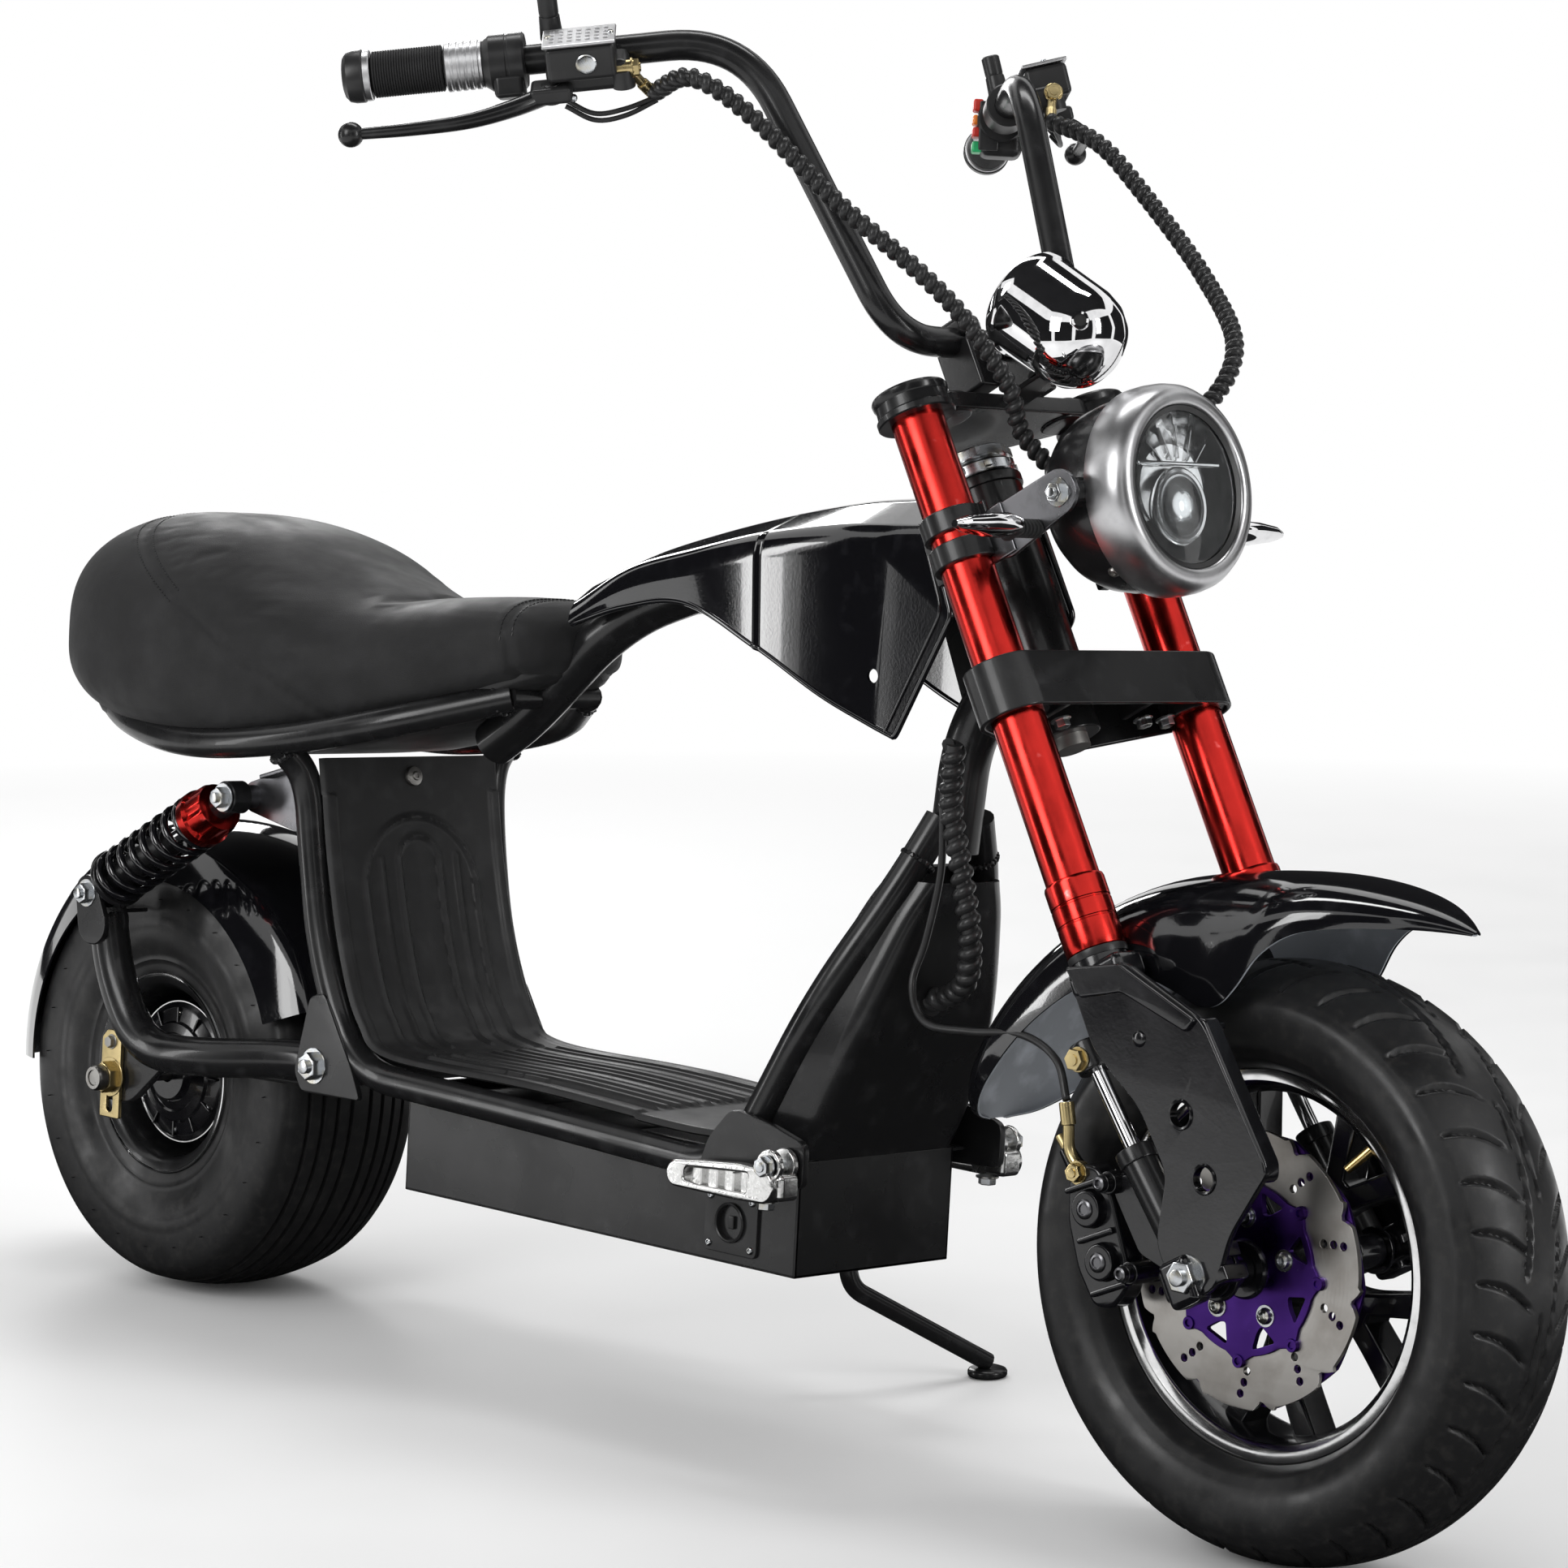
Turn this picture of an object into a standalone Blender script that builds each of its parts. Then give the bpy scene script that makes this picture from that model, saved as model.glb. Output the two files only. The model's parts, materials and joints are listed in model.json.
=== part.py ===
"""Electric scooter with a low battery tray, a hub motor and tall swept handlebars.

The bike is modelled upright: +X is forward, +Y is its left, +Z is up, with the rear
axle at x = 0 and the ground at z = 0. The empty "bike" then leans it onto its side
stand. Pieces that steer are modelled about the steering axis: x forward of the axis,
z up along it. Lengths are in metres.
"""

import math

import bmesh
import bpy
from mathutils import Matrix, Vector

# Clearances
GAP = 0.0003
BEARING_GAP = 0.0008

# Whole bike
WHEELBASE = 1.183
LEAN = math.radians(4.4)

# Wheels: front 120/70-10, rear 15x6.00-6
TYRE_SIDES = 40
FRONT_TYRE_RADIUS = 0.211
FRONT_TYRE_HALF_WIDTH = 0.061
FRONT_CROWN_RADIUS = 0.085
FRONT_BEAD_RADIUS = 0.128
FRONT_RIM_HALF_WIDTH = 0.034
REAR_TYRE_RADIUS = 0.187
REAR_TYRE_HALF_WIDTH = 0.076
REAR_CROWN_RADIUS = 0.200
REAR_BEAD_RADIUS = 0.078
REAR_RIM_HALF_WIDTH = 0.066
RIM_FLANGE_HEIGHT = 0.007
HUB_RADIUS = 0.027
MOTOR_RADIUS = 0.060
MOTOR_SIDES = 24
HUB_HALF_LENGTH = 0.043
SPOKE_COUNT = 5
SPOKE_FORK_RADIUS = 0.062
SPOKE_SPLIT = 0.26
SPOKE_ROOT_WIDTH = 0.020
SPOKE_ROOT_DEPTH = 0.034
SPOKE_ARM_WIDTH = 0.012
SPOKE_TIP_WIDTH = 0.018
SPOKE_ARM_DEPTH = 0.028
SPOKE_SEAT = 0.0045
DISC_RADIUS = 0.098
DISC_INNER_RADIUS = 0.064
DISC_Y = -0.052
DISC_THICKNESS = 0.004
DISC_LOBES = 10
DISC_NOTCH = 0.0055
DISC_HOLE_RADIUS = 0.0024
CARRIER_THICKNESS = 0.006
CARRIER_WINDOWS = 5
AXLE_RADIUS = 0.006
FRONT_SPACER_RADIUS = 0.013

# Steering
RAKE = math.radians(28.755)
FORK_OFFSET = 0.040
FORK_HALF_SPACING = 0.097
FORK_TUBE_RADIUS = 0.0195
FORK_COLLAR_RADIUS = 0.0218
FORK_SIDES = 20
FORK_BOTTOM = 0.241
FORK_COLLAR_TOP = 0.288
FORK_TOP = 0.671
STEM_RADIUS = 0.0135
STEM_BOTTOM = 0.404
HEAD_TUBE_RADIUS = 0.027
HEAD_TUBE_BOTTOM = 0.462
HEAD_TUBE_TOP = 0.618
LOWER_CLAMP_TOP = 0.453
LOWER_CLAMP_HEIGHT = 0.041
TOP_CLAMP_BOTTOM = 0.645
TOP_CLAMP_HEIGHT = 0.022
CLAMP_WALL = 0.009
CLAMP_CENTRE_RADIUS = 0.034

# Handlebar, with its grips swept back and down from the upper bends
BAR_RADIUS = 0.0111
BAR_HOLE_RADIUS = 0.0119
BAR_FORWARD = 0.0465
BAR_BASE_HEIGHT = TOP_CLAMP_BOTTOM + TOP_CLAMP_HEIGHT + 0.041
BAR_BASE_HALF_WIDTH = 0.098
BAR_TOP_HEIGHT = 0.950
BAR_TOP_HALF_WIDTH = 0.151
GRIP_SWEEP = math.radians(47.3)
GRIP_DROP = math.radians(8.5)
GRIP_LINE_LENGTH = 0.296
BAR_CLAMP_HALF_SPACING = 0.030
LEVER_TILTS = {-1: math.radians(-24), 1: math.radians(16)}
HOSE_END = Vector((0.034, -0.002, 0.072))

# Headlight, speedometer and turn signals
LAMP_RADIUS = 0.076
LENS_RADIUS = 0.065
LAMP_SIDES = 28
BUCKET_RADIUS = 0.071
LAMP_PITCH = math.radians(10.8)
LAMP_CENTRE = Vector((0.170, 0.0, 0.532))
EAR_HALF_SPACING = 0.087
EAR_BOLT = Vector((0.132, 0.0, 0.544))
EAR_CLAMP_HEIGHT = 0.5505
SIGNAL_STALK_DROP = 0.0146
POD_RADIUS = 0.043
POD_DEPTH = 0.062
POD_FACE = Vector((0.0945, 0.0, 0.7185))
POD_BASE = Vector((0.1290, 0.0, 0.6665))
SIGNAL_TIP_HALF_WIDTH = 0.179

# Frame tubes
TUBE_RADIUS = 0.0125
TUBE_BEND = 0.05
BACKBONE_RADIUS = 0.019
BACKBONE_BEND = 0.06
DOWN_TUBE_BEND = 0.03

# Battery tray and footboard
TRAY_REAR = 0.342
TRAY_FRONT = 0.783
TRAY_HALF_WIDTH = 0.0836
TRAY_BOTTOM = 0.139
TRAY_TOP = 0.226
TRAY_WALL = 0.003
BOARD_THICKNESS = 0.005
FLOOR_SECTIONS = slice(4, 7)
FLOOR_RIB_HEIGHT = 0.002
FLOOR_RIB_PLACES = (-0.0580, -0.0290, 0.0, 0.0290, 0.0580)

# Rear end
SWING_PIVOT = Vector((0.253, 0.0, 0.229))
SWING_HALF_SPACING = 0.120
SWING_PIVOT_HALF_SPACING = 0.088
GUSSET_OUTER = 0.1105
AXLE_PLATE_Y = 0.1145
REAR_AXLE_RADIUS = 0.007
SWING_RADIUS = 0.0165
REAR_AXLE_HALF_LENGTH = 0.142
REAR_FENDER_RADIUS = 0.215
REAR_FENDER_HALF_WIDTH = 0.085
FRONT_FENDER_RADIUS = 0.262
FRONT_FENDER_HALF_WIDTH = 0.072
FENDER_THICKNESS = 0.003
SHOCK_TOP = Vector((0.156, 0.0, 0.440))
SHOCK_BOTTOM = Vector((-0.022, 0.0, 0.342))
SHOCK_HALF_SPACING = 0.128
SPRING_RADIUS = 0.024
SPRING_WIRE_RADIUS = 0.0032
SPRING_TURNS = 7
SHOCK_TAB_Y = 0.1045
SHOCK_BOLT_RADIUS = 0.0045

# Foot pegs
PEG_HINGE = Vector((0.797, 0.0, 0.229))

# Side stand
STAND_PIVOT = Vector((0.655, 0.104, 0.128))
STAND_AXIS = Vector((-0.369, 0.917, 0.148)).normalized()
STAND_LEG_RADIUS = 0.0075
STAND_PIN_RADIUS = 0.005
STAND_FOOT = Vector((0.700, 0.232, 0.0))
STAND_FOOT_RADIUS = 0.016

COLOURS = {
    "gloss_black": ((0.01, 0.01, 0.012), 0.15, 0.0),
    "satin_black": ((0.02, 0.02, 0.021), 0.45, 0.0),
    "black_plastic": ((0.028, 0.028, 0.03), 0.6, 0.0),
    "leather": ((0.03, 0.03, 0.03), 0.55, 0.0),
    "rubber": ((0.025, 0.025, 0.026), 0.75, 0.0),
    "steel": ((0.55, 0.55, 0.53), 0.35, 1.0),
    "chrome": ((0.85, 0.85, 0.86), 0.08, 1.0),
    "aluminium": ((0.78, 0.78, 0.78), 0.3, 1.0),
    "brass": ((0.75, 0.60, 0.33), 0.3, 1.0),
    "red_anodised": ((0.75, 0.07, 0.06), 0.25, 1.0),
    "purple_anodised": ((0.20, 0.10, 0.42), 0.35, 1.0),
    "clear_lens": ((0.85, 0.88, 0.9), 0.05, 0.0),
    "red_plastic": ((0.6, 0.03, 0.03), 0.3, 0.0),
}


# Shapes

def link(name, data):
    """Put mesh or curve data in the scene as an object."""
    obj = bpy.data.objects.new(name, data)
    PARTS.objects.link(obj)
    return obj


def baked(obj):
    """Replace an object by a mesh of what its modifiers make, with its faces outwards."""
    bpy.context.view_layer.update()
    graph = bpy.context.evaluated_depsgraph_get()
    mesh = bpy.data.meshes.new_from_object(obj.evaluated_get(graph))
    mesh.transform(obj.matrix_world)
    bpy.data.objects.remove(obj, do_unlink=True)
    bm = bmesh.new()
    bm.from_mesh(mesh)
    bmesh.ops.remove_doubles(bm, verts=bm.verts, dist=1e-6)
    bmesh.ops.recalc_face_normals(bm, faces=bm.faces)
    bm.to_mesh(mesh)
    bm.free()
    return link("shape", mesh)


def from_bmesh(bm, matrix=Matrix.Identity(4)):
    """Make an object of a bmesh, moved by a matrix."""
    mesh = bpy.data.meshes.new("shape")
    bmesh.ops.recalc_face_normals(bm, faces=bm.faces)
    bm.to_mesh(mesh)
    bm.free()
    mesh.transform(matrix)
    return link("shape", mesh)


def along(start, end):
    """Matrix that puts the local Z axis on the line from start to end, at start."""
    start, end = Vector(start), Vector(end)
    turn = (end - start).to_track_quat("Z", "Y")
    return Matrix.Translation(start) @ turn.to_matrix().to_4x4()


def block(size, centre, bevel=0.0, matrix=Matrix.Identity(4)):
    """A box with its edges rounded by bevel."""
    bm = bmesh.new()
    bmesh.ops.create_cube(bm, size=1.0)
    bmesh.ops.scale(bm, vec=size, verts=bm.verts)
    if bevel:
        bmesh.ops.bevel(bm, geom=bm.edges[:], offset=bevel, segments=1, profile=0.5, affect="EDGES")
    return from_bmesh(bm, matrix @ Matrix.Translation(Vector(centre)))


def rod(start, end, radius, sides=16, end_radius=None):
    """A straight round bar or cone between two points."""
    bm = bmesh.new()
    length = (Vector(end) - Vector(start)).length
    top = radius if end_radius is None else end_radius
    bmesh.ops.create_cone(bm, cap_ends=True, segments=sides, radius1=radius, radius2=top, depth=length)
    return from_bmesh(bm, along(start, end) @ Matrix.Translation((0, 0, length / 2)))


def ball(centre, radius, sides=10):
    """A round knob."""
    bm = bmesh.new()
    bmesh.ops.create_uvsphere(bm, u_segments=sides, v_segments=sides // 2 + 1, radius=radius)
    return from_bmesh(bm, Matrix.Translation(Vector(centre)))


def turned(profile, matrix, sides=32, closed=False):
    """A turned body about the matrix's Z axis; profile rows are (radius, height)."""
    mesh = bpy.data.meshes.new("profile")
    count = len(profile)
    edges = [(i, i + 1) for i in range(count - 1)]
    if closed:
        edges.append((count - 1, 0))
    mesh.from_pydata([(radius, 0.0, height) for radius, height in profile], edges, [])
    obj = link("shape", mesh)
    screw = obj.modifiers.new("Turn", "SCREW")
    screw.steps = sides
    screw.render_steps = sides
    screw.use_merge_vertices = True
    screw.merge_threshold = 0.00001
    obj.matrix_world = matrix
    return baked(obj)


def smooth_corners(points, corner, steps=2):
    """Round a path's inner corners with arcs that start a corner length before each."""
    path = [Vector(points[0])]
    for before, here, after in zip(points, points[1:], points[2:]):
        before, here, after = Vector(before), Vector(here), Vector(after)
        reach = min(corner, (before - here).length * 0.49, (after - here).length * 0.49)
        start = here + (before - here).normalized() * reach
        end = here + (after - here).normalized() * reach
        for step in range(steps + 1):
            t = step / steps
            path.append(start * (1 - t) ** 2 + here * 2 * t * (1 - t) + end * t ** 2)
    path.append(Vector(points[-1]))
    return path


def pipe(points, radius, corner=0.0, resolution=2):
    """A bent round tube, with filled ends."""
    path = smooth_corners(points, corner) if corner else [Vector(point) for point in points]
    curve = bpy.data.curves.new("path", "CURVE")
    curve.dimensions = "3D"
    curve.bevel_depth = radius
    curve.bevel_resolution = resolution
    curve.use_fill_caps = True
    spline = curve.splines.new("POLY")
    spline.points.add(len(path) - 1)
    for point, place in zip(spline.points, path):
        point.co = (*place, 1.0)
    return baked(link("shape", curve))


def smooth_route(points, steps=4):
    """A smooth curve through a cord's own points."""
    points = [Vector(point) for point in points]
    ends = [2 * points[0] - points[1], *points, 2 * points[-1] - points[-2]]
    route = []
    for a, b, c, d in zip(ends, ends[1:], ends[2:], ends[3:]):
        for step in range(steps):
            t = step / steps
            route.append(0.5 * (2 * b + (c - a) * t + (2 * a - 5 * b + 4 * c - d) * t ** 2
                                + (3 * b - a - 3 * c + d) * t ** 3))
    route.append(points[-1])
    return route


def plate(outline, thickness, matrix, holes=()):
    """A flat plate centred on the matrix's XY plane; outline and hole rows are (x, y)."""
    curve = bpy.data.curves.new("outline", "CURVE")
    curve.dimensions = "2D"
    curve.fill_mode = "BOTH"
    curve.extrude = thickness / 2
    for edge in (outline, *holes):
        spline = curve.splines.new("POLY")
        spline.points.add(len(edge) - 1)
        for point, (x, y) in zip(spline.points, edge):
            point.co = (x, y, 0.0, 1.0)
        spline.use_cyclic_u = True
    obj = link("shape", curve)
    obj.matrix_world = matrix
    return baked(obj)


def side_plane(y):
    """Matrix whose XY plane is the bike's X-Z plane at y."""
    return Matrix.Translation((0, y, 0)) @ Matrix.Rotation(math.pi / 2, 4, "X")


def hull_outline(circles, steps=24):
    """The outline round several circles; rows are (x, y, radius)."""
    points = []
    for x, y, radius in circles:
        for step in range(steps):
            angle = 2 * math.pi * step / steps
            points.append((x + radius * math.cos(angle), y + radius * math.sin(angle)))
    points = sorted(set(points))

    def half(run):
        chain = []
        for p in run:
            while len(chain) > 1:
                (ax, ay), (bx, by) = chain[-2:]
                if (bx - ax) * (p[1] - ay) - (by - ay) * (p[0] - ax) > 1e-9:
                    break
                chain.pop()
            chain.append(p)
        return chain[:-1]

    return half(points) + half(points[::-1])


def loft(rings):
    """A closed body through rings of as many points each, with flat ends."""
    bm = bmesh.new()
    rows = [[bm.verts.new(point) for point in ring] for ring in rings]
    for row, other in zip(rows, rows[1:]):
        for i in range(len(row)):
            j = (i + 1) % len(row)
            bm.faces.new((row[i], row[j], other[j], other[i]))
    bm.faces.new(rows[0])
    bm.faces.new(rows[-1])
    return from_bmesh(bm)


def shell(rows, thickness):
    """An open sheet through rows of points, given its thickness on the inner side."""
    bm = bmesh.new()
    grid = [[bm.verts.new(point) for point in row] for row in rows]
    for row, other in zip(grid, grid[1:]):
        for i in range(len(row) - 1):
            bm.faces.new((row[i], row[i + 1], other[i + 1], other[i]))
    mesh = bpy.data.meshes.new("sheet")
    bm.to_mesh(mesh)
    bm.free()
    obj = link("shape", mesh)
    solidify = obj.modifiers.new("Thickness", "SOLIDIFY")
    solidify.thickness = thickness
    solidify.offset = 0.0
    solidify.use_even_offset = True
    return baked(obj)


def mirrored(point, side):
    """A point on the bike's right (side -1) or left (side 1)."""
    return Vector((point[0], side * abs(point[1]), point[2]))


def joined(pieces, cuts=()):
    """One body: the pieces joined, then the cuts taken away."""
    body = pieces[0]
    for operation, tools in (("UNION", pieces[1:]), ("DIFFERENCE", cuts)):
        for tool in tools:
            modifier = body.modifiers.new(operation.title(), "BOOLEAN")
            modifier.operation = operation
            modifier.object = tool
    result = baked(body)
    for tool in (*pieces[1:], *cuts):
        bpy.data.objects.remove(tool, do_unlink=True)
    return result


def material(name):
    """The named finish as a material."""
    found = bpy.data.materials.get(name)
    if found:
        return found
    colour, roughness, metallic = COLOURS[name]
    made = bpy.data.materials.new(name)
    made.use_nodes = True
    shader = made.node_tree.nodes["Principled BSDF"]
    shader.inputs["Base Color"].default_value = (*colour, 1.0)
    shader.inputs["Roughness"].default_value = roughness
    shader.inputs["Metallic"].default_value = metallic
    made.diffuse_color = (*colour, 1.0)
    return made


def node(name, group, finish, pieces, cuts=()):
    """A named solid of the bike, modelled in its group's own frame."""
    obj = joined(pieces, cuts)
    obj.name = name
    obj.data.name = name
    obj.data.materials.clear()
    obj.data.materials.append(material(finish))
    obj.data.shade_smooth()
    obj.data.set_sharp_from_angle(angle=math.radians(35))
    obj.parent = group
    return obj


def frame_empty(name, parent, matrix):
    """An empty that holds a group's own frame."""
    empty = bpy.data.objects.new(name, None)
    PARTS.objects.link(empty)
    empty.parent = parent
    empty.matrix_local = matrix
    return empty


# Tyres and their support

def tyre_profile(radius, half_width, crown, bead, bead_half_width, wall):
    """Closed (radius, y) outline of a tyre, open on its inner side."""
    def crown_at(y, r=radius):
        return r - crown + math.sqrt(crown ** 2 - y ** 2)

    shoulder = half_width * 0.85
    height = radius - bead
    outer = [(crown_at(shoulder * f), shoulder * f) for f in (0.0, 0.4, 0.8, 1.0)]
    outer += [(bead + height * 0.6, half_width), (bead + height * 0.25, half_width * 0.93),
              (bead + 0.008, bead_half_width + 0.004), (bead + 0.008, bead_half_width),
              (bead, bead_half_width)]
    inner = [(bead, bead_half_width - wall), (bead + 0.014, bead_half_width + 0.004 - wall),
             (bead + height * 0.65, half_width - wall), (crown_at(shoulder * 0.8) - wall, shoulder * 0.75),
             (radius - wall, 0.0)]
    right = outer + inner
    left = [(r, -y) for r, y in reversed(right[1:-1])]
    return right + left


def leaning_height(profile):
    """How high a leaning wheel's axle stands, in the bike's own upright frame."""
    flat = math.cos(math.pi / TYRE_SIDES)
    return max(r * flat + y * math.tan(LEAN) for r, y in profile)


def about_y(centre=(0, 0, 0), turn=0.0):
    """Matrix whose Z axis is the bike's Y axis."""
    return Matrix.Translation(Vector(centre)) @ Matrix.Rotation(turn, 4, "Y") @ Matrix.Rotation(-math.pi / 2, 4, "X")


FRONT_TYRE_PROFILE = tyre_profile(FRONT_TYRE_RADIUS, FRONT_TYRE_HALF_WIDTH, FRONT_CROWN_RADIUS,
                                  FRONT_BEAD_RADIUS, FRONT_RIM_HALF_WIDTH - 0.0045, 0.008)
REAR_TYRE_PROFILE = tyre_profile(REAR_TYRE_RADIUS, REAR_TYRE_HALF_WIDTH, REAR_CROWN_RADIUS,
                                 REAR_BEAD_RADIUS, REAR_RIM_HALF_WIDTH - 0.0045, 0.010)
FRONT_AXLE_HEIGHT = leaning_height(FRONT_TYRE_PROFILE)
REAR_AXLE_HEIGHT = leaning_height(REAR_TYRE_PROFILE)


def steering_matrix():
    """The steering frame: z up the steering axis, x forward of it."""
    foot = Vector((WHEELBASE - FORK_OFFSET * math.cos(RAKE), 0.0,
                   FRONT_AXLE_HEIGHT - FORK_OFFSET * math.sin(RAKE)))
    return Matrix.Translation(foot) @ Matrix.Rotation(-RAKE, 4, "Y")


STEERING = steering_matrix()
TO_STEERING = STEERING.inverted()


def steered(point):
    """A point of the upright bike, in the steering frame."""
    return TO_STEERING @ Vector(point)


# Wheels

def rim(name, group, bead, half_width, depth, extra, cuts=(), finish="satin_black"):
    """A wheel rim: its barrel and flanges, and what fills its middle."""
    seat = half_width - 0.004
    outer = bead - GAP
    flange = bead + RIM_FLANGE_HEIGHT
    half = [(outer, seat), (flange, seat), (flange, half_width), (outer - depth, half_width)]
    profile = half + [(r, -y) for r, y in reversed(half)]
    barrel = turned(profile, about_y(turn=math.pi / TYRE_SIDES), TYRE_SIDES, closed=True)
    node(name, group, finish, [barrel, *extra], cuts)


def tyre(name, group, profile):
    """A tyre on its rim, one flat of its tread at the bottom."""
    node(name, group, "rubber",
         [turned(profile, about_y(turn=math.pi / TYRE_SIDES), TYRE_SIDES, closed=True)])


def front_wheel(group):
    """Front wheel, its split spokes, brake disc and disc carrier."""
    tyre("front_tyre", group, FRONT_TYRE_PROFILE)
    hub = [rod((0, -HUB_HALF_LENGTH, 0), (0, HUB_HALF_LENGTH, 0), HUB_RADIUS, 24)]
    inner = FRONT_BEAD_RADIUS - SPOKE_SEAT
    for spoke in range(SPOKE_COUNT):
        base = 2 * math.pi * spoke / SPOKE_COUNT
        fork = Vector((math.cos(base), 0, math.sin(base))) * SPOKE_FORK_RADIUS
        root = fork.normalized() * (HUB_RADIUS - 0.006)
        hub.append(beam(root, fork, SPOKE_ROOT_WIDTH, SPOKE_ROOT_WIDTH, SPOKE_ROOT_DEPTH))
        for side in (-1, 1):
            angle = base + side * SPOKE_SPLIT
            tip = Vector((math.cos(angle), 0, math.sin(angle))) * inner
            hub.append(beam(fork * 0.93, tip, SPOKE_ARM_WIDTH, SPOKE_TIP_WIDTH, SPOKE_ARM_DEPTH))
    bore = rod((0, -0.08, 0), (0, 0.08, 0), AXLE_RADIUS + BEARING_GAP, 20)
    rim("front_rim", group, FRONT_BEAD_RADIUS, FRONT_RIM_HALF_WIDTH, 0.008, hub, [bore])
    disc = plate(disc_outline(), DISC_THICKNESS, about_y((0, DISC_Y, 0)), disc_holes())
    node("brake_disc", group, "steel", [disc])
    carrier_rim = DISC_INNER_RADIUS - GAP
    bore_radius = AXLE_RADIUS + BEARING_GAP
    hub_face = -HUB_HALF_LENGTH - GAP
    outer_face = DISC_Y - CARRIER_THICKNESS / 2
    inner_face = DISC_Y + CARRIER_THICKNESS / 2
    carrier = turned([(bore_radius, outer_face), (carrier_rim, outer_face), (carrier_rim, inner_face),
                      (HUB_RADIUS, inner_face), (HUB_RADIUS, hub_face), (bore_radius, hub_face)],
                     about_y(), 24, closed=True)
    node("disc_carrier", group, "purple_anodised", [carrier], carrier_windows())


def disc_outline():
    """The brake disc's waved edge: one notch to each lobe."""
    per_lobe = 6
    points = []
    for step in range(DISC_LOBES * per_lobe):
        notch = DISC_NOTCH if step % per_lobe == 1 else 0.0
        angle = 2 * math.pi * step / (DISC_LOBES * per_lobe)
        points.append(((DISC_RADIUS - notch) * math.cos(angle), (DISC_RADIUS - notch) * math.sin(angle)))
    return points


def circle_outline(x, y, radius, sides):
    """A round outline about a point."""
    angles = [2 * math.pi * step / sides for step in range(sides)]
    return [(x + radius * math.cos(angle), y + radius * math.sin(angle)) for angle in angles]


def disc_holes():
    """The brake disc's opening for its carrier and its slanted pairs of drilled holes."""
    holes = [circle_outline(0, 0, DISC_INNER_RADIUS, 36)]
    for lobe in range(DISC_LOBES):
        # share of the way from the inner to the outer edge, degrees past the lobe's start
        for share, degrees in ((0.30, 6), (0.70, 14)):
            radius = DISC_INNER_RADIUS + (DISC_RADIUS - DISC_INNER_RADIUS) * share
            angle = 2 * math.pi * lobe / DISC_LOBES + math.radians(degrees)
            holes.append(circle_outline(radius * math.cos(angle), radius * math.sin(angle), DISC_HOLE_RADIUS, 6))
    return holes


def carrier_windows():
    """Cutters for the rounded three-cornered windows between the carrier's bolts."""
    middle = (HUB_RADIUS + DISC_INNER_RADIUS) / 2
    outline = hull_outline([(middle + 0.005, -0.010, 0.0035), (middle + 0.005, 0.010, 0.0035),
                            (middle - 0.005, 0, 0.003)], 6)
    return [plate(outline, 4 * CARRIER_THICKNESS,
                  about_y((0, DISC_Y, 0)) @ Matrix.Rotation(2 * math.pi * window / CARRIER_WINDOWS, 4, "Z"))
            for window in range(CARRIER_WINDOWS)]


def beam(start, end, width, end_width, depth):
    """A flat tapered spoke from start to end, depth across the wheel."""
    start, end = Vector(start), Vector(end)
    run = (end - start).normalized()
    across = Vector((-run.z, 0, run.x))
    rings = []
    for point, size in ((start, width), (end, end_width)):
        rings.append([point + across * (sx * size / 2) + Vector((0, sy * depth / 2, 0))
                      for sx, sy in ((-1, -1), (1, -1), (1, 1), (-1, 1))])
    return loft(rings)


def rear_wheel(group):
    """Rear wheel with its hub motor."""
    tyre("rear_tyre", group, REAR_TYRE_PROFILE)
    bore_radius = REAR_AXLE_RADIUS + BEARING_GAP
    inner = REAR_BEAD_RADIUS - 0.003
    web = turned([(MOTOR_RADIUS, -0.004), (inner, -0.004), (inner, 0.004), (MOTOR_RADIUS, 0.004)],
                 about_y(), MOTOR_SIDES, closed=True)
    rim("rear_rim", group, REAR_BEAD_RADIUS, REAR_RIM_HALF_WIDTH, 0.006, [web])
    shell_radius = MOTOR_RADIUS - GAP
    motor = turned([(bore_radius, -0.062), (0.024, -0.062), (0.030, -0.055), (0.052, -0.050),
                    (shell_radius, -0.044), (shell_radius, 0.044), (0.052, 0.050),
                    (0.030, 0.055), (0.024, 0.062), (bore_radius, 0.062)],
                   about_y(), MOTOR_SIDES, closed=True)
    node("hub_motor", group, "satin_black", [motor])


# Frame

def carried_on(path, past):
    """A path with its two ends carried straight on by past."""
    first = path[0] + (path[0] - path[1]).normalized() * past
    last = path[-1] + (path[-1] - path[-2]).normalized() * past
    return [first, *path, last]


def side_tube_route(side):
    """Centre line of a side tube, its bends rounded."""
    return smooth_corners([mirrored(row, side) for row in SIDE_TUBE_PATH], TUBE_BEND)


def side_tube_cut(side):
    """Cutter for what lies against a side tube."""
    return pipe(carried_on(side_tube_route(side), 0.02), TUBE_RADIUS + GAP)


def rail_route():
    """Centre line of the seat rail, from its right end round the back to its left end."""
    right = [mirrored(row, -1) for row in RAIL_PATH]
    left = [mirrored(row, 1) for row in reversed(RAIL_PATH[:-1])]
    return smooth_route(right + left, 2)


def rail_cut():
    """Cutter for what lies against the seat rail."""
    return pipe(rail_route(), TUBE_RADIUS + GAP)


SIDE_TUBE_PATH = (
    # x, half width, z
    (0.208, 0.124, 0.488),
    (0.216, 0.099, 0.462),
    (0.224, 0.097, 0.400),
    (0.242, 0.097, 0.316),
    (0.290, 0.097, 0.228),
    (0.500, 0.097, 0.222),
    (0.725, 0.097, 0.213),
    (0.795, 0.085, 0.350),
    (0.833, 0.045, 0.437),
    (0.846, 0.020, 0.486),
)

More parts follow.
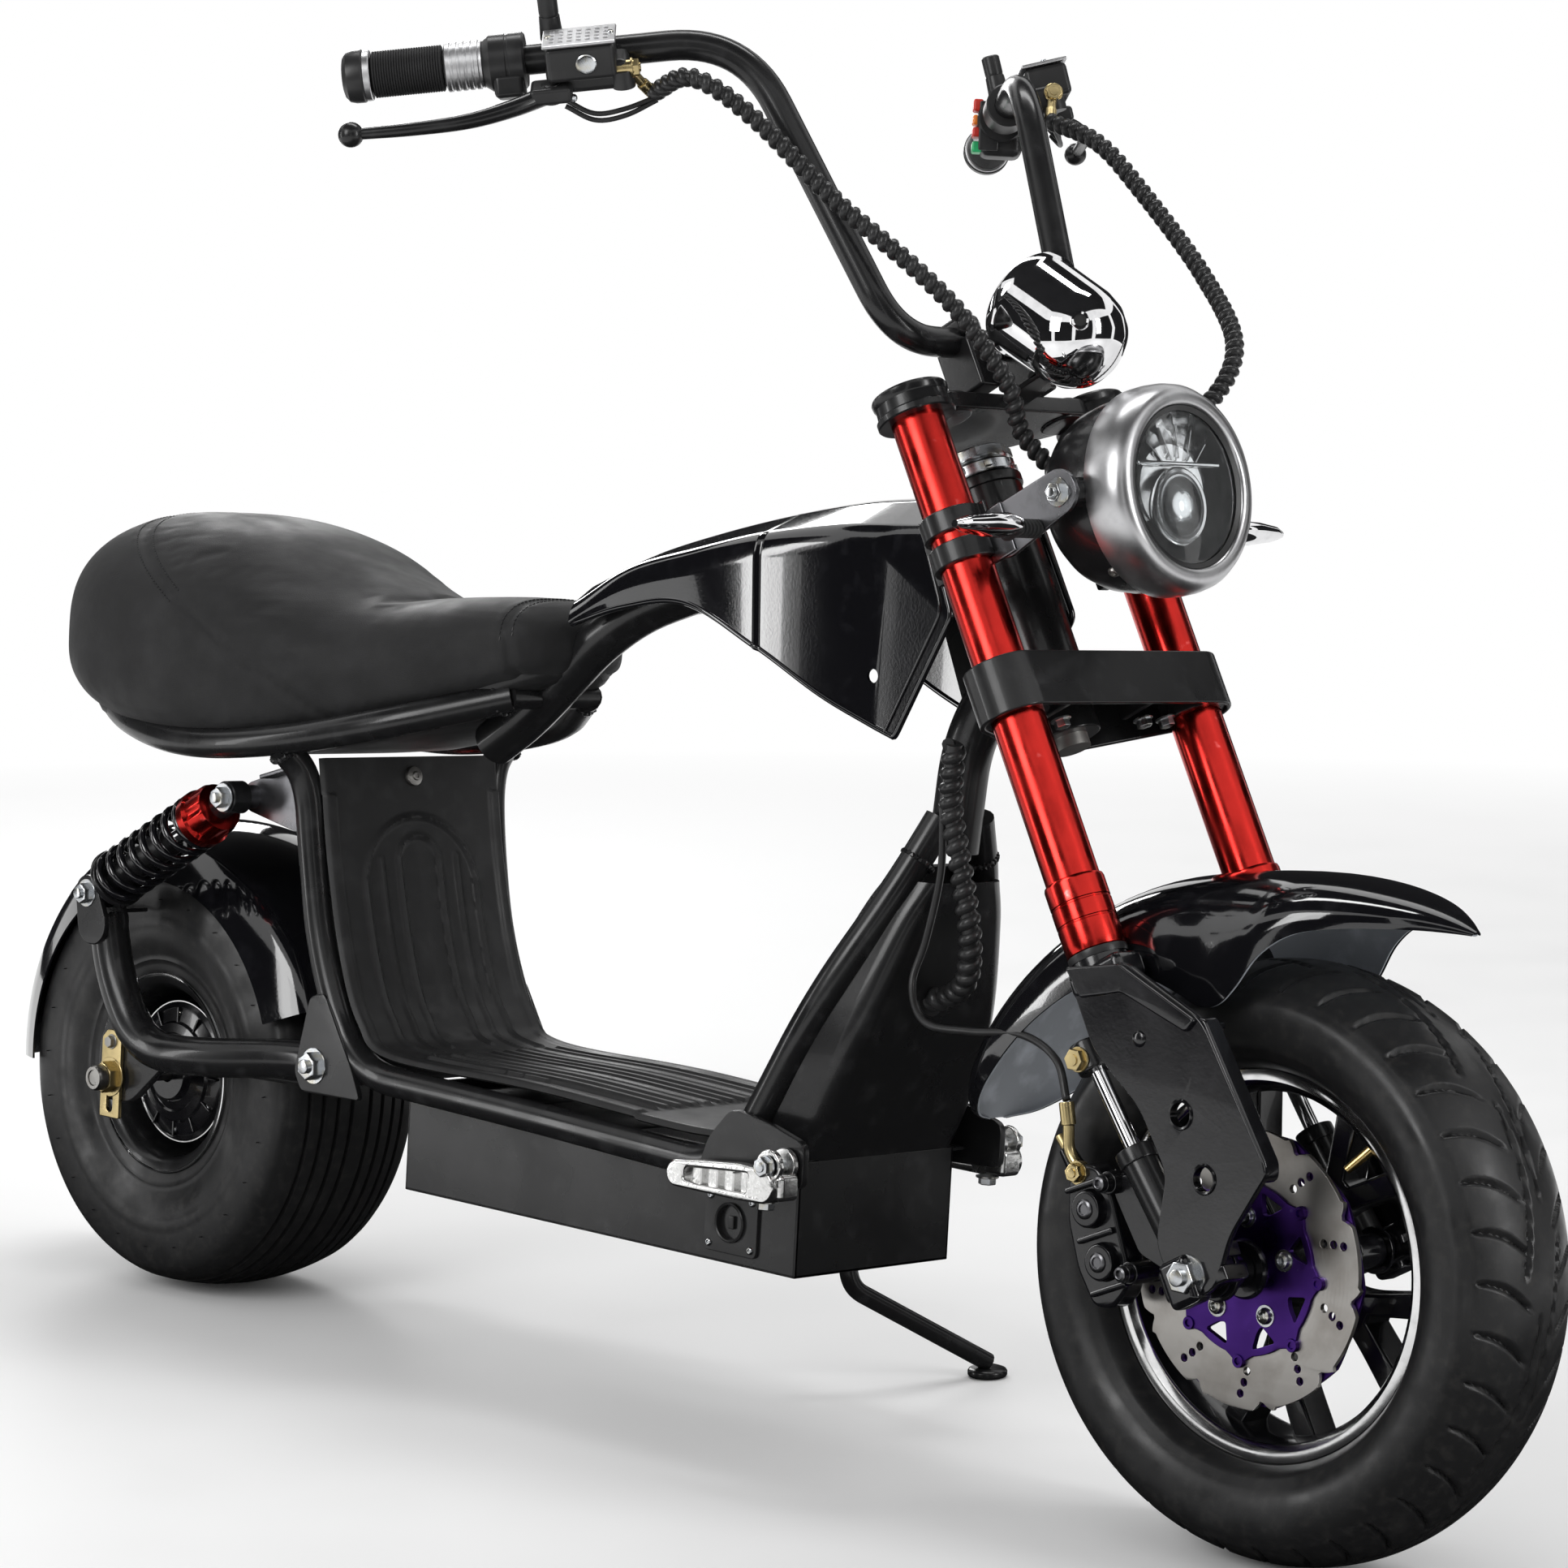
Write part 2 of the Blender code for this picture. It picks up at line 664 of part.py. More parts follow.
RAIL_PATH = (
    # x, half width, z
    (0.395, 0.040, 0.541),
    (0.297, 0.110, 0.509),
    (0.200, 0.130, 0.489),
    (0.100, 0.135, 0.479),
    (0.000, 0.118, 0.489),
    (-0.085, 0.080, 0.512),
    (-0.118, 0.000, 0.528),
)


BACKBONE_PATH = (
    # x, z
    (0.330, 0.498),
    (0.378, 0.528),
    (0.470, 0.610),
    (0.600, 0.652),
)
DOWN_TUBE_PATH = (
    # x, z
    (0.850, 0.545),
    (0.842, 0.462),
)
BACKBONE_JOINT = 0.565
DOWN_TUBE_JOINT = 0.502


def backbone_route():
    """Centre line of the backbone, its bends rounded."""
    path = [Vector((x, 0, z)) for x, z in BACKBONE_PATH]
    return smooth_corners([*path, STEERING @ Vector((0, 0, BACKBONE_JOINT))], BACKBONE_BEND)


def down_tube_route():
    """Centre line of the short tube below the head tube."""
    path = [Vector((x, 0, z)) for x, z in DOWN_TUBE_PATH]
    return smooth_corners([STEERING @ Vector((0, 0, DOWN_TUBE_JOINT)), *path], DOWN_TUBE_BEND)


def backbone_cut():
    """Cutter for what lies against the backbone."""
    return pipe(carried_on(backbone_route(), 0.06), BACKBONE_RADIUS + GAP, 0, 3)


def down_tube_cut():
    """Cutter for what lies against the short tube below the head tube."""
    return pipe(carried_on(down_tube_route(), 0.02), BACKBONE_RADIUS + GAP, 0, 3)


GUSSET_OUTLINE = ((0.262, 0.290), (0.244, 0.285), (0.228, 0.222), (0.238, 0.206), (0.312, 0.208), (0.300, 0.232))
GUSSET_THICKNESS = 0.005
SHOCK_TAB_OUTLINE = ((0.142, 0.454), (0.142, 0.428), (0.160, 0.424), (0.222, 0.418), (0.216, 0.462))
SHOCK_TAB_THICKNESS = 0.006
PEG_LUG_OUTLINE = ((0.700, 0.207), (0.812, 0.212), (0.812, 0.246), (0.776, 0.256), (0.735, 0.262), (0.712, 0.238))
PEG_LUG_THICKNESS = 0.0075
PEG_LUG_Y = 0.1075


def frame_tubes(group):
    """The seat rail, the side tubes round the footwell, the backbone and the head tube."""
    head = [STEERING @ Vector((0, 0, z)) for z in (HEAD_TUBE_BOTTOM, HEAD_TUBE_TOP)]
    bore = [STEERING @ Vector((0, 0, z)) for z in (HEAD_TUBE_BOTTOM - 0.02, HEAD_TUBE_TOP + 0.02)]
    node("backbone", group, "satin_black",
         [pipe(backbone_route(), BACKBONE_RADIUS, 0, 3),
          pipe(down_tube_route(), BACKBONE_RADIUS, 0, 3),
          rod(head[0], head[1], HEAD_TUBE_RADIUS, 20)],
         [rod(bore[0], bore[1], STEM_RADIUS + BEARING_GAP, 16)])
    node("seat_rail", group, "satin_black", [pipe(rail_route(), TUBE_RADIUS)], [backbone_cut()])
    for side, label in ((-1, "right"), (1, "left")):
        gusset = plate(GUSSET_OUTLINE, GUSSET_THICKNESS, side_plane(side * (GUSSET_OUTER - GUSSET_THICKNESS / 2)))
        pivot_hole = rod((SWING_PIVOT.x, side * 0.05, SWING_PIVOT.z),
                         (SWING_PIVOT.x, side * 0.16, SWING_PIVOT.z), AXLE_RADIUS + GAP, 12)
        shock_tab = plate(SHOCK_TAB_OUTLINE, SHOCK_TAB_THICKNESS, side_plane(side * SHOCK_TAB_Y))
        shock_hole = rod((SHOCK_TOP.x, side * 0.05, SHOCK_TOP.z), (SHOCK_TOP.x, side * 0.16, SHOCK_TOP.z),
                         SHOCK_BOLT_RADIUS + GAP, 8)
        peg_lug = plate(PEG_LUG_OUTLINE, PEG_LUG_THICKNESS, side_plane(side * PEG_LUG_Y))
        node(f"side_tube_{label}", group, "satin_black",
             [pipe(side_tube_route(side), TUBE_RADIUS), gusset, shock_tab, peg_lug],
             [rail_cut(), down_tube_cut(), pivot_hole, shock_hole])


def battery_tray(group):
    """The open-topped steel tray between the floor tubes, its battery and charge port."""
    length = TRAY_FRONT - TRAY_REAR
    middle = (TRAY_FRONT + TRAY_REAR) / 2
    height = TRAY_TOP - TRAY_BOTTOM
    outer = block((length, 2 * TRAY_HALF_WIDTH, height), (middle, 0, TRAY_BOTTOM + height / 2))
    inner = block((length - 2 * TRAY_WALL, 2 * (TRAY_HALF_WIDTH - TRAY_WALL), height),
                  (middle, 0, TRAY_BOTTOM + height / 2 + TRAY_WALL))
    x, _, z = STAND_PIVOT
    wall = TRAY_HALF_WIDTH
    lug_outline = hull_outline([(x, z, 0.011), (x - 0.010, z + 0.040, 0.009), (x + 0.010, z + 0.040, 0.009)], 16)
    lug = [plate(lug_outline, 0.0065, side_plane(wall + 0.0027)),
           rod(STAND_PIVOT - STAND_AXIS * 0.019, STAND_PIVOT + STAND_AXIS * 0.0130, STAND_PIN_RADIUS, 12),
           rod(STAND_PIVOT + STAND_AXIS * 0.0095, STAND_PIVOT + STAND_AXIS * 0.0130, 0.009, 6)]
    node("battery_tray", group, "satin_black", [joined([outer], [inner]), *lug])
    pack_height = height - TRAY_WALL - 0.012
    node("battery_pack", group, "black_plastic",
         [block((length - 0.05, 2 * (TRAY_HALF_WIDTH - TRAY_WALL) - 0.012, pack_height),
                (middle, 0, TRAY_BOTTOM + TRAY_WALL + GAP + pack_height / 2))])
    face = -TRAY_HALF_WIDTH - GAP
    port = Vector((0.716, face, 0.171))
    node("charge_port", group, "black_plastic",
         [block((0.058, 0.003, 0.050), port + Vector((0, -0.0015, 0))),
          rod(port, port + Vector((0, -0.012, 0)), 0.014, 16)])


HARNESS_RADIUS = 0.0075
HARNESS_ROUTE = (
    (0.888, -0.056, 0.545), (0.881, -0.048, 0.500), (0.888, -0.040, 0.450), (0.894, -0.034, 0.405),
    (0.882, -0.022, 0.372), (0.858, -0.013, 0.356), (0.834, -0.012, 0.350), (0.812, -0.012, 0.346),
)

BOARD_SECTIONS = (
    # x, z, half width
    (0.226, 0.478, 0.096),
    (0.240, 0.400, 0.096),
    (0.262, 0.320, 0.096),
    (0.288, 0.268, 0.096),
    (0.330, 0.244, 0.096),
    (0.500, 0.243, 0.096),
    (0.690, 0.237, 0.096),
    (0.740, 0.252, 0.094),
    (0.768, 0.300, 0.088),
    (0.785, 0.362, 0.074),
    (0.806, 0.420, 0.052),
    (0.820, 0.448, 0.036),
)


def footboard(group):
    """The moulded footboard: up behind the rider's heels, along the floor and up the front."""
    rows = []
    for x, z, half in BOARD_SECTIONS:
        rows.append([(x, half * f, z) for f in (-1, -0.5, 0, 0.5, 1)])
    cuts = [side_tube_cut(side) for side in (-1, 1)]
    cuts.append(block((0.6, 0.4, 0.06), (0.52, 0, TRAY_TOP + GAP - 0.03)))
    ribs = []
    for y in FLOOR_RIB_PLACES:
        rings = []
        for x, z, _ in BOARD_SECTIONS[FLOOR_SECTIONS]:
            top = z + BOARD_THICKNESS / 2 + FLOOR_RIB_HEIGHT
            rings.append([Vector((x, y + dy, height)) for dy, height in
                          ((-0.005, z), (0.005, z), (0.003, top), (-0.003, top))])
        ribs.append(loft(rings))
    node("footboard", group, "black_plastic", [shell(rows, BOARD_THICKNESS), *ribs], cuts)


SHIELD_SECTIONS = (
    # z, front x, front half width, tube x, tube half width
    (0.2275, 0.790, 0.080, 0.735, 0.094),
    (0.2650, 0.808, 0.080, 0.757, 0.093),
    (0.3300, 0.832, 0.074, 0.785, 0.087),
    (0.4050, 0.853, 0.054, 0.819, 0.060),
    (0.4400, 0.865, 0.036, 0.834, 0.044),
)


def front_shield(group):
    """The steel plate ahead of the front tubes, folded back to them, with the harness hole."""
    rows = []
    for z, x, half, tube_x, tube_half in SHIELD_SECTIONS:
        rows.append([(tube_x, -tube_half, z), (x, -half, z), (x, 0, z), (x, half, z), (tube_x, tube_half, z)])
    cuts = [pipe(HARNESS_ROUTE, HARNESS_RADIUS + GAP), down_tube_cut()]
    cuts += [side_tube_cut(side) for side in (-1, 1)]
    node("front_shield", group, "satin_black", [shell(rows, 0.003)], cuts)


COVER_SECTIONS = (
    # x, ridge z, ridge half width, shoulder z, half width, lower z
    (0.455, 0.634, 0.012, 0.618, 0.040, 0.604),
    (0.530, 0.662, 0.018, 0.650, 0.056, 0.622),
    (0.610, 0.684, 0.022, 0.668, 0.066, 0.630),
    (0.700, 0.704, 0.024, 0.686, 0.070, 0.600),
    (0.760, 0.714, 0.024, 0.694, 0.070, 0.572),
    (0.815, 0.719, 0.024, 0.697, 0.066, 0.552),
)


def body_cover(group):
    """The gloss shell over the backbone, open below and at the front."""
    rows = []
    for x, ridge_z, ridge, shoulder_z, half, lower_z in COVER_SECTIONS:
        rows.append([(x, -half, lower_z), (x, -half, shoulder_z), (x, -ridge, ridge_z),
                     (x, ridge, ridge_z), (x, half, shoulder_z), (x, half, lower_z)])
    bosses = [block((0.024, 0.020, height), (x, 0, top - height / 2))
              for x, top, height in ((0.520, 0.657, 0.022), (0.640, 0.690, 0.024))]
    node("body_cover", group, "gloss_black", [shell(rows, 0.003), *bosses], [backbone_cut()])


SEAT_SECTIONS = (
    # x, half width, bottom z, top z
    (-0.122, 0.060, 0.545, 0.606),
    (-0.102, 0.104, 0.530, 0.640),
    (-0.050, 0.137, 0.508, 0.664),
    (0.020, 0.148, 0.495, 0.668),
    (0.100, 0.146, 0.489, 0.654),
    (0.180, 0.130, 0.495, 0.624),
    (0.250, 0.104, 0.508, 0.607),
    (0.320, 0.080, 0.526, 0.614),
    (0.375, 0.056, 0.560, 0.610),
    (0.402, 0.030, 0.580, 0.599),
)


def seat(group):
    """The padded seat, a plain closed form of its true outer shape."""
    rings = []
    for x, half, bottom, top in SEAT_SECTIONS:
        ring = []
        middle = (bottom + top) / 2
        for step in range(16):
            angle = 2 * math.pi * step / 16
            c, s = math.cos(angle), math.sin(angle)
            y = half * math.copysign(abs(c) ** 0.7, c)
            rise = (top - middle) if s > 0 else (middle - bottom)
            z = middle + rise * math.copysign(abs(s) ** 0.7, s)
            ring.append((x, y, z))
        rings.append(ring)
    node("seat_cushion", group, "leather", [loft(rings)], [rail_cut()])
    node("tail_light", group, "red_plastic",
         [block((0.016, 0.070, 0.028), (-0.106, 0, 0.505), 0.003)], [rail_cut()])


# Rear end

def rear_axle(group):
    """The rear axle with its nuts and slotted plates, one on each side."""
    centre_z = REAR_AXLE_HEIGHT
    pieces = [rod((0, -REAR_AXLE_HALF_LENGTH, centre_z), (0, REAR_AXLE_HALF_LENGTH, centre_z),
                  REAR_AXLE_RADIUS, 12)]
    for side in (-1, 1):
        pieces.append(block((0.026, 0.004, 0.070), (0, side * 0.1208, centre_z + 0.020)))
        pieces.append(rod((0, side * 0.119, centre_z), (0, side * 0.132, centre_z), 0.014, 6))
    node("rear_axle", group, "brass", pieces)


def swing_arm(group):
    """The swing arm: two bent tubes that splay outwards, a cross tube and the axle plates."""
    pieces = []
    z = SWING_PIVOT.z
    for side in (-1, 1):
        path = [(x, side * y, height) for x, y, height in
                ((SWING_PIVOT.x + 0.009, SWING_PIVOT_HALF_SPACING, z), (0.205, SWING_PIVOT_HALF_SPACING, z),
                 (0.120, 0.116, z + 0.002), (0.055, SWING_HALF_SPACING, z + 0.006),
                 (0.004, SWING_HALF_SPACING, 0.286), (-0.020, SWING_HALF_SPACING, 0.325))]
        pieces.append(pipe(path, SWING_RADIUS, 0.025))
        pieces.append(plate([(-0.026, 0.160), (0.024, 0.160), (0.110, 0.222), (0.060, 0.250),
                             (0.010, 0.290), (-0.026, 0.215)], 0.008, side_plane(side * AXLE_PLATE_Y)))
        eye = Vector((SHOCK_BOTTOM.x, side * SHOCK_TAB_Y, SHOCK_BOTTOM.z))
        pieces.append(plate(hull_outline([(eye.x, eye.z, 0.013), (-0.016, 0.305, 0.013)]), 0.006,
                            side_plane(eye.y)))
    pieces.append(rod((SWING_PIVOT.x, -SWING_PIVOT_HALF_SPACING, z),
                      (SWING_PIVOT.x, SWING_PIVOT_HALF_SPACING, z), 0.013, 12))
    holes = [rod((0, -0.2, REAR_AXLE_HEIGHT), (0, 0.2, REAR_AXLE_HEIGHT), REAR_AXLE_RADIUS + GAP, 12),
             rod((SWING_PIVOT.x, -0.2, z), (SWING_PIVOT.x, 0.2, z), AXLE_RADIUS + GAP, 12),
             rod((SHOCK_BOTTOM.x, -0.2, SHOCK_BOTTOM.z), (SHOCK_BOTTOM.x, 0.2, SHOCK_BOTTOM.z),
                 SHOCK_BOLT_RADIUS + GAP, 8)]
    node("swing_arm", group, "satin_black", pieces, holes)
    face = GUSSET_OUTER + GAP
    node("swing_pivot_bolt", group, "steel",
         [rod((SWING_PIVOT.x, -face - 0.012, z), (SWING_PIVOT.x, face + 0.012, z), AXLE_RADIUS, 12),
          rod((SWING_PIVOT.x, -face - 0.009, z), (SWING_PIVOT.x, -face, z), 0.011, 6),
          rod((SWING_PIVOT.x, face, z), (SWING_PIVOT.x, face + 0.009, z), 0.011, 6)])


def shock(label, side, group):
    """A rear shock: its eyes, rod, body, spring and red upper cap."""
    y = side * SHOCK_HALF_SPACING
    top = Vector((SHOCK_TOP.x, y, SHOCK_TOP.z))
    bottom = Vector((SHOCK_BOTTOM.x, y, SHOCK_BOTTOM.z))
    run = (top - bottom).normalized()
    length = (top - bottom).length
    spring_start = 0.024
    spring_end = length - 0.052
    frame = along(bottom, top)
    coil = []
    per_turn = 8
    for step in range(SPRING_TURNS * per_turn + 1):
        angle = 2 * math.pi * step / per_turn
        t = step / (SPRING_TURNS * per_turn)
        height = spring_start + (spring_end - spring_start) * t
        local = Vector((SPRING_RADIUS * math.cos(angle), SPRING_RADIUS * math.sin(angle), height))
        coil.append(frame @ local)
    out = Vector((0, side, 0))
    pieces = [
        rod(bottom, top, 0.007, 8),
        rod(bottom + run * (spring_start - 0.007), bottom + run * (spring_start + 0.001), SPRING_RADIUS + 0.004, 14),
        rod(bottom + run * (spring_end - 0.001), bottom + run * (length - 0.012), SPRING_RADIUS + 0.003, 14, 0.016),
        pipe(coil, SPRING_WIRE_RADIUS, 0, 0),
    ]
    inner = SHOCK_TAB_Y + 0.003 + GAP
    for point in (bottom, top):
        eye = Vector((point.x, side * inner, point.z))
        pieces.append(rod(eye, eye + out * 0.032, 0.012, 12))
        pieces.append(rod(eye - out * 0.012, eye + out * 0.042, SHOCK_BOLT_RADIUS, 8))
        pieces.append(rod(eye + out * 0.031, eye + out * 0.038, 0.009, 6))
    node(f"shock_{label}", group, "satin_black", pieces)


def fender(centre, radius, half_width, start, end, crown):
    """A curved mudguard: an arc round the wheel with its sides turned down."""
    rows = []
    steps = 10
    for step in range(steps + 1):
        angle = start + (end - start) * step / steps
        row = []
        for f in (-1, -0.92, -0.5, 0.5, 0.92, 1):
            drop = crown * abs(f) ** 3 + (0.010 if abs(f) == 1 else 0.0)
            r = radius - drop
            row.append((centre[0] + r * math.cos(angle), half_width * f, centre[2] + r * math.sin(angle)))
        rows.append(row)
    return shell(rows, FENDER_THICKNESS)


def rear_fender(group):
    """The mudguard over the rear wheel."""
    sheet = fender((0, 0, REAR_AXLE_HEIGHT), REAR_FENDER_RADIUS,
                   REAR_FENDER_HALF_WIDTH, math.radians(22), math.radians(181), 0.010)
    brackets = []
    for side in (-1, 1):
        brackets.append(block((0.020, 0.0197, 0.010), (-0.024, side * 0.0914, 0.381)))
        brackets.append(block((0.020, 0.003, 0.036), (-0.024, side * 0.09975, 0.366)))
    node("rear_fender", group, "gloss_black", [sheet, *brackets])


def foot_peg(label, side, group):
    """A folding cast foot peg, on its lug at the front of the floor tube."""
    hinge = Vector((PEG_HINGE.x, side * 0.1222, PEG_HINGE.z))
    pieces = [
        block((0.026, 0.020, 0.030), hinge),
        block((0.030, 0.024, 0.026), hinge + Vector((-0.004, side * 0.010, -0.018))),
        loft([[Vector((x, side * (0.130 + y), 0.212 + z)) for y, z in
               ((-d, -h), (d, -h), (d, h), (-d, h))]
              for x, d, h in ((0.800, 0.010, 0.014), (0.770, 0.012, 0.015), (0.712, 0.011, 0.013),
                              (0.698, 0.008, 0.008))]),
    ]
    node(f"foot_peg_{label}", group, "aluminium", pieces)


def stand_matrix():
    """The side stand's frame at its pivot, Y along the pin, which leans so that the leg folds in."""
    across = STAND_AXIS.cross(Vector((0, 0, 1))).normalized()
    turn = Matrix((across, STAND_AXIS, across.cross(STAND_AXIS))).transposed().to_4x4()
    return Matrix.Translation(STAND_PIVOT) @ turn


def side_stand(group):
    """The side stand: a bent leg with a flat foot on the ground."""
    upright = Matrix.Rotation(LEAN, 4, "X")
    to_stand = stand_matrix().inverted()
    foot = to_stand @ (upright @ STAND_FOOT)
    up = to_stand.to_3x3() @ (upright.to_3x3() @ Vector((0, 0, 1)))
    knee = to_stand @ (STAND_PIVOT + Vector((0.006, 0.004, -0.034)))
    pieces = [
        rod((0, -0.008, 0), (0, 0.008, 0), 0.013, 14),
        pipe([(0, 0, -0.004), knee, foot + up * 0.010], STAND_LEG_RADIUS, 0.03),
        rod(foot, foot + up * 0.004, STAND_FOOT_RADIUS, 14),
        rod(foot + up * 0.003, foot + up * 0.016, 0.011, 10, 0.008),
    ]
    node("side_stand", group, "satin_black", pieces,
         [rod((0, -0.02, 0), (0, 0.02, 0), STAND_PIN_RADIUS + BEARING_GAP, 12)])


# Steering pieces

def fork_tube(label, side, group):
    """A red fork tube with its wider lower collar and top cap."""
    y = side * FORK_HALF_SPACING
    place = Matrix.Translation((FORK_OFFSET, y, 0))
    profile = [(0, FORK_TOP + 0.006), (0.014, FORK_TOP + 0.006), (0.017, FORK_TOP + 0.002),
               (FORK_TUBE_RADIUS, FORK_TOP), (FORK_TUBE_RADIUS, FORK_COLLAR_TOP + 0.003),
               (FORK_COLLAR_RADIUS, FORK_COLLAR_TOP), (FORK_COLLAR_RADIUS, FORK_BOTTOM), (0, FORK_BOTTOM)]
    node(f"fork_tube_{label}", group, "red_anodised", [turned(profile, place, FORK_SIDES)])


def clamp_plate(bottom, height, front_half, centre_radius):
    """A fork clamp: a plate round both tubes and the stem."""
    ring = FORK_TUBE_RADIUS + CLAMP_WALL
    outline = hull_outline([(FORK_OFFSET, -FORK_HALF_SPACING, ring), (FORK_OFFSET, FORK_HALF_SPACING, ring),
                            (0, 0, centre_radius), (FORK_OFFSET, 0, front_half)], 14)
    return plate(outline, height, Matrix.Translation((0, 0, bottom + height / 2)))


def fork_holes(bottom, top):
    """Cutters for the two fork tubes."""
    return [rod((FORK_OFFSET, side * FORK_HALF_SPACING, bottom), (FORK_OFFSET, side * FORK_HALF_SPACING, top),
                FORK_TUBE_RADIUS + GAP, FORK_SIDES) for side in (-1, 1)]


def clamps(group):
    """The lower clamp with its stem, and the top clamp with the bar clamps."""
    low = LOWER_CLAMP_TOP - LOWER_CLAMP_HEIGHT
    node("lower_clamp", group, "satin_black",
         [clamp_plate(low, LOWER_CLAMP_HEIGHT, FORK_TUBE_RADIUS + CLAMP_WALL, CLAMP_CENTRE_RADIUS),
          rod((0, 0, STEM_BOTTOM), (0, 0, TOP_CLAMP_BOTTOM - GAP), STEM_RADIUS, 16),
          rod((0, 0, HEAD_TUBE_TOP + 0.004), (0, 0, TOP_CLAMP_BOTTOM - GAP), 0.026, 16)],
         fork_holes(low - 0.01, LOWER_CLAMP_TOP + 0.01))
    top = TOP_CLAMP_BOTTOM + TOP_CLAMP_HEIGHT
    pieces = [clamp_plate(TOP_CLAMP_BOTTOM, TOP_CLAMP_HEIGHT, 0.034, CLAMP_CENTRE_RADIUS),
              *pod_bracket()]
    for side in (-1, 1):
        y = side * BAR_CLAMP_HALF_SPACING
        pieces.append(block((0.032, 0.022, BAR_BASE_HEIGHT + 0.016 - top + 0.004),
                            (BAR_FORWARD - 0.004, y, (BAR_BASE_HEIGHT + 0.016 + top - 0.004) / 2), 0.003))
    bar_hole = rod((BAR_FORWARD, -0.07, BAR_BASE_HEIGHT), (BAR_FORWARD, 0.07, BAR_BASE_HEIGHT),
                   BAR_HOLE_RADIUS, 12)
    node("top_clamp", group, "satin_black", pieces,
         [*fork_holes(TOP_CLAMP_BOTTOM - 0.01, top + 0.01), bar_hole])


def grip_frame(side):
    """Matrix at an upper bar bend: x ahead of the grip, y up, z out along the grip."""
    out = Vector((-math.sin(GRIP_SWEEP) * math.cos(GRIP_DROP), side * math.cos(GRIP_SWEEP) * math.cos(GRIP_DROP),
                  -math.sin(GRIP_DROP)))
    ahead = Vector((math.cos(GRIP_SWEEP), side * math.sin(GRIP_SWEEP), 0))
    up = out.cross(ahead) * side * -1
    turn = TO_STEERING.to_3x3()
    origin = Vector((BAR_FORWARD - 0.002, side * BAR_TOP_HALF_WIDTH, BAR_TOP_HEIGHT))
    columns = [turn @ ahead, turn @ up, turn @ out]
    matrix = Matrix((columns[0], columns[1], columns[2])).transposed().to_4x4()
    return Matrix.Translation(origin) @ matrix


def handlebar(group):
    """The tall bent bar and its grips."""
    paths = []
    for side in (-1, 1):
        frame = grip_frame(side)
        base = Vector((BAR_FORWARD, side * BAR_BASE_HALF_WIDTH, BAR_BASE_HEIGHT))
        paths.append([base, frame.translation, frame @ Vector((0, 0, GRIP_LINE_LENGTH))])
    centre = [Vector((BAR_FORWARD, -0.05, BAR_BASE_HEIGHT)), Vector((BAR_FORWARD, 0.05, BAR_BASE_HEIGHT))]
    node("handlebar", group, "satin_black",
         [pipe([*reversed(paths[0]), *centre, *paths[1]], BAR_RADIUS, 0.055)])
    bore = BAR_HOLE_RADIUS
    right = grip_frame(-1)
    throttle = [(bore, 0.158), (0.021, 0.158), (0.0235, 0.164), (0.0235, 0.190), (0.0175, 0.191), (0.0175, 0.225),
                (0.0185, 0.226), (0.0185, 0.279), (0.0165, 0.280), (0.0165, 0.2925), (bore, 0.2925)]
    node("throttle_grip", group, "rubber", [turned(throttle, right, 18, closed=True)])
    left = grip_frame(1)
    plain = [(bore, 0.184), (0.0185, 0.184), (0.0175, 0.190), (0.0175, 0.279), (0.0165, 0.280),
             (0.0165, 0.2925), (bore, 0.2925)]
    node("left_grip", group, "rubber", [turned(plain, left, 18, closed=True)])
    bar_cut = rod(left @ Vector((0, 0, 0.10)), left @ Vector((0, 0, 0.20)), BAR_HOLE_RADIUS, 12)
    node("switch_cluster", group, "black_plastic",
         [block((0.036, 0.050, 0.032), (0, -0.006, 0.1635), 0.006, left)], [bar_cut])


def lever_frame(side):
    """The grip's frame, turned about the bar by the lever's own tilt."""
    return grip_frame(side) @ Matrix.Rotation(LEVER_TILTS[side], 4, "Z")


def brake_lever(label, side, group):
    """A brake master cylinder with its clamp, reservoir and ball-ended lever."""
    frame = lever_frame(side)

    def at(ahead, up, out):
        return frame @ Vector((ahead, up, out))

    pieces = [
        rod(at(0, 0, 0.112), at(0, 0, 0.134), 0.017, 14),
        block((0.036, 0.024, 0.064), (0.030, -0.004, 0.113), 0, frame),
        block((0.034, 0.034, 0.052), (0.034, 0.012, 0.116), 0.003, frame),
        pipe([at(0.036, -0.014, 0.150), at(0.062, -0.018, 0.190), at(0.072, -0.018, 0.285)], 0.0048, 0.03, 1),
        ball(at(0.072, -0.018, 0.288), 0.0095),
        rod(at(0.036, -0.020, 0.148), at(0.036, 0.004, 0.148), 0.010, 12),
        rod(frame @ (HOSE_END + Vector((0, 0, 0.014))), frame @ HOSE_END, 0.006, 8),
        rod(at(0.0, 0.016, 0.123), at(0.0, 0.050, 0.123), 0.0065, 10),
    ]
    cut = rod(at(0, 0, 0.09), at(0, 0, 0.16), BAR_HOLE_RADIUS, 12)
    node(f"brake_lever_{label}", group, "satin_black", pieces, [cut])


def lamp_matrix():
    """The headlight's frame: z forward along the beam, which points a little up."""
    return Matrix.Translation(LAMP_CENTRE) @ Matrix.Rotation(math.pi / 2 - LAMP_PITCH + RAKE, 4, "Y")


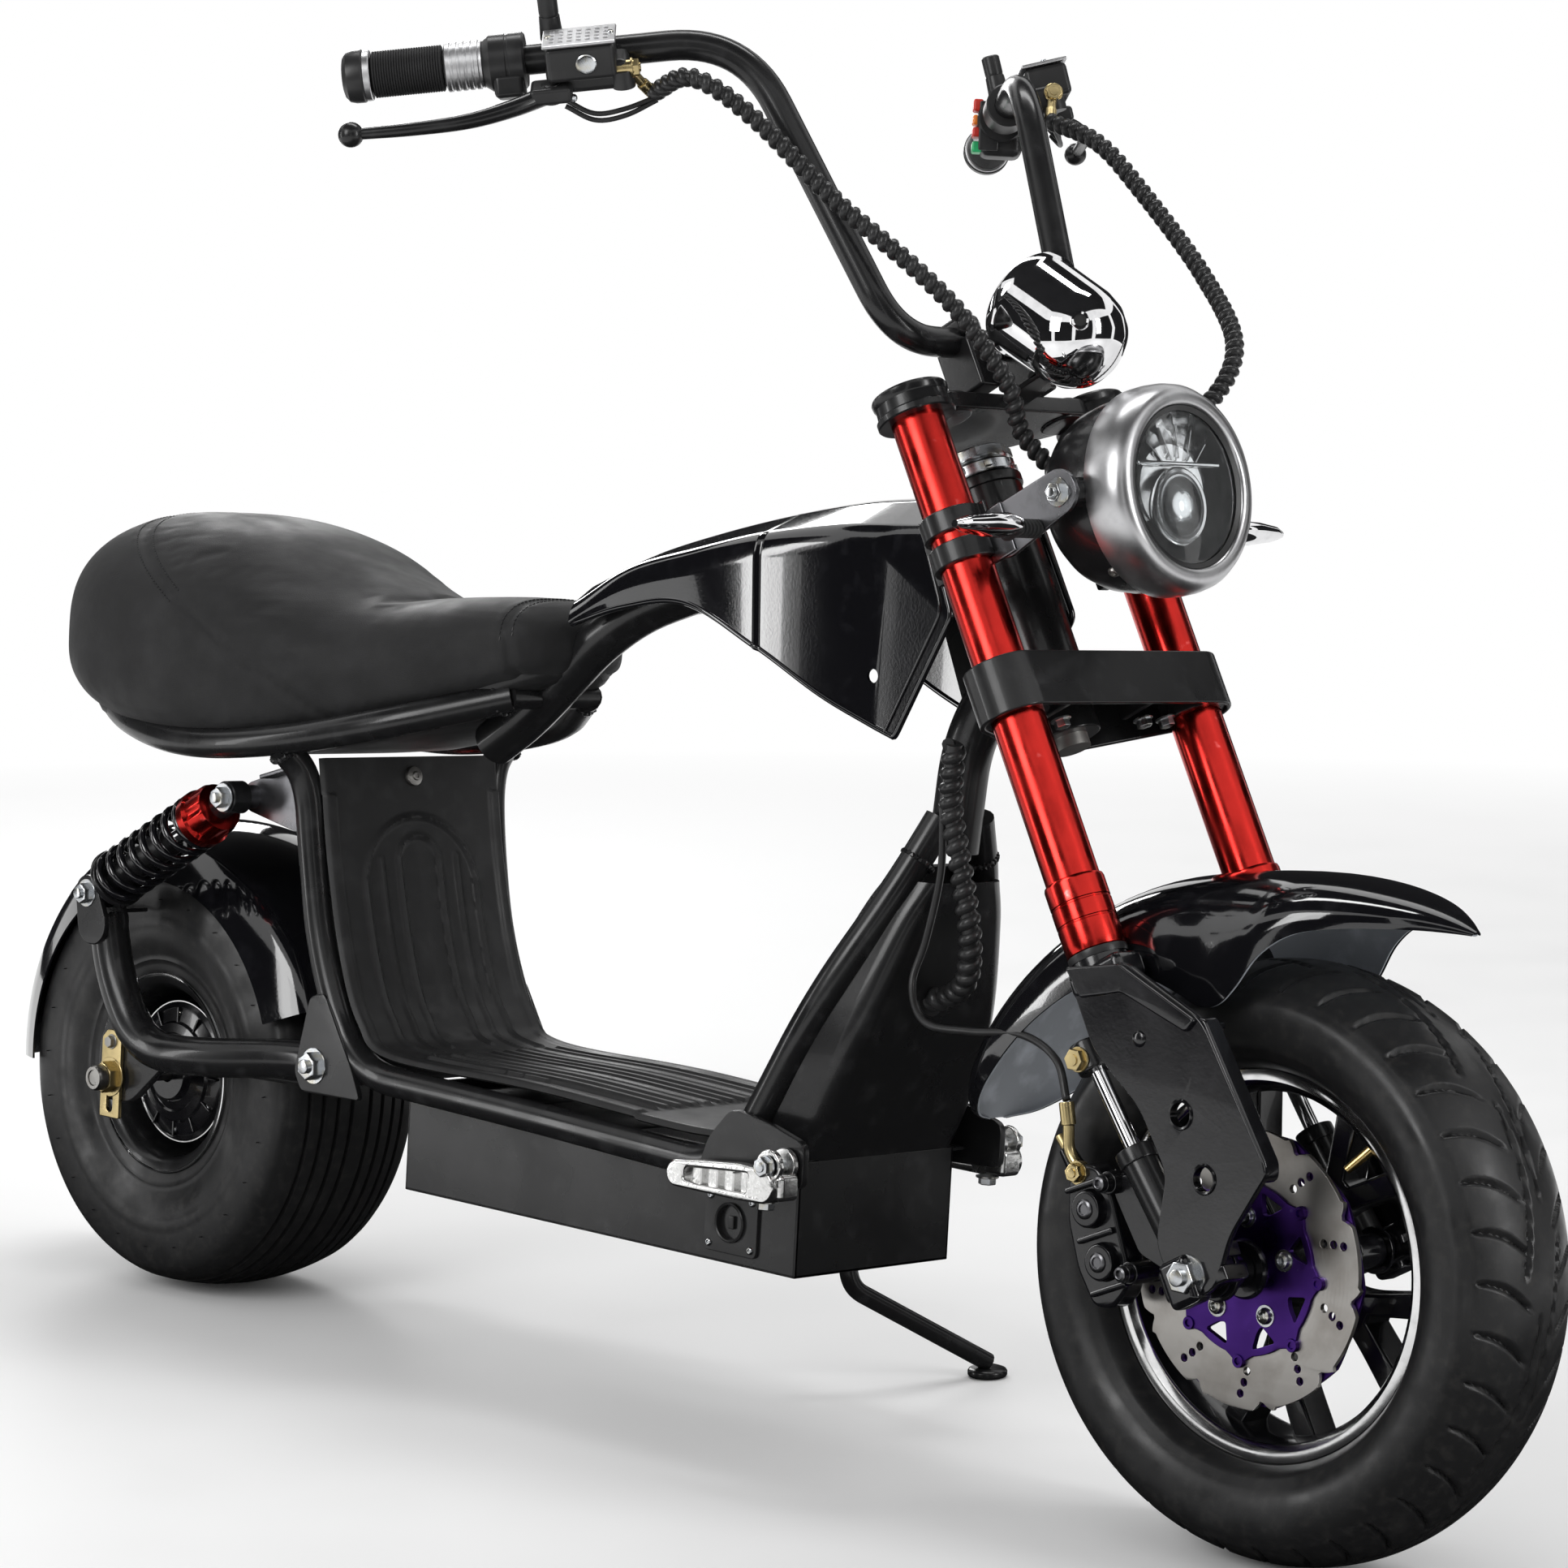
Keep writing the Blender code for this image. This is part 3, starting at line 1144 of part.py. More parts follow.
def headlight(group):
    """The headlight bucket, its silver bezel and its lens, on two ears."""
    frame = lamp_matrix()
    mouth = BUCKET_RADIUS
    bucket = [(0, -0.094), (0.030, -0.094), (0.055, -0.074), (0.068, -0.044), (mouth, -0.018),
              (mouth - 0.004, -0.018), (0.064, -0.044), (0.051, -0.071), (0.028, -0.090), (0, -0.090)]
    bosses = [rod((EAR_BOLT.x, side * 0.0655, EAR_BOLT.z), (EAR_BOLT.x, side * 0.0732, EAR_BOLT.z), 0.009, 12)
              for side in (-1, 1)]
    node("headlight_bucket", group, "satin_black", [turned(bucket, frame, LAMP_SIDES), *bosses])
    bezel = [(mouth + GAP, -0.030), (LAMP_RADIUS, -0.026), (LAMP_RADIUS, -0.002), (0.071, 0.006),
             (LENS_RADIUS + 0.001, 0.008), (LENS_RADIUS + GAP, -0.010), (mouth - 0.003, -0.0177),
             (mouth + GAP, -0.0177)]
    node("headlight_bezel", group, "chrome", [turned(bezel, frame, LAMP_SIDES, closed=True)])
    lens = [(0, 0.010), (0.040, 0.007), (LENS_RADIUS, 0.001), (LENS_RADIUS, -0.005),
            (0.040, 0.002), (0, 0.005)]
    node("headlight_lens", group, "clear_lens", [turned(lens, frame, LAMP_SIDES)])
    for side, label in ((-1, "right"), (1, "left")):
        ring_outer = FORK_TUBE_RADIUS + 0.004
        y = side * EAR_HALF_SPACING
        x, z = EAR_BOLT.x, EAR_BOLT.z
        clamp_x, clamp_z = FORK_OFFSET + 0.024, EAR_CLAMP_HEIGHT - 0.008
        outline = hull_outline([(x, z, 0.017), (clamp_x, clamp_z, 0.024)], 14)
        ear = plate(outline, 0.003, side_plane(y))
        ring = rod((FORK_OFFSET, side * FORK_HALF_SPACING, EAR_CLAMP_HEIGHT - 0.022),
                   (FORK_OFFSET, side * FORK_HALF_SPACING, EAR_CLAMP_HEIGHT + 0.022), ring_outer, FORK_SIDES)
        bolt = rod((x, side * 0.0735, z), (x, side * (EAR_HALF_SPACING + 0.008), z), 0.005, 10)
        head = rod((x, side * EAR_HALF_SPACING, z), (x, side * (EAR_HALF_SPACING + 0.008), z), 0.009, 8)
        along_ear = Vector((clamp_x - x, 0, clamp_z - z))
        below_ear = Vector((-along_ear.z, 0, along_ear.x)).normalized() * SIGNAL_STALK_DROP
        stalk_x = x + along_ear.x * 0.3 + below_ear.x
        stalk_z = z + along_ear.z * 0.3 + below_ear.z
        stalk = rod((stalk_x, y, stalk_z), (stalk_x, side * 0.118, stalk_z), 0.007, 10)
        blade = loft([[Vector((stalk_x + dx * s, side * py, stalk_z + dz * s)) for dx, dz in
                       ((-0.016, -0.004), (0.016, -0.006), (0.016, 0.006), (-0.016, 0.004))]
                      for py, s in ((0.112, 0.6), (0.122, 1.0), (0.170, 1.0), (SIGNAL_TIP_HALF_WIDTH, 0.6))])
        cuts = [rod((FORK_OFFSET, side * FORK_HALF_SPACING, EAR_CLAMP_HEIGHT - 0.05),
                    (FORK_OFFSET, side * FORK_HALF_SPACING, EAR_CLAMP_HEIGHT + 0.05),
                    FORK_TUBE_RADIUS + GAP, FORK_SIDES)]
        node(f"headlight_ear_{label}", group, "steel", [ear, ring, bolt, head, stalk, blade], cuts)


def speedometer(group):
    """The chrome speedometer pod on its bracket."""
    frame = along(POD_BASE, POD_FACE)
    profile = [(0, -0.004), (0.020, -0.003), (0.034, 0.004), (0.041, 0.018), (POD_RADIUS, 0.034),
               (POD_RADIUS, POD_DEPTH), (POD_RADIUS - 0.004, POD_DEPTH + 0.002),
               (POD_RADIUS - 0.006, POD_DEPTH - 0.002), (0, POD_DEPTH - 0.002)]
    node("speedometer", group, "chrome", [turned(profile, frame, 24)])


def pod_bracket():
    """The bracket under the top clamp that carries the speedometer."""
    axis = (POD_FACE - POD_BASE).normalized()
    pad = POD_BASE - axis * (0.004 + GAP)
    foot = POD_BASE - axis * 0.013
    low = TOP_CLAMP_BOTTOM - 0.001
    return [block((0.094, 0.026, 0.003), (0.090, 0, low), 0.0),
            rod(foot, pad, 0.015, 12),
            block((0.006, 0.026, foot.z - low + 0.004), (0.1345, 0, (foot.z + low) / 2 + 0.001), 0.0)]


LEG_OUTLINE = (
    # forward of the steering axis, along it
    (0.020, 0.232), (0.076, 0.216), (0.120, 0.154), (0.131, 0.042), (0.078, 0.010),
    (0.058, -0.016), (0.024, -0.016), (0.022, 0.030), (0.050, 0.075), (0.022, 0.165),
)


LEG_HOLES = ((0.100, 0.098), (0.102, 0.046))
LEG_HOLE_RADIUS = 0.0072


def fork_leg(label, side, group):
    """A lower fork leg: its side plate and front flange, its damper and axle clamp."""
    y = side * 0.113
    outline = [(x, z) for x, z in LEG_OUTLINE]
    pieces = [
        plate(outline, 0.005, side_plane(y)),
        rod((FORK_OFFSET, side * FORK_HALF_SPACING, FORK_BOTTOM - 0.030),
            (FORK_OFFSET, side * FORK_HALF_SPACING, FORK_BOTTOM - GAP), FORK_COLLAR_RADIUS - 0.002, FORK_SIDES),
        loft([[Vector((x + dx, py, z)) for dx, py in ((0, side * 0.0945), (0.004, side * 0.0945),
                                                      (0.004, y), (0, y))]
              for x, z in ((0.114, 0.156), (0.125, 0.040))]),
        rod((0.000, side * 0.099, 0.158), (0.030, side * 0.099, 0.020), 0.009, 12),
        block((0.044, 0.016, 0.020), (0.014, side * 0.104, 0.160)),
        block((0.036, 0.018, 0.034), (FORK_OFFSET, side * 0.1035, 0.0)),
    ]
    holes = [rod((x, -0.2, z), (x, 0.2, z), LEG_HOLE_RADIUS, 12) for x, z in LEG_HOLES]
    node(f"fork_leg_{label}", group, "satin_black", pieces,
         [rod((FORK_OFFSET, -0.2, 0), (FORK_OFFSET, 0.2, 0), AXLE_RADIUS + GAP, 12), *holes])


def front_axle(group):
    """The front axle with its bolt heads and spacers."""
    pieces = [rod((FORK_OFFSET, -0.120, 0), (FORK_OFFSET, 0.120, 0), AXLE_RADIUS, 12)]
    for side in (-1, 1):
        pieces.append(rod((FORK_OFFSET, side * 0.1165, 0), (FORK_OFFSET, side * 0.1240, 0), 0.012, 6))
        start = 0.0600
        pieces.append(rod((FORK_OFFSET, side * start, 0), (FORK_OFFSET, side * 0.0940, 0), FRONT_SPACER_RADIUS, 14))
    node("front_axle", group, "steel", pieces)


def brake_caliper(group):
    """The front caliper straddling the disc, on a bracket round the axle spacer."""
    centre = Vector((FORK_OFFSET - 0.062, -0.064, -0.050))
    body = block((0.052, 0.046, 0.078), centre, 0.005)
    bracket_y = -0.0865
    outline = hull_outline([(FORK_OFFSET, 0, 0.022), (centre.x + 0.010, centre.z + 0.010, 0.020)], 16)
    bracket = plate(outline, 0.004, side_plane(bracket_y))
    slot = rod((FORK_OFFSET, DISC_Y - 0.006, 0), (FORK_OFFSET, DISC_Y + 0.006, 0), DISC_RADIUS + 0.006, 28)
    wheel_side = rod((FORK_OFFSET, DISC_Y + 0.005, 0), (FORK_OFFSET, 0, 0), 0.2, 12)
    axle = rod((FORK_OFFSET, -0.2, 0), (FORK_OFFSET, -0.06, 0), FRONT_SPACER_RADIUS + GAP, 14)
    node("brake_caliper", group, "satin_black", [body, bracket], [slot, wheel_side, axle])


def front_fender(group):
    """The mudguard between the fork legs."""
    centre = steered((WHEELBASE, 0, FRONT_AXLE_HEIGHT))
    sheet = fender(centre, FRONT_FENDER_RADIUS, FRONT_FENDER_HALF_WIDTH,
                   math.radians(64) - RAKE, math.radians(165) - RAKE, 0.014)
    ears = []
    for side in (-1, 1):
        ears.append(plate([(0.070, 0.190), (0.108, 0.142), (0.124, 0.142), (0.126, 0.245), (0.050, 0.245)],
                          0.003, side_plane(side * 0.0705)))
        ears.append(block((0.006, 0.0247, 0.010), (0.1166, side * 0.08185, 0.149)))
    node("front_fender", group, "gloss_black", [sheet, *ears])


# Cables

BUNDLE_RADIUS = 0.0068
BUNDLE_ROUTES = {
    -1: ((0.735, -0.205, 1.012), (0.770, -0.175, 0.985), (0.820, -0.140, 0.930), (0.868, -0.105, 0.885),
         (0.895, -0.078, 0.850), (0.915, -0.050, 0.805), (0.918, -0.034, 0.770)),
    1: ((0.755, 0.215, 1.000), (0.800, 0.215, 0.965), (0.880, 0.200, 0.900), (0.945, 0.165, 0.845),
        (0.955, 0.125, 0.800), (0.935, 0.080, 0.775), (0.917, 0.040, 0.757)),
}


def cables(frame, steering):
    """The wrapped bundles from the bar to the lamp and the harness down to the battery."""
    for side, label in ((-1, "right"), (1, "left")):
        lever, lamp = lever_frame(side), lamp_matrix()
        start = HOSE_END - Vector((0, 0, GAP))
        ends = [lamp @ Vector((-0.010, side * 0.015, -0.094 - reach)) for reach in (0.020, GAP)]
        middle = [lever @ (start - Vector((0, 0, 0.012))), *(steered(point) for point in BUNDLE_ROUTES[side]), ends[0]]
        route = [lever @ start, *smooth_route(middle, 2), ends[1]]
        node(f"cable_bundle_{label}", steering, "black_plastic", [pipe(route, BUNDLE_RADIUS)])
    node("frame_harness", frame, "black_plastic", [pipe(HARNESS_ROUTE, HARNESS_RADIUS)])


def main():
    """Build the bike, lean it onto its stand and put the origin under its middle."""
    bike = frame_empty("bike", None, Matrix.Identity(4))
    steering = frame_empty("steering", bike, STEERING)
    front = frame_empty("front_wheel", steering, Matrix.Translation((FORK_OFFSET, 0, 0)) @ Matrix.Rotation(RAKE, 4, "Y"))
    rear = frame_empty("rear_wheel", bike, Matrix.Translation((0, 0, REAR_AXLE_HEIGHT)))
    stand = frame_empty("stand", bike, stand_matrix())
    frame_tubes(bike)
    battery_tray(bike)
    footboard(bike)
    front_shield(bike)
    body_cover(bike)
    seat(bike)
    swing_arm(bike)
    rear_axle(bike)
    rear_fender(bike)
    side_stand(stand)
    for label, side in (("right", -1), ("left", 1)):
        shock(label, side, bike)
        foot_peg(label, side, bike)
        fork_tube(label, side, steering)
        fork_leg(label, side, steering)
    rear_wheel(rear)
    front_wheel(front)
    clamps(steering)
    handlebar(steering)
    brake_lever("right", -1, steering)
    brake_lever("left", 1, steering)
    headlight(steering)
    speedometer(steering)
    front_axle(steering)
    brake_caliper(steering)
    front_fender(steering)
    cables(bike, steering)
    lean(bike)


def lean(bike):
    """Lean the bike onto its stand, with the origin under the middle of its outer box."""
    bike.matrix_local = Matrix.Rotation(-LEAN, 4, "X")
    bpy.context.view_layer.update()
    corners = [obj.matrix_world @ vertex.co for obj in PARTS.objects if obj.type == "MESH"
               for vertex in obj.data.vertices]
    middle = [(min(c[i] for c in corners) + max(c[i] for c in corners)) / 2 for i in (0, 1)]
    bottom = min(c[2] for c in corners)
    bike.matrix_local = Matrix.Translation((-middle[0], -middle[1], -bottom)) @ Matrix.Rotation(-LEAN, 4, "X")
    bpy.context.view_layer.update()


for old in list(bpy.data.objects):
    bpy.data.objects.remove(old, do_unlink=True)
PARTS = bpy.data.collections.new("electric_scooter")
bpy.context.scene.collection.children.link(PARTS)
main()
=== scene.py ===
"""Looks of a small electric scooter, laid out as an add-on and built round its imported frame."""

import json
import math

import bmesh
import bpy
from bpy.props import FloatProperty, FloatVectorProperty, IntProperty, PointerProperty
from mathutils import Matrix, Vector, noise
from mathutils.bvhtree import BVHTree


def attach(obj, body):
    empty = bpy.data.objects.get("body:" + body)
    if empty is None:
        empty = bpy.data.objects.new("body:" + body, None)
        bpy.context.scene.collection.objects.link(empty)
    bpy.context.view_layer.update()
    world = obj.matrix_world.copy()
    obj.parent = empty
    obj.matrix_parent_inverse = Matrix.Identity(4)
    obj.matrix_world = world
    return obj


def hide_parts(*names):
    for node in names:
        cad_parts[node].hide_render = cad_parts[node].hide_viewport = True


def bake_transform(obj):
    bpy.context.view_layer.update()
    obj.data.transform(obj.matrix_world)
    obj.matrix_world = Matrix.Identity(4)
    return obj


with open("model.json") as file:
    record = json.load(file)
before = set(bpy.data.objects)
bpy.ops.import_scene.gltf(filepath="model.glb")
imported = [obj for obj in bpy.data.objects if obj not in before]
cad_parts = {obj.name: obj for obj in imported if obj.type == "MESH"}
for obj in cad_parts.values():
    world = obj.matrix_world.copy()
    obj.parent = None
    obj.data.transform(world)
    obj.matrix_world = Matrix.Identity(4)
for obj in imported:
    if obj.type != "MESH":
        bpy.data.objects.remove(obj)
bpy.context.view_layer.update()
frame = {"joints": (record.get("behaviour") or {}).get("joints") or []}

bl_info = {
    "name": "Electric Scooter",
    "version": (1, 0, 0),
    "blender": (4, 5, 0),
    "location": "View3D > Sidebar > Scooter",
    "description": "Builds the finished pieces of a small electric scooter round its solid frame",
    "category": "Add Mesh",
}


# The frame's own places

JOINTS = {joint["name"]: joint for joint in frame["joints"]}


def frame_matrix(origin, x, y, z):
    """Matrix with these columns."""
    turn = Matrix((x, y, z)).transposed().to_4x4()
    return Matrix.Translation(origin) @ turn


def joint_place(name):
    """A joint's point and the direction of its axis."""
    joint = JOINTS[name]
    return Vector(joint["pos_m"]), Vector(joint["axis"]).normalized()


REAR_CENTRE, LEFT = joint_place("rear_wheel_spin")
FRONT_CENTRE = joint_place("front_wheel_spin")[0]
STEERING_FOOT, STEERING_AXIS = joint_place("steering_head")
STAND_AXIS = joint_place("stand_fold")[1]
FORWARD = Vector((1, 0, 0))
UP = FORWARD.cross(LEFT)
BIKE = frame_matrix(REAR_CENTRE - UP * (REAR_CENTRE.z / UP.z), FORWARD, LEFT, UP)
FRONT_WHEEL = frame_matrix(FRONT_CENTRE, FORWARD, LEFT, UP)
REAR_WHEEL = frame_matrix(REAR_CENTRE, FORWARD, LEFT, UP)
STEERING = frame_matrix(STEERING_FOOT, LEFT.cross(STEERING_AXIS), LEFT, STEERING_AXIS)
INTO_BIKE, INTO_STEERING = BIKE.inverted(), STEERING.inverted()
AXLE_IN_STEERING = STEERING @ Matrix.Translation(INTO_STEERING @ FRONT_CENTRE)
STAND_OUT = (INTO_BIKE.to_3x3() @ STAND_AXIS).normalized()
STAND_OUT = STAND_OUT if STAND_OUT.y > 0 else -STAND_OUT
ABOUT_Y = Matrix.Rotation(-math.pi / 2, 4, "X")
SIDES = ((-1, "right"), (1, "left"))
# The frame in which each body's pieces are drawn, unless a piece names its own place
PLACES = {"frame": BIKE, "steering": STEERING, "front_wheel": FRONT_WHEEL, "rear_wheel": REAR_WHEEL,
          "stand": BIKE}

# Sizes shared by several pieces, in metres
FORK_OFFSET = 0.040
FORK_SPACING = 0.097
FORK_RADIUS = 0.0195
DISC_Y = -0.052
REAR_AXLE_Z = (INTO_BIKE @ REAR_CENTRE).z
FRONT_AXLE = INTO_BIKE @ FRONT_CENTRE
TUBE_RADIUS = 0.0125
FRONT_TYRE_RADIUS = 0.2103
REAR_TYRE_RADIUS = 0.1864
BACKBONE_RADIUS = 0.019
# Each tread's half width and the radius of its crown; the front one's cuts start at a share of the half width
FRONT_TREAD = 0.053
FRONT_CROWN = 0.085
SIPE_START = 0.24
REAR_CROWN = 0.200
# How far each lever set is turned about its grip
LEVER_TILTS = {-1: math.radians(-24), 1: math.radians(16)}
# The holes through each fork leg, ahead of and above the front axle in the steering frame
LEG_HOLES = ((0.0790, 0.102), (0.0800, 0.055))
# The speedometer pod's lower end and its face, in the steering frame
POD_BASE, POD_FACE = Vector((0.1440, 0, 0.6480)), Vector((0.0950, 0, 0.7180))
# The stand's pin in the bike's frame, and where its foot meets the ground
STAND_PIN = Vector((0.655, 0.104, 0.128))
STAND_SPOT = Vector((0.700, 0.232, 0.0))


# Settings

class ScooterColours(bpy.types.PropertyGroup):
    """Colours of the scooter's paints and metals."""

    gloss: FloatVectorProperty(name="Gloss paint", description="Cover and mudguards", subtype="COLOR",
                               default=(0.004, 0.004, 0.005))
    satin: FloatVectorProperty(name="Satin paint", description="Frame tubes and brackets", subtype="COLOR",
                               default=(0.009, 0.009, 0.0095))
    plastic: FloatVectorProperty(name="Moulded plastic", description="Footboard and switches",
                                 subtype="COLOR", default=(0.017, 0.017, 0.0175))
    leather: FloatVectorProperty(name="Seat leather", description="Seat cover", subtype="COLOR",
                                 default=(0.011, 0.011, 0.0115))
    rubber: FloatVectorProperty(name="Rubber", description="Tyres and grips", subtype="COLOR",
                                default=(0.011, 0.011, 0.0115))
    fork: FloatVectorProperty(name="Fork red", description="Anodised fork tubes", subtype="COLOR",
                              default=(0.60, 0.030, 0.024))
    carrier: FloatVectorProperty(name="Carrier purple", description="Anodised disc carrier", subtype="COLOR",
                                 default=(0.090, 0.032, 0.260))


class ScooterSizes(bpy.types.PropertyGroup):
    """Sizes of the scooter's finer forms."""

    sipes: IntProperty(name="Front sipes", description="Tread cuts on each side of the front tyre",
                       default=36, min=8)
    groove: FloatProperty(name="Groove depth", description="Depth of the tread grooves", default=0.0038,
                          unit="LENGTH")
    disc_lobes: IntProperty(name="Disc lobes", description="Waves round the brake disc", default=10, min=3)
    spring_turns: IntProperty(name="Spring turns", description="Turns of each rear spring", default=8, min=3)
    stitch: FloatProperty(name="Stitch pitch", description="Length of one stitch and its gap on the seat",
                          default=0.0042, unit="LENGTH")
    wrap: FloatProperty(name="Wrap pitch", description="Pitch of the spiral wrap on the cable bundles",
                        default=0.0090, unit="LENGTH")
    puff: FloatProperty(name="Seat puff", description="How far the padded seat may swell", default=0.010,
                        unit="LENGTH")


class ScooterStage(bpy.types.PropertyGroup):
    """Camera and studio."""

    lens: FloatProperty(name="Lens", description="Focal length of the camera on a 36 mm sensor",
                        default=107.42, unit="CAMERA")
    distance: FloatProperty(name="Distance", description="Camera to the middle of the scooter", default=3.581,
                            unit="LENGTH")
    azimuth: FloatProperty(name="Azimuth", description="Camera's turn round the scooter", subtype="ANGLE",
                           default=math.radians(44.458))
    height_angle: FloatProperty(name="Height angle", description="Camera's height above the scooter's level",
                                subtype="ANGLE", default=math.radians(4.293))
    roll: FloatProperty(name="Roll", description="Camera's roll against the leaning scooter", subtype="ANGLE",
                        default=math.radians(3.068))
    floor_radius: FloatProperty(name="Floor radius", description="Radius of the studio floor", default=4.5,
                                unit="LENGTH")


# Materials

class Look:
    """A material under construction: its shader and short ways to its patterns."""

    def __init__(self, name, colour, roughness, metallic=0.0):
        self.material = bpy.data.materials.new(name)
        self.material.use_nodes = True
        self.tree = self.material.node_tree
        self.shader = self.tree.nodes["Principled BSDF"]
        self.coordinates = self.tree.nodes.new("ShaderNodeTexCoord").outputs["Object"]
        self.colour = tuple(colour)
        self.roughness = roughness
        self.set("Base Color", (*self.colour, 1.0))
        self.set("Roughness", roughness)
        self.set("Metallic", metallic)
        self.material.diffuse_color = (*self.colour, 1.0)

    def set(self, socket, value):
        self.shader.inputs[socket].default_value = value

    def add(self, kind, inputs=(), **settings):
        """A node with its settings and its inputs, each a value or another node's output."""
        made = self.tree.nodes.new(kind)
        for name, value in settings.items():
            setattr(made, name, value)
        for key, value in inputs:
            if isinstance(value, bpy.types.NodeSocket):
                self.tree.links.new(value, made.inputs[key])
            else:
                made.inputs[key].default_value = value
        return made

    def cloud(self, scale, detail=3.0):
        """Soft noise."""
        made = self.add("ShaderNodeTexNoise",
                        [("Vector", self.coordinates), ("Scale", scale), ("Detail", detail)])
        return made.outputs["Fac"]

    def spread(self, value, low, high, start=0.35, end=0.65):
        """A value carried over to a range."""
        made = self.add("ShaderNodeMapRange", [("Value", value), ("From Min", start), ("From Max", end),
                                               ("To Min", low), ("To Max", high)])
        return made.outputs["Result"]

    def tint(self, value, other, start=0.4, end=0.7):
        """Mix the base colour with another where a value is high."""
        share = self.spread(value, 0.0, 1.0, start, end)
        mix = self.add("ShaderNodeMix", data_type="RGBA")
        self.tree.links.new(share, mix.inputs["Factor"])
        before = self.shader.inputs["Base Color"]
        if before.is_linked:
            self.tree.links.new(before.links[0].from_socket, mix.inputs["A"])
        else:
            mix.inputs["A"].default_value = (*self.colour, 1.0)
        mix.inputs["B"].default_value = (*other, 1.0)
        self.tree.links.new(mix.outputs["Result"], before)

    def gloss(self, value, low, high, start=0.35, end=0.65):
        """Vary the roughness with a value."""
        self.tree.links.new(self.spread(value, low, high, start, end), self.shader.inputs["Roughness"])

    def relief(self, value, strength, distance=0.001):
        """Add a fine relief to the surface, on top of any before."""
        socket = self.shader.inputs["Normal"]
        made = self.add("ShaderNodeBump", [("Height", value), ("Strength", strength), ("Distance", distance)])
        if socket.is_linked:
            self.tree.links.new(socket.links[0].from_socket, made.inputs["Normal"])
        self.tree.links.new(made.outputs["Normal"], socket)

    def cells(self, scale, feature="F1"):
        """Cell pattern, such as a grain."""
        made = self.add("ShaderNodeTexVoronoi", [("Vector", self.coordinates), ("Scale", scale)],
                        feature=feature)
        return made.outputs["Distance"]


LOOKS = {}


def keep(name, look):
    """Store a finished material under its plain name."""
    LOOKS[name] = look.material
    return look


def painted(name, colour, roughness, coat=0.0):
    """Sprayed paint: faint unevenness, rubbed patches and dust."""
    look = keep(name, Look(name, colour, roughness))
    look.gloss(look.cloud(14, 5), roughness * 0.8, roughness * 1.35)
    look.tint(look.cloud(60, 6), tuple(c * 2.2 + 0.004 for c in colour), 0.55, 0.85)
    look.relief(look.cloud(420, 2), 0.05, 0.0006)
    look.relief(look.cloud(1500, 1), 0.04, 0.0003)
    look.set("Specular IOR Level", 0.5 if coat > 0.3 else 0.38)
    if coat:
        look.set("Coat Weight", coat)
        look.set("Coat Roughness", 0.03)
    return look


def metal(name, colour, roughness, relief=0.05, scale=300.0, spread=0.35):
    """Bare or plated metal with smudges and a fine surface."""
    look = keep(name, Look(name, colour, roughness, 1.0))
    look.gloss(look.cloud(25, 5), roughness * (1 - spread), roughness * (1 + spread))
    look.tint(look.cloud(90, 5), tuple(c * 0.78 for c in colour), 0.5, 0.8)
    look.relief(look.cloud(scale, 4), relief, 0.0006)
    return look


def moulded(name, colour, roughness, grain=900.0, relief=0.12):
    """Moulded plastic or rubber with a fine spark-eroded grain."""
    look = keep(name, Look(name, colour, roughness))
    look.gloss(look.cloud(18, 5), roughness * 0.85, min(1.0, roughness * 1.15))
    look.tint(look.cloud(45, 6), tuple(c * 1.7 + 0.004 for c in colour), 0.5, 0.85)
    look.relief(look.cells(grain), relief, 0.0004)
    look.set("Specular IOR Level", 0.38)


def leather():
    """Grained seat leather: fine pebbles, soft creases and a dull sheen."""
    look = keep("seat_leather", Look("seat_leather", settings().colours.leather, 0.58))
    look.gloss(look.cloud(22, 5), 0.50, 0.68)
    look.tint(look.cloud(35, 6), (0.017, 0.017, 0.018), 0.45, 0.80)
    look.set("Specular IOR Level", 0.24)
    look.relief(look.cells(620, "DISTANCE_TO_EDGE"), 0.30, 0.0005)
    look.relief(look.cloud(110, 5), 0.10, 0.0010)
    look.set("Sheen Weight", 0.06)
    look.set("Sheen Roughness", 0.5)


def tyre_rubber():
    """Tyre rubber with dust and scuffed patches."""
    look = keep("tyre_rubber", Look("tyre_rubber", settings().colours.rubber, 0.55))
    look.gloss(look.cloud(30, 6), 0.28, 0.50)
    look.tint(look.cloud(16, 8), (0.038, 0.037, 0.035), 0.60, 0.88)
    look.tint(look.cloud(130, 6), (0.022, 0.021, 0.020), 0.50, 0.80)
    look.set("Specular IOR Level", 0.44)
    look.relief(look.cloud(500, 5), 0.10, 0.0005)


def brushed_disc():
    """Ground disc steel, its fine lines running round the wheel."""
    look = keep("disc_steel", Look("disc_steel", (0.55, 0.53, 0.50), 0.34, 1.0))
    turn = FRONT_WHEEL.inverted()
    place = look.add("ShaderNodeMapping", [("Vector", look.coordinates), ("Location", turn.translation),
                                           ("Rotation", turn.to_euler())])
    rings = look.add("ShaderNodeTexWave", [("Vector", place.outputs[0]), ("Scale", 95.0), ("Distortion", 1.5),
                                           ("Detail", 2.0)], wave_type="RINGS", rings_direction="Y")
    look.gloss(rings.outputs["Fac"], 0.30, 0.34, 0.0, 1.0)
    look.relief(rings.outputs["Fac"], 0.006, 0.0002)
    look.tint(look.cloud(28, 5), (0.36, 0.33, 0.30), 0.45, 0.75)
    look.set("Anisotropic", 0.5)


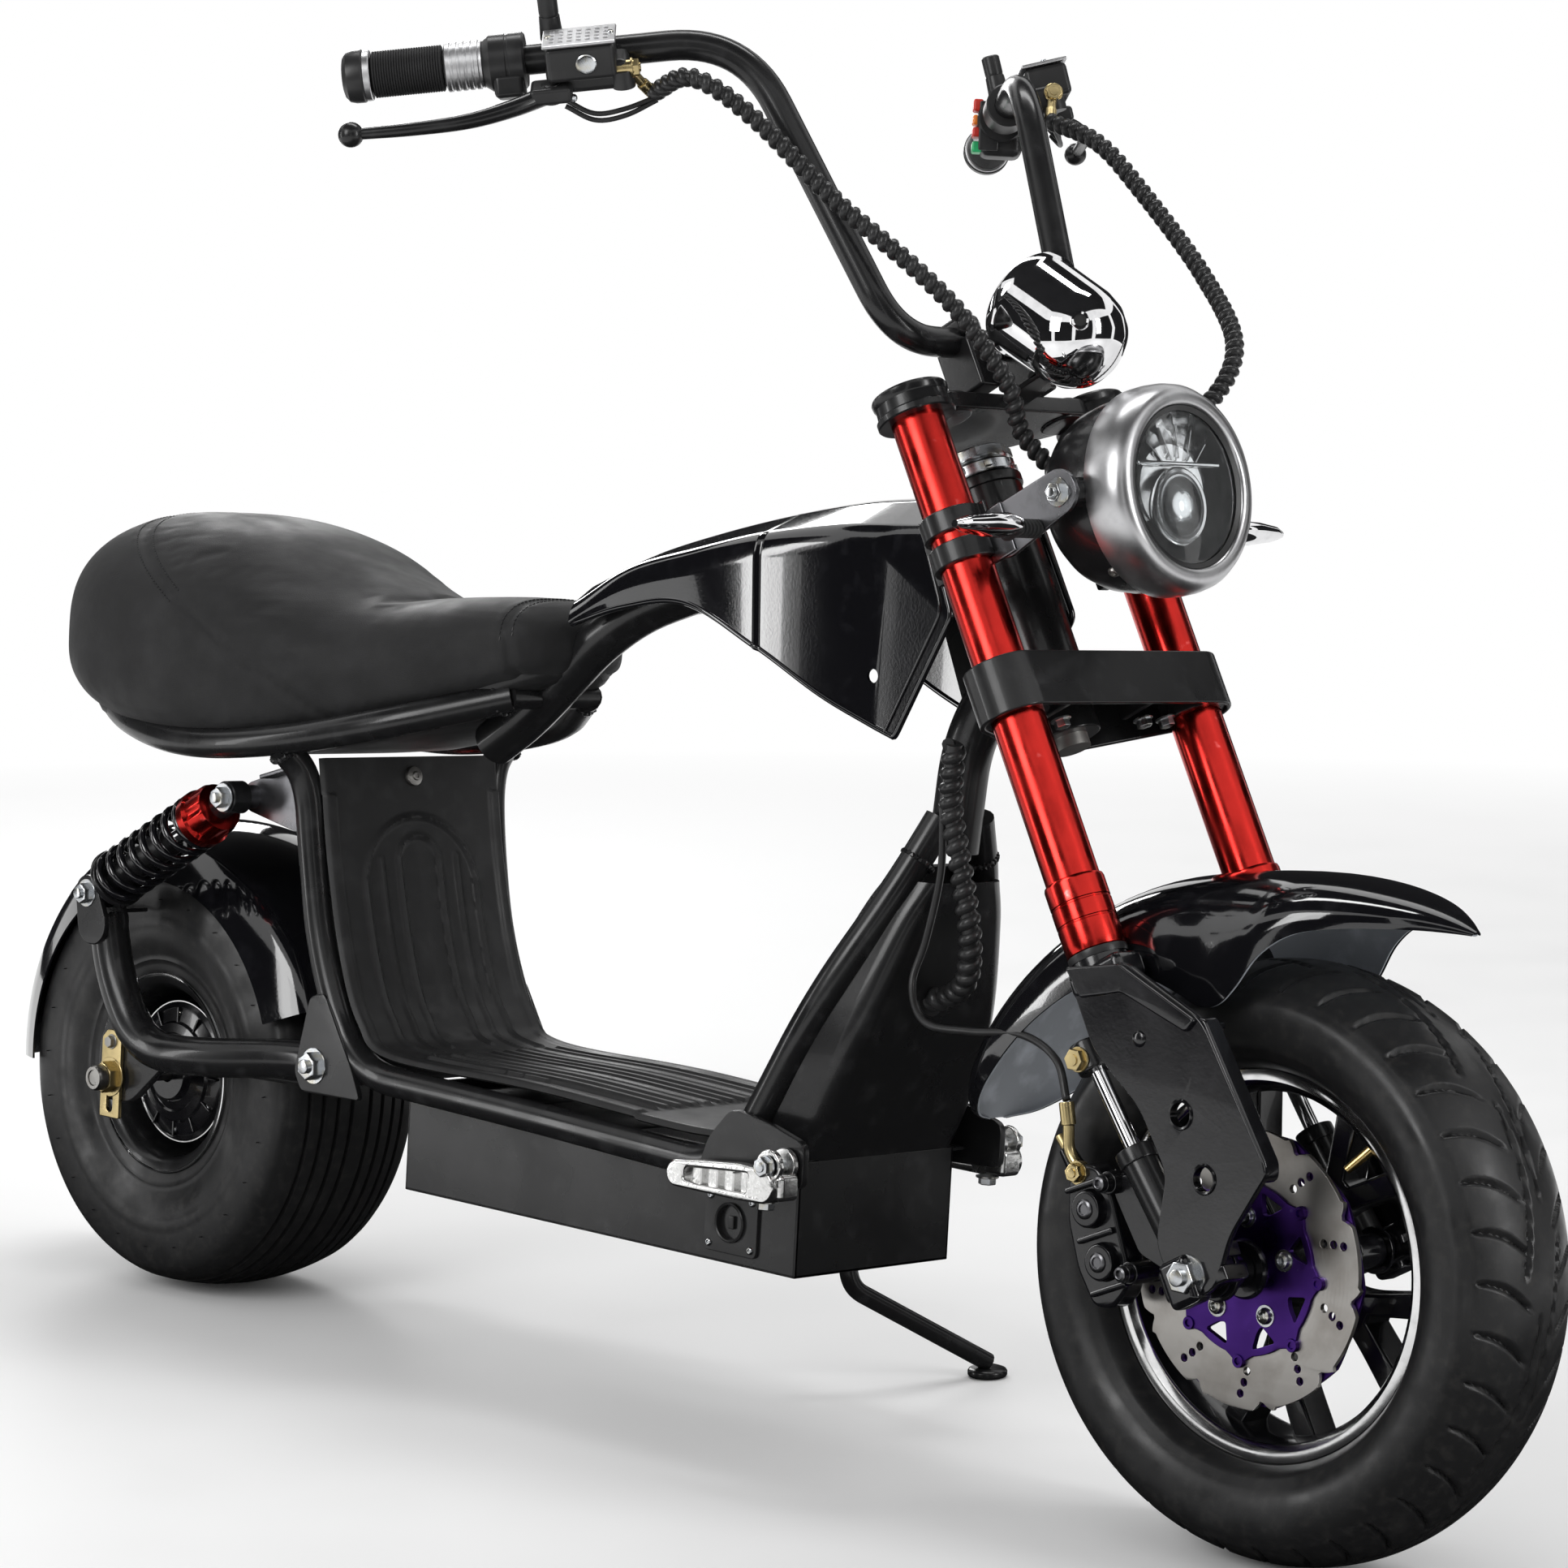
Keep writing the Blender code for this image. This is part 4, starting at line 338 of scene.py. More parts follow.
def anodised(name, colour, roughness):
    """Dyed anodised aluminium with rub marks and a few pale scuffs."""
    look = keep(name, Look(name, colour, roughness, 1.0))
    look.gloss(look.cloud(40, 6), roughness * 0.75, roughness * 1.3)
    look.tint(look.cloud(26, 4), tuple(c * 0.86 for c in colour), 0.45, 0.75)
    look.tint(look.cloud(95, 8), tuple(min(1.0, c * 1.3 + 0.10) for c in colour), 0.68, 0.80)
    look.relief(look.cloud(700, 3), 0.05, 0.0003)


def clear(name, colour, roughness, share=1.0):
    """Clear or tinted moulded lens."""
    look = keep(name, Look(name, colour, roughness))
    look.set("Transmission Weight", share)
    look.set("IOR", 1.46)
    look.gloss(look.cloud(60, 4), roughness, roughness + 0.05)


def settings():
    """The scene's own settings."""
    return bpy.context.scene.scooter


class SCOOTER_OT_finishes(bpy.types.Operator):
    """Make every paint, metal, rubber and plastic of the scooter"""

    bl_idname = "scooter.finishes"
    bl_label = "Finishes"

    def execute(self, context):
        colours = settings().colours
        painted("gloss_paint", colours.gloss, 0.07, 0.8)
        painted("satin_paint", colours.satin, 0.27, 0.15)
        cast = painted("cast_paint", colours.gloss, 0.20, 0.35)
        cast.relief(cast.cloud(240, 4), 0.07, 0.0006)
        cast.relief(cast.cloud(38, 3), 0.025, 0.0020)
        moulded("moulded_plastic", colours.plastic, 0.46, 1000, 0.16)
        moulded("smooth_plastic", colours.plastic, 0.34, 1400, 0.05)
        moulded("grip_rubber", colours.rubber, 0.62, 1200, 0.20)
        moulded("battery_wrap", (0.024, 0.024, 0.026), 0.42, 400, 0.08)
        for name, colour in (("red_button", (0.55, 0.03, 0.02)), ("orange_button", (0.75, 0.20, 0.02)),
                             ("green_button", (0.02, 0.34, 0.12)), ("dial_white", (0.75, 0.75, 0.73))):
            moulded(name, colour, 0.30, 1500, 0.04)
        leather()
        tyre_rubber()
        brushed_disc()
        anodised("red_anodised", colours.fork, 0.21)
        anodised("purple_anodised", colours.carrier, 0.36)
        zinc = metal("zinc", (0.62, 0.64, 0.66), 0.26)
        zinc.tint(zinc.cloud(120, 4), (0.60, 0.57, 0.48), 0.5, 0.7)
        metal("brass", (0.66, 0.53, 0.27), 0.30)
        metal("chrome", (0.86, 0.86, 0.87), 0.05, 0.01, 200, 0.6)
        metal("polished", (0.80, 0.80, 0.80), 0.13, 0.03)
        metal("satin_silver", (0.78, 0.78, 0.79), 0.36, 0.04, 1400, 0.12)
        metal("bezel_silver", (0.60, 0.60, 0.61), 0.33, 0.03, 1400, 0.12)
        metal("cast_aluminium", (0.74, 0.74, 0.73), 0.24, 0.30, 260)
        metal("plain_steel", (0.42, 0.41, 0.39), 0.36)
        metal("gold", (0.70, 0.50, 0.20), 0.22)
        metal("ear_steel", (0.20, 0.20, 0.21), 0.30, 0.05, 900, 0.2)
        metal("reflector", (0.93, 0.93, 0.93), 0.14, 0.02, 300, 0.3)
        moulded("lining_grey", (0.34, 0.36, 0.39), 0.40, 1100, 0.06)
        clear("clear_lens", (0.95, 0.97, 0.98), 0.02)
        clear("red_lens", (0.55, 0.01, 0.01), 0.10, 0.6)
        return {"FINISHED"}


# Shapes

def moved(bm, matrix):
    """The same bmesh, moved by a matrix."""
    bmesh.ops.transform(bm, matrix=matrix, verts=bm.verts)
    return bm


def as_mesh(name, bm):
    """A bmesh turned into a mesh; the bmesh goes."""
    mesh = bpy.data.meshes.new(name)
    bm.to_mesh(mesh)
    bm.free()
    return mesh


def in_scene(name, data):
    """A new object with this data, in the scene."""
    obj = bpy.data.objects.new(name, data)
    bpy.context.scene.collection.objects.link(obj)
    return obj


def turned(angle, axis):
    """Matrix of a turn about an axis, its angle in radians."""
    return Matrix.Rotation(angle, 4, axis)


def tilted(degrees, axis):
    """Matrix of a turn about an axis, its angle in degrees."""
    return Matrix.Rotation(math.radians(degrees), 4, axis)


def softened(points, reach, steps):
    """A closed flat outline with its corners rounded."""
    return [(p.x, p.y) for p in eased([(*p, 0) for p in points], reach, steps, True)]


def mirrored(half):
    """A closed (radius, y) profile from its half and the same at the other side."""
    return half + [(r, -y) for r, y in reversed(half)]


def at(x, y, z):
    """Matrix of a plain shift."""
    return Matrix.Translation((x, y, z))


def along(start, end):
    """Matrix that puts the local Z axis on the line from start to end, at start."""
    start, end = Vector(start), Vector(end)
    return Matrix.Translation(start) @ (end - start).to_track_quat("Z", "Y").to_matrix().to_4x4()


def side_plane(y):
    """Matrix whose XY plane is the bike's X-Z plane at y."""
    return Matrix.Translation((0, y, 0)) @ turned(math.pi / 2, "X")


def arc(x, y, radius, start, end, steps=6):
    """Points of an arc, its angles in degrees."""
    angles = [math.radians(start + (end - start) * step / steps) for step in range(steps + 1)]
    return [(x + radius * math.cos(angle), y + radius * math.sin(angle)) for angle in angles]


def eased(points, reach, steps=5, closed=False):
    """The same path with its corners rounded, each from a reach before it to a reach after it."""
    points = [Vector(point) for point in points]
    count = len(points)
    path = []
    for i, here in enumerate(points):
        if not closed and i in (0, count - 1):
            path.append(here)
            continue
        before, after = points[i - 1], points[(i + 1) % count]
        start = here + (before - here).normalized() * min(reach, (before - here).length * 0.49)
        end = here + (after - here).normalized() * min(reach, (after - here).length * 0.49)
        for step in range(steps + 1):
            t = step / steps
            path.append(start * (1 - t) ** 2 + here * 2 * t * (1 - t) + end * t ** 2)
    return path


def flowing(points, steps=8):
    """A smooth curve through the points."""
    points = [Vector(point) for point in points]
    ends = [2 * points[0] - points[1], *points, 2 * points[-1] - points[-2]]
    route = []
    for a, b, c, d in zip(ends, ends[1:], ends[2:], ends[3:]):
        for step in range(steps):
            t = step / steps
            route.append(0.5 * (2 * b + (c - a) * t + (2 * a - 5 * b + 4 * c - d) * t ** 2
                                + (3 * b - a - 3 * c + d) * t ** 3))
    route.append(points[-1])
    return route


def hull(circles, steps=36):
    """The outline round several circles; rows are (x, y, radius)."""
    bm = bmesh.new()
    for x, y, radius in circles:
        bmesh.ops.create_circle(bm, segments=steps, radius=radius, matrix=at(x, y, 0))
    made = bmesh.ops.convex_hull(bm, input=bm.verts)
    inner = [v for v in made["geom_interior"] + made["geom_unused"] if isinstance(v, bmesh.types.BMVert)]
    middle = sum((Vector((x, y)) for x, y, _ in circles), Vector((0, 0))) / len(circles)
    kept = [v.co.xy.copy() for v in bm.verts if v not in inner]
    bm.free()
    return sorted(kept, key=lambda p: math.atan2(p.y - middle.y, p.x - middle.x))


def spun(profile, place=Matrix.Identity(4), sides=48, closed=False):
    """A (radius, height) profile spun about the matrix's Z axis."""
    bm = bmesh.new()
    verts = [bm.verts.new((point[0], 0, point[1])) for point in profile]
    pairs = zip(verts, verts[1:] + verts[:1]) if closed else zip(verts, verts[1:])
    edges = [bm.edges.new(pair) for pair in pairs]
    bmesh.ops.spin(bm, geom=[*verts, *edges], cent=(0, 0, 0), axis=(0, 0, 1), dvec=(0, 0, 0),
                   angle=2 * math.pi, steps=sides, use_merge=True, use_duplicate=False)
    bmesh.ops.remove_doubles(bm, verts=bm.verts, dist=1e-6)
    return moved(bm, place)


def bar(start, end, radius, end_radius=None, sides=32, edge=0.0):
    """A round bar or cone between two points, its end edges rounded."""
    start, end = Vector(start), Vector(end)
    length = (end - start).length
    bm = bmesh.new()
    bmesh.ops.create_cone(bm, cap_ends=True, segments=sides, radius1=radius,
                          radius2=radius if end_radius is None else end_radius, depth=length)
    if edge:
        rims = [e for e in bm.edges if len(e.link_faces) == 2 and any(len(f.verts) > 4 for f in e.link_faces)]
        bmesh.ops.bevel(bm, geom=rims, offset=edge, segments=2, profile=0.5, affect="EDGES", material=-1)
    return moved(bm, along(start, end) @ at(0, 0, length / 2))


def knob(centre, radius, stretch=(1, 1, 1), detail=20):
    """A round knob."""
    bm = bmesh.new()
    bmesh.ops.create_uvsphere(bm, u_segments=detail, v_segments=detail // 2, radius=radius)
    bmesh.ops.scale(bm, vec=stretch, verts=bm.verts)
    return moved(bm, Matrix.Translation(Vector(centre)))


def slab(size, place=Matrix.Identity(4), edge=0.001, segments=2):
    """A box with rounded edges."""
    bm = bmesh.new()
    bmesh.ops.create_cube(bm, size=1.0)
    bmesh.ops.scale(bm, vec=size, verts=bm.verts)
    if edge:
        bmesh.ops.bevel(bm, geom=bm.edges[:], offset=edge, segments=segments, profile=0.5, affect="EDGES",
                        material=-1)
    return moved(bm, place)


def of_curve(curve):
    """A curve's surface as a bmesh with its caps joined on."""
    obj = bpy.data.objects.new("path", curve)
    mesh = bpy.data.meshes.new_from_object(obj)
    bm = bmesh.new()
    bm.from_mesh(mesh)
    bpy.data.objects.remove(obj)
    bpy.data.curves.remove(curve)
    bpy.data.meshes.remove(mesh)
    bmesh.ops.remove_doubles(bm, verts=bm.verts, dist=1e-6)
    return bm


def pipe(points, radius, reach=0.0, sides=5, bend_steps=10, radii=None):
    """A bent round tube with filled ends; sides is its bevel resolution."""
    path = eased(points, reach, bend_steps) if reach else [Vector(point) for point in points]
    curve = bpy.data.curves.new("path", "CURVE")
    curve.dimensions = "3D"
    curve.bevel_depth = radius
    curve.bevel_resolution = sides
    curve.use_fill_caps = True
    spline = curve.splines.new("POLY")
    spline.points.add(len(path) - 1)
    for i, (point, place) in enumerate(zip(spline.points, path)):
        point.co = (*place, 1.0)
        point.radius = radii[i] if radii else 1.0
    return of_curve(curve)


def plate(outlines, thickness, place=Matrix.Identity(4), edge=0.0006, segments=1):
    """A flat plate about the matrix's XY plane; the outlines after the first are holes."""
    curve = bpy.data.curves.new("outline", "CURVE")
    curve.dimensions = "2D"
    curve.fill_mode = "BOTH"
    curve.bevel_depth = edge
    curve.bevel_resolution = segments
    curve.offset = -edge
    curve.extrude = thickness / 2 - edge
    for outline in outlines:
        spline = curve.splines.new("POLY")
        spline.points.add(len(outline) - 1)
        spline.use_cyclic_u = True
        for point, where in zip(spline.points, outline):
            point.co = (where[0], where[1], 0.0, 1.0)
    return moved(of_curve(curve), place)


def ring_outline(x, y, radius, sides=20):
    """A round hole for a plate."""
    return arc(x, y, radius, 360 / sides, 360, sides - 1)


def bridged(rings):
    """A closed body bridged through rings of as many points each."""
    bm = bmesh.new()
    rows = []
    for ring in rings:
        verts = [bm.verts.new(point) for point in ring]
        rows.append([bm.edges.new(pair) for pair in zip(verts, verts[1:] + verts[:1])])
    for row, other in zip(rows, rows[1:]):
        bmesh.ops.bridge_loops(bm, edges=row + other)
    for row in (rows[0], rows[-1]):
        bmesh.ops.contextual_create(bm, geom=row)
    return bm


def sheet_through(rows, across):
    """A grid laid through rows of points by an operator's own grid."""
    bm = bmesh.new()
    bmesh.ops.create_grid(bm, x_segments=len(rows) - 1, y_segments=across - 1, size=0.5)
    for v in bm.verts:
        i = round((v.co.x + 0.5) * (len(rows) - 1))
        j = round((v.co.y + 0.5) * (across - 1))
        v.co = rows[i][j]
    return bm


def thick(bm, thickness, offset=0.0):
    """A sheet given its thickness by Solidify."""
    obj = in_scene("sheet", as_mesh("sheet", bm))
    solidify = obj.modifiers.new("Thickness", "SOLIDIFY")
    solidify.thickness = thickness
    solidify.offset = offset
    solidify.use_even_offset = True
    return baked(obj)


def baked(obj):
    """An object's evaluated mesh as a bmesh; the object goes."""
    bpy.context.view_layer.update()
    mesh = bpy.data.meshes.new_from_object(obj.evaluated_get(bpy.context.evaluated_depsgraph_get()))
    made = bmesh.new()
    made.from_mesh(mesh)
    bpy.data.objects.remove(obj)
    bpy.data.meshes.remove(mesh)
    return made


def pierced(bm, cutter):
    """A closed shape with another cut out of it."""
    objects = []
    for name, shape in (("whole", bm), ("cutter", cutter)):
        objects.append(in_scene(name, as_mesh(name, shape)))
    cut = objects[0].modifiers.new("Cut", "BOOLEAN")
    cut.operation = "DIFFERENCE"
    cut.object = objects[1]
    made = baked(objects[0])
    mesh = objects[1].data
    bpy.data.objects.remove(objects[1])
    bpy.data.meshes.remove(mesh)
    return made


def copies(bm, matrices):
    """One bmesh with a copy of the shape at each matrix."""
    source = as_mesh("copy", bm)
    made = bmesh.new()
    for matrix in matrices:
        fresh = bmesh.new()
        fresh.from_mesh(source)
        step = as_mesh("step", moved(fresh, matrix))
        made.from_mesh(step)
        bpy.data.meshes.remove(step)
    bpy.data.meshes.remove(source)
    return made


def hex_bolt(place, width=0.013, height=0.006, washer=0.0, stub=0.0):
    """A hexagon bolt head on its washer, standing up the matrix's Z axis."""
    radius = width / math.sqrt(3)
    head = bmesh.new()
    bmesh.ops.create_cone(head, cap_ends=True, segments=6, radius1=radius, radius2=radius, depth=height)
    moved(head, at(0, 0, height / 2))
    top = [e for e in head.edges if all(v.co.z > height * 0.9 for v in e.verts)]
    bmesh.ops.bevel(head, geom=top, offset=height * 0.16, segments=2, profile=0.5, affect="EDGES",
                    material=-1)
    shapes = [moved(head, place)]
    if washer:
        shapes.append(spun([(0, 0.0006), (washer - 0.0004, 0.0006), (washer, 0.0002), (washer, -0.0008),
                            (0, -0.0008)], place, 28))
    if stub:
        shapes.append(spun([(0, height + stub), (radius * 0.42, height + stub),
                            (radius * 0.5, height + stub * 0.9), (radius * 0.5, 0), (0, 0)], place, 20))
    return shapes


def socket_screw(place, radius=0.005, height=0.003, socket=0.5):
    """A round-headed screw with a six-sided socket, standing up the matrix's Z axis."""
    dome = [(radius, 0), (radius, height * 0.4), (radius * 0.85, height * 0.85),
            (radius * socket + 0.0004, height)]
    well = bmesh.new()
    bmesh.ops.create_cone(well, cap_ends=True, segments=6, radius1=radius * socket, radius2=radius * socket,
                          depth=height * 0.2)
    moved(well, place @ at(0, 0, height * 0.35))
    return [spun([*dome, (radius * socket, height * 0.96), (radius * socket, height * 0.4),
                  (0, height * 0.4)], place, 24), well]


def bead(centre, axis, radius, size=0.0028, count=26, seed=0):
    """A weld bead: overlapping ripples in a ring."""
    place = along(centre, Vector(centre) + Vector(axis))
    drop = bmesh.new()
    bmesh.ops.create_icosphere(drop, subdivisions=1, radius=size)
    spots = []
    for i in range(count):
        wobble = noise.noise(Vector((seed, i * 0.7, 0)))
        spots.append(place @ turned(2 * math.pi * i / count, "Z") @ at(radius, 0, wobble * size * 0.4)
                     @ Matrix.Scale(1 + 0.25 * wobble, 4))
    return copies(drop, spots)


def piece(name, shapes, look, body, replaces=(), place=None, smooth=38, subdivide=0):
    """A finished piece from its shapes, with its look and its body."""
    whole = bmesh.new()
    for shape in shapes:
        step = as_mesh("step", shape)
        whole.from_mesh(step)
        bpy.data.meshes.remove(step)
    bmesh.ops.remove_doubles(whole, verts=whole.verts, dist=2e-6)
    bmesh.ops.recalc_face_normals(whole, faces=whole.faces)
    mesh = as_mesh(name, whole)
    mesh.transform(PLACES[body] if place is None else place)
    mesh.materials.append(LOOKS[look])
    mesh.shade_smooth()
    mesh.set_sharp_from_angle(angle=math.radians(smooth))
    obj = in_scene(name, mesh)
    if subdivide:
        finer = obj.modifiers.new("Finer", "SUBSURF")
        finer.levels = subdivide
        finer.render_levels = subdivide
    else:
        flat = obj.modifiers.new("Flat faces", "WEIGHTED_NORMAL")
        flat.keep_sharp = True
    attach(obj, body)
    if replaces:
        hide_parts(*replaces)


# Wheels

def crown_height(y, radius, crown):
    """Radius of a tread at a distance from its middle."""
    return radius - crown + math.sqrt(crown ** 2 - y ** 2)


def front_tyre_profile(across):
    """Half of the front tyre's outer (radius, y) line, from the middle of the tread to the bead."""
    places = [FRONT_TREAD * i / across for i in range(across + 1)]
    tread = [(crown_height(y, FRONT_TYRE_RADIUS, FRONT_CROWN), y) for y in places]
    wall = flowing([(tread[-1][0], tread[-1][1], 0), (0.1800, 0.0604, 0), (0.1600, 0.0590, 0),
                    (0.1450, 0.0500, 0), (0.1372, 0.0380, 0), (0.1362, 0.0338, 0)], 5)
    rings = [(p.x + (0.0009 if 0.1465 < p.x < 0.1495 or 0.169 < p.x < 0.171 else 0.0), p.y) for p in wall[1:]]
    return tread + rings + [(0.128, 0.0300)]


def sipe_depth(angle, y):
    """How deep the front tread is cut at an angle and distance from its middle, as a share."""
    sizes = settings().sizes
    pitch = 2 * math.pi / sizes.sipes
    depth = 0.0
    side = 1 if y > 0 else -1
    share = abs(y) / FRONT_TREAD
    turned_angle = angle + (pitch / 2 if side > 0 else 0)
    if SIPE_START < share < 1.0:
        sweep = 0.62 * pitch * (1 - (1 - (share - SIPE_START) / 0.76) ** 2)
        off = (turned_angle - sweep) % pitch
        off = min(off, pitch - off) * 0.205
        ends = min(1.0, (share - SIPE_START) / 0.10, (1.0 - share) / 0.06)
        width = 0.0027 * (0.55 + 0.45 * math.sin(math.pi * (share - SIPE_START) / 0.76))
        depth = max(depth, ends * max(0.0, 1 - (off / width) ** 2))
    long_pitch = 2 * math.pi / 9
    travel = (angle * side + (long_pitch / 2 if side > 0 else 0)) % long_pitch / long_pitch
    if travel < 0.86:
        line = 0.004 + 0.016 * (travel / 0.86) ** 2
        off = abs(abs(y) - line)
        ends = min(1.0, travel / 0.06, (0.86 - travel) / 0.06)
        depth = max(depth, ends * max(0.0, 1 - (off / 0.0019) ** 2))
    return depth


class SCOOTER_OT_front_tyre(bpy.types.Operator):
    """Front tyre with its swept tread cuts"""

    bl_idname = "scooter.front_tyre"
    bl_label = "Front Tyre"

    def execute(self, context):
        half = front_tyre_profile(26)
        inner = [(0.140, 0.0235), (0.175, 0.050), (0.198, 0.030), (0.203, 0.0)]
        right = half + inner
        profile = right + [(r, -y) for r, y in reversed(right[1:-1])]
        tyre = spun(profile, ABOUT_Y, 780, closed=True)
        groove = settings().sizes.groove
        shoulder = crown_height(FRONT_TREAD, FRONT_TYRE_RADIUS, FRONT_CROWN) - 0.001
        for v in tyre.verts:
            radius = math.hypot(v.co.x, v.co.z)
            if radius <= shoulder or abs(v.co.y) > 0.0531:
                continue
            if radius > crown_height(min(abs(v.co.y), FRONT_TREAD), FRONT_TYRE_RADIUS, FRONT_CROWN) - 0.0015:
                share = 1 - sipe_depth(math.atan2(v.co.z, v.co.x), v.co.y) * groove / radius
                v.co.x *= share
                v.co.z *= share
        piece("front_tyre_tread", [tyre], "tyre_rubber", "front_wheel", ["front_tyre"], smooth=60)
        return {"FINISHED"}


class SCOOTER_OT_rear_tyre(bpy.types.Operator):
    """Wide rear tyre with its ribs and plain sidewalls"""

    bl_idname = "scooter.rear_tyre"
    bl_label = "Rear Tyre"

    def execute(self, context):
        groove = 0.0040
        tread = [(crown_height(0.0, REAR_TYRE_RADIUS, REAR_CROWN), 0.0)]
        for middle in (0.010, 0.024, 0.038, 0.051):
            for shift, depth in ((-0.0022, 0), (-0.0017, 1), (0.0017, 1), (0.0022, 0)):
                y = middle + shift
                tread.append((crown_height(y, REAR_TYRE_RADIUS, REAR_CROWN) - depth * groove, y))
        tread.append((crown_height(0.060, REAR_TYRE_RADIUS, REAR_CROWN), 0.060))
        wall = flowing([(crown_height(0.0646, REAR_TYRE_RADIUS, REAR_CROWN) - 0.001, 0.0646, 0),
                        (0.1660, 0.0735, 0), (0.1434, 0.0762, 0), (0.1180, 0.0745, 0), (0.1000, 0.0690, 0),
                        (0.0880, 0.0665, 0), (0.0862, 0.0655, 0)],
                       6)
        rings = [(p.x, p.y + (0.0008 if 0.129 < p.x < 0.133 or 0.097 < p.x < 0.099 else 0.0)) for p in wall]
        right = tread + rings + [(0.078, 0.0615), (0.0905, 0.0520), (0.150, 0.064), (0.174, 0.045),
                                 (0.176, 0.0)]
        profile = right + [(r, -y) for r, y in reversed(right[1:-1])]
        tyre = spun(profile, ABOUT_Y, 288, closed=True)
        whisker = bmesh.new()
        bmesh.ops.create_cone(whisker, cap_ends=True, segments=5, radius1=0.0007, radius2=0.0004, depth=0.005)
        spots = [turned(2 * math.pi * i / 24, "Y") @ at(0.150, side * 0.0765, 0)
                 @ turned(-side * math.pi / 2, "X") for i in range(24) for side in (-1, 1)]
        piece("rear_tyre_tread", [tyre, copies(whisker, spots)], "tyre_rubber", "rear_wheel", ["rear_tyre"],
              smooth=32)
        return {"FINISHED"}


def spoke_outline():
    """Outline of one split spoke, in the wheel's plane, pointing along x."""
    def polar(radius, degrees):
        angle = math.radians(degrees)
        return (radius * math.cos(angle), radius * math.sin(angle))

    half = [(0.020, 0.0100), (0.048, 0.0080), (0.064, 0.0125), polar(0.088, 15.5), polar(0.124, 20.0)]
    gap = [polar(0.124, 11.0), polar(0.096, 6.5), (0.080, 0.0028)]
    upper = eased([(*p, 0) for p in half], 0.008, 4) + eased([(*p, 0) for p in gap], 0.006, 4)
    return [(p.x, p.y) for p in upper] + [(p.x, -p.y) for p in reversed(upper)]


class SCOOTER_OT_front_rim(bpy.types.Operator):
    """Front rim, its split spokes, polished lip, hub and valve"""

    bl_idname = "scooter.front_rim"
    bl_label = "Front Rim"

    def execute(self, context):
        half = [(0.1276, 0.0296), *arc(0.1330, 0.0330, 0.0014, 180, 20, 4), (0.1346, 0.0340),
                (0.1278, 0.0340), (0.1225, 0.0300), (0.1195, 0.0210), (0.1190, 0.0120)]
        barrel = mirrored(half)
        shapes = [spun(barrel, ABOUT_Y, 128, closed=True)]
        spoke = plate([spoke_outline()], 0.028, ABOUT_Y, 0.0028, 2)
        turns = [turned(2 * math.pi * i / 5 + math.radians(20), "Y") for i in range(5)]
        shapes.append(copies(spoke, turns))
        web = plate([eased([(0.030, 0.0035, 0), (0.070, 0.0035, 0), (0.070, -0.0035, 0), (0.030, -0.0035, 0)],
                           0.001, 2, True)], 0.036, ABOUT_Y, 0.001)
        shapes.append(copies(web, turns))
        hub = [(0.0075, 0.043), (0.024, 0.043), (0.0265, 0.041), (0.0290, 0.030), (0.0310, 0.012)]
        shapes.append(spun(mirrored(hub), ABOUT_Y, 64, closed=True))
        piece("front_rim_spokes", shapes, "cast_paint", "front_wheel", ["front_rim"], smooth=32)
        lips = []
        for side, _ in SIDES:
            lip = [(0.1226, 0.0304), *arc(0.1330, 0.0322, 0.0027, 100, 10, 4), (0.1352, 0.0310),
                   (0.1352, 0.0352), (0.1318, 0.0356), (0.1280, 0.0352), (0.1240, 0.0322)]
            lips.append(spun([(r, side * y) for r, y in lip], ABOUT_Y, 144, closed=True))
        piece("front_rim_lips", lips, "polished", "front_wheel", smooth=30)
        turn = tilted(-52, "Y")
        valve = [bar((0.118, -0.012, 0), (0.103, -0.020, 0), 0.0042, 0.0034),
                 bar((0.104, -0.0195, 0), (0.094, -0.0250, 0), 0.0036, 0.0030, edge=0.0005)]
        piece("front_valve", [moved(shape, turn) for shape in valve], "gold", "front_wheel")
        return {"FINISHED"}


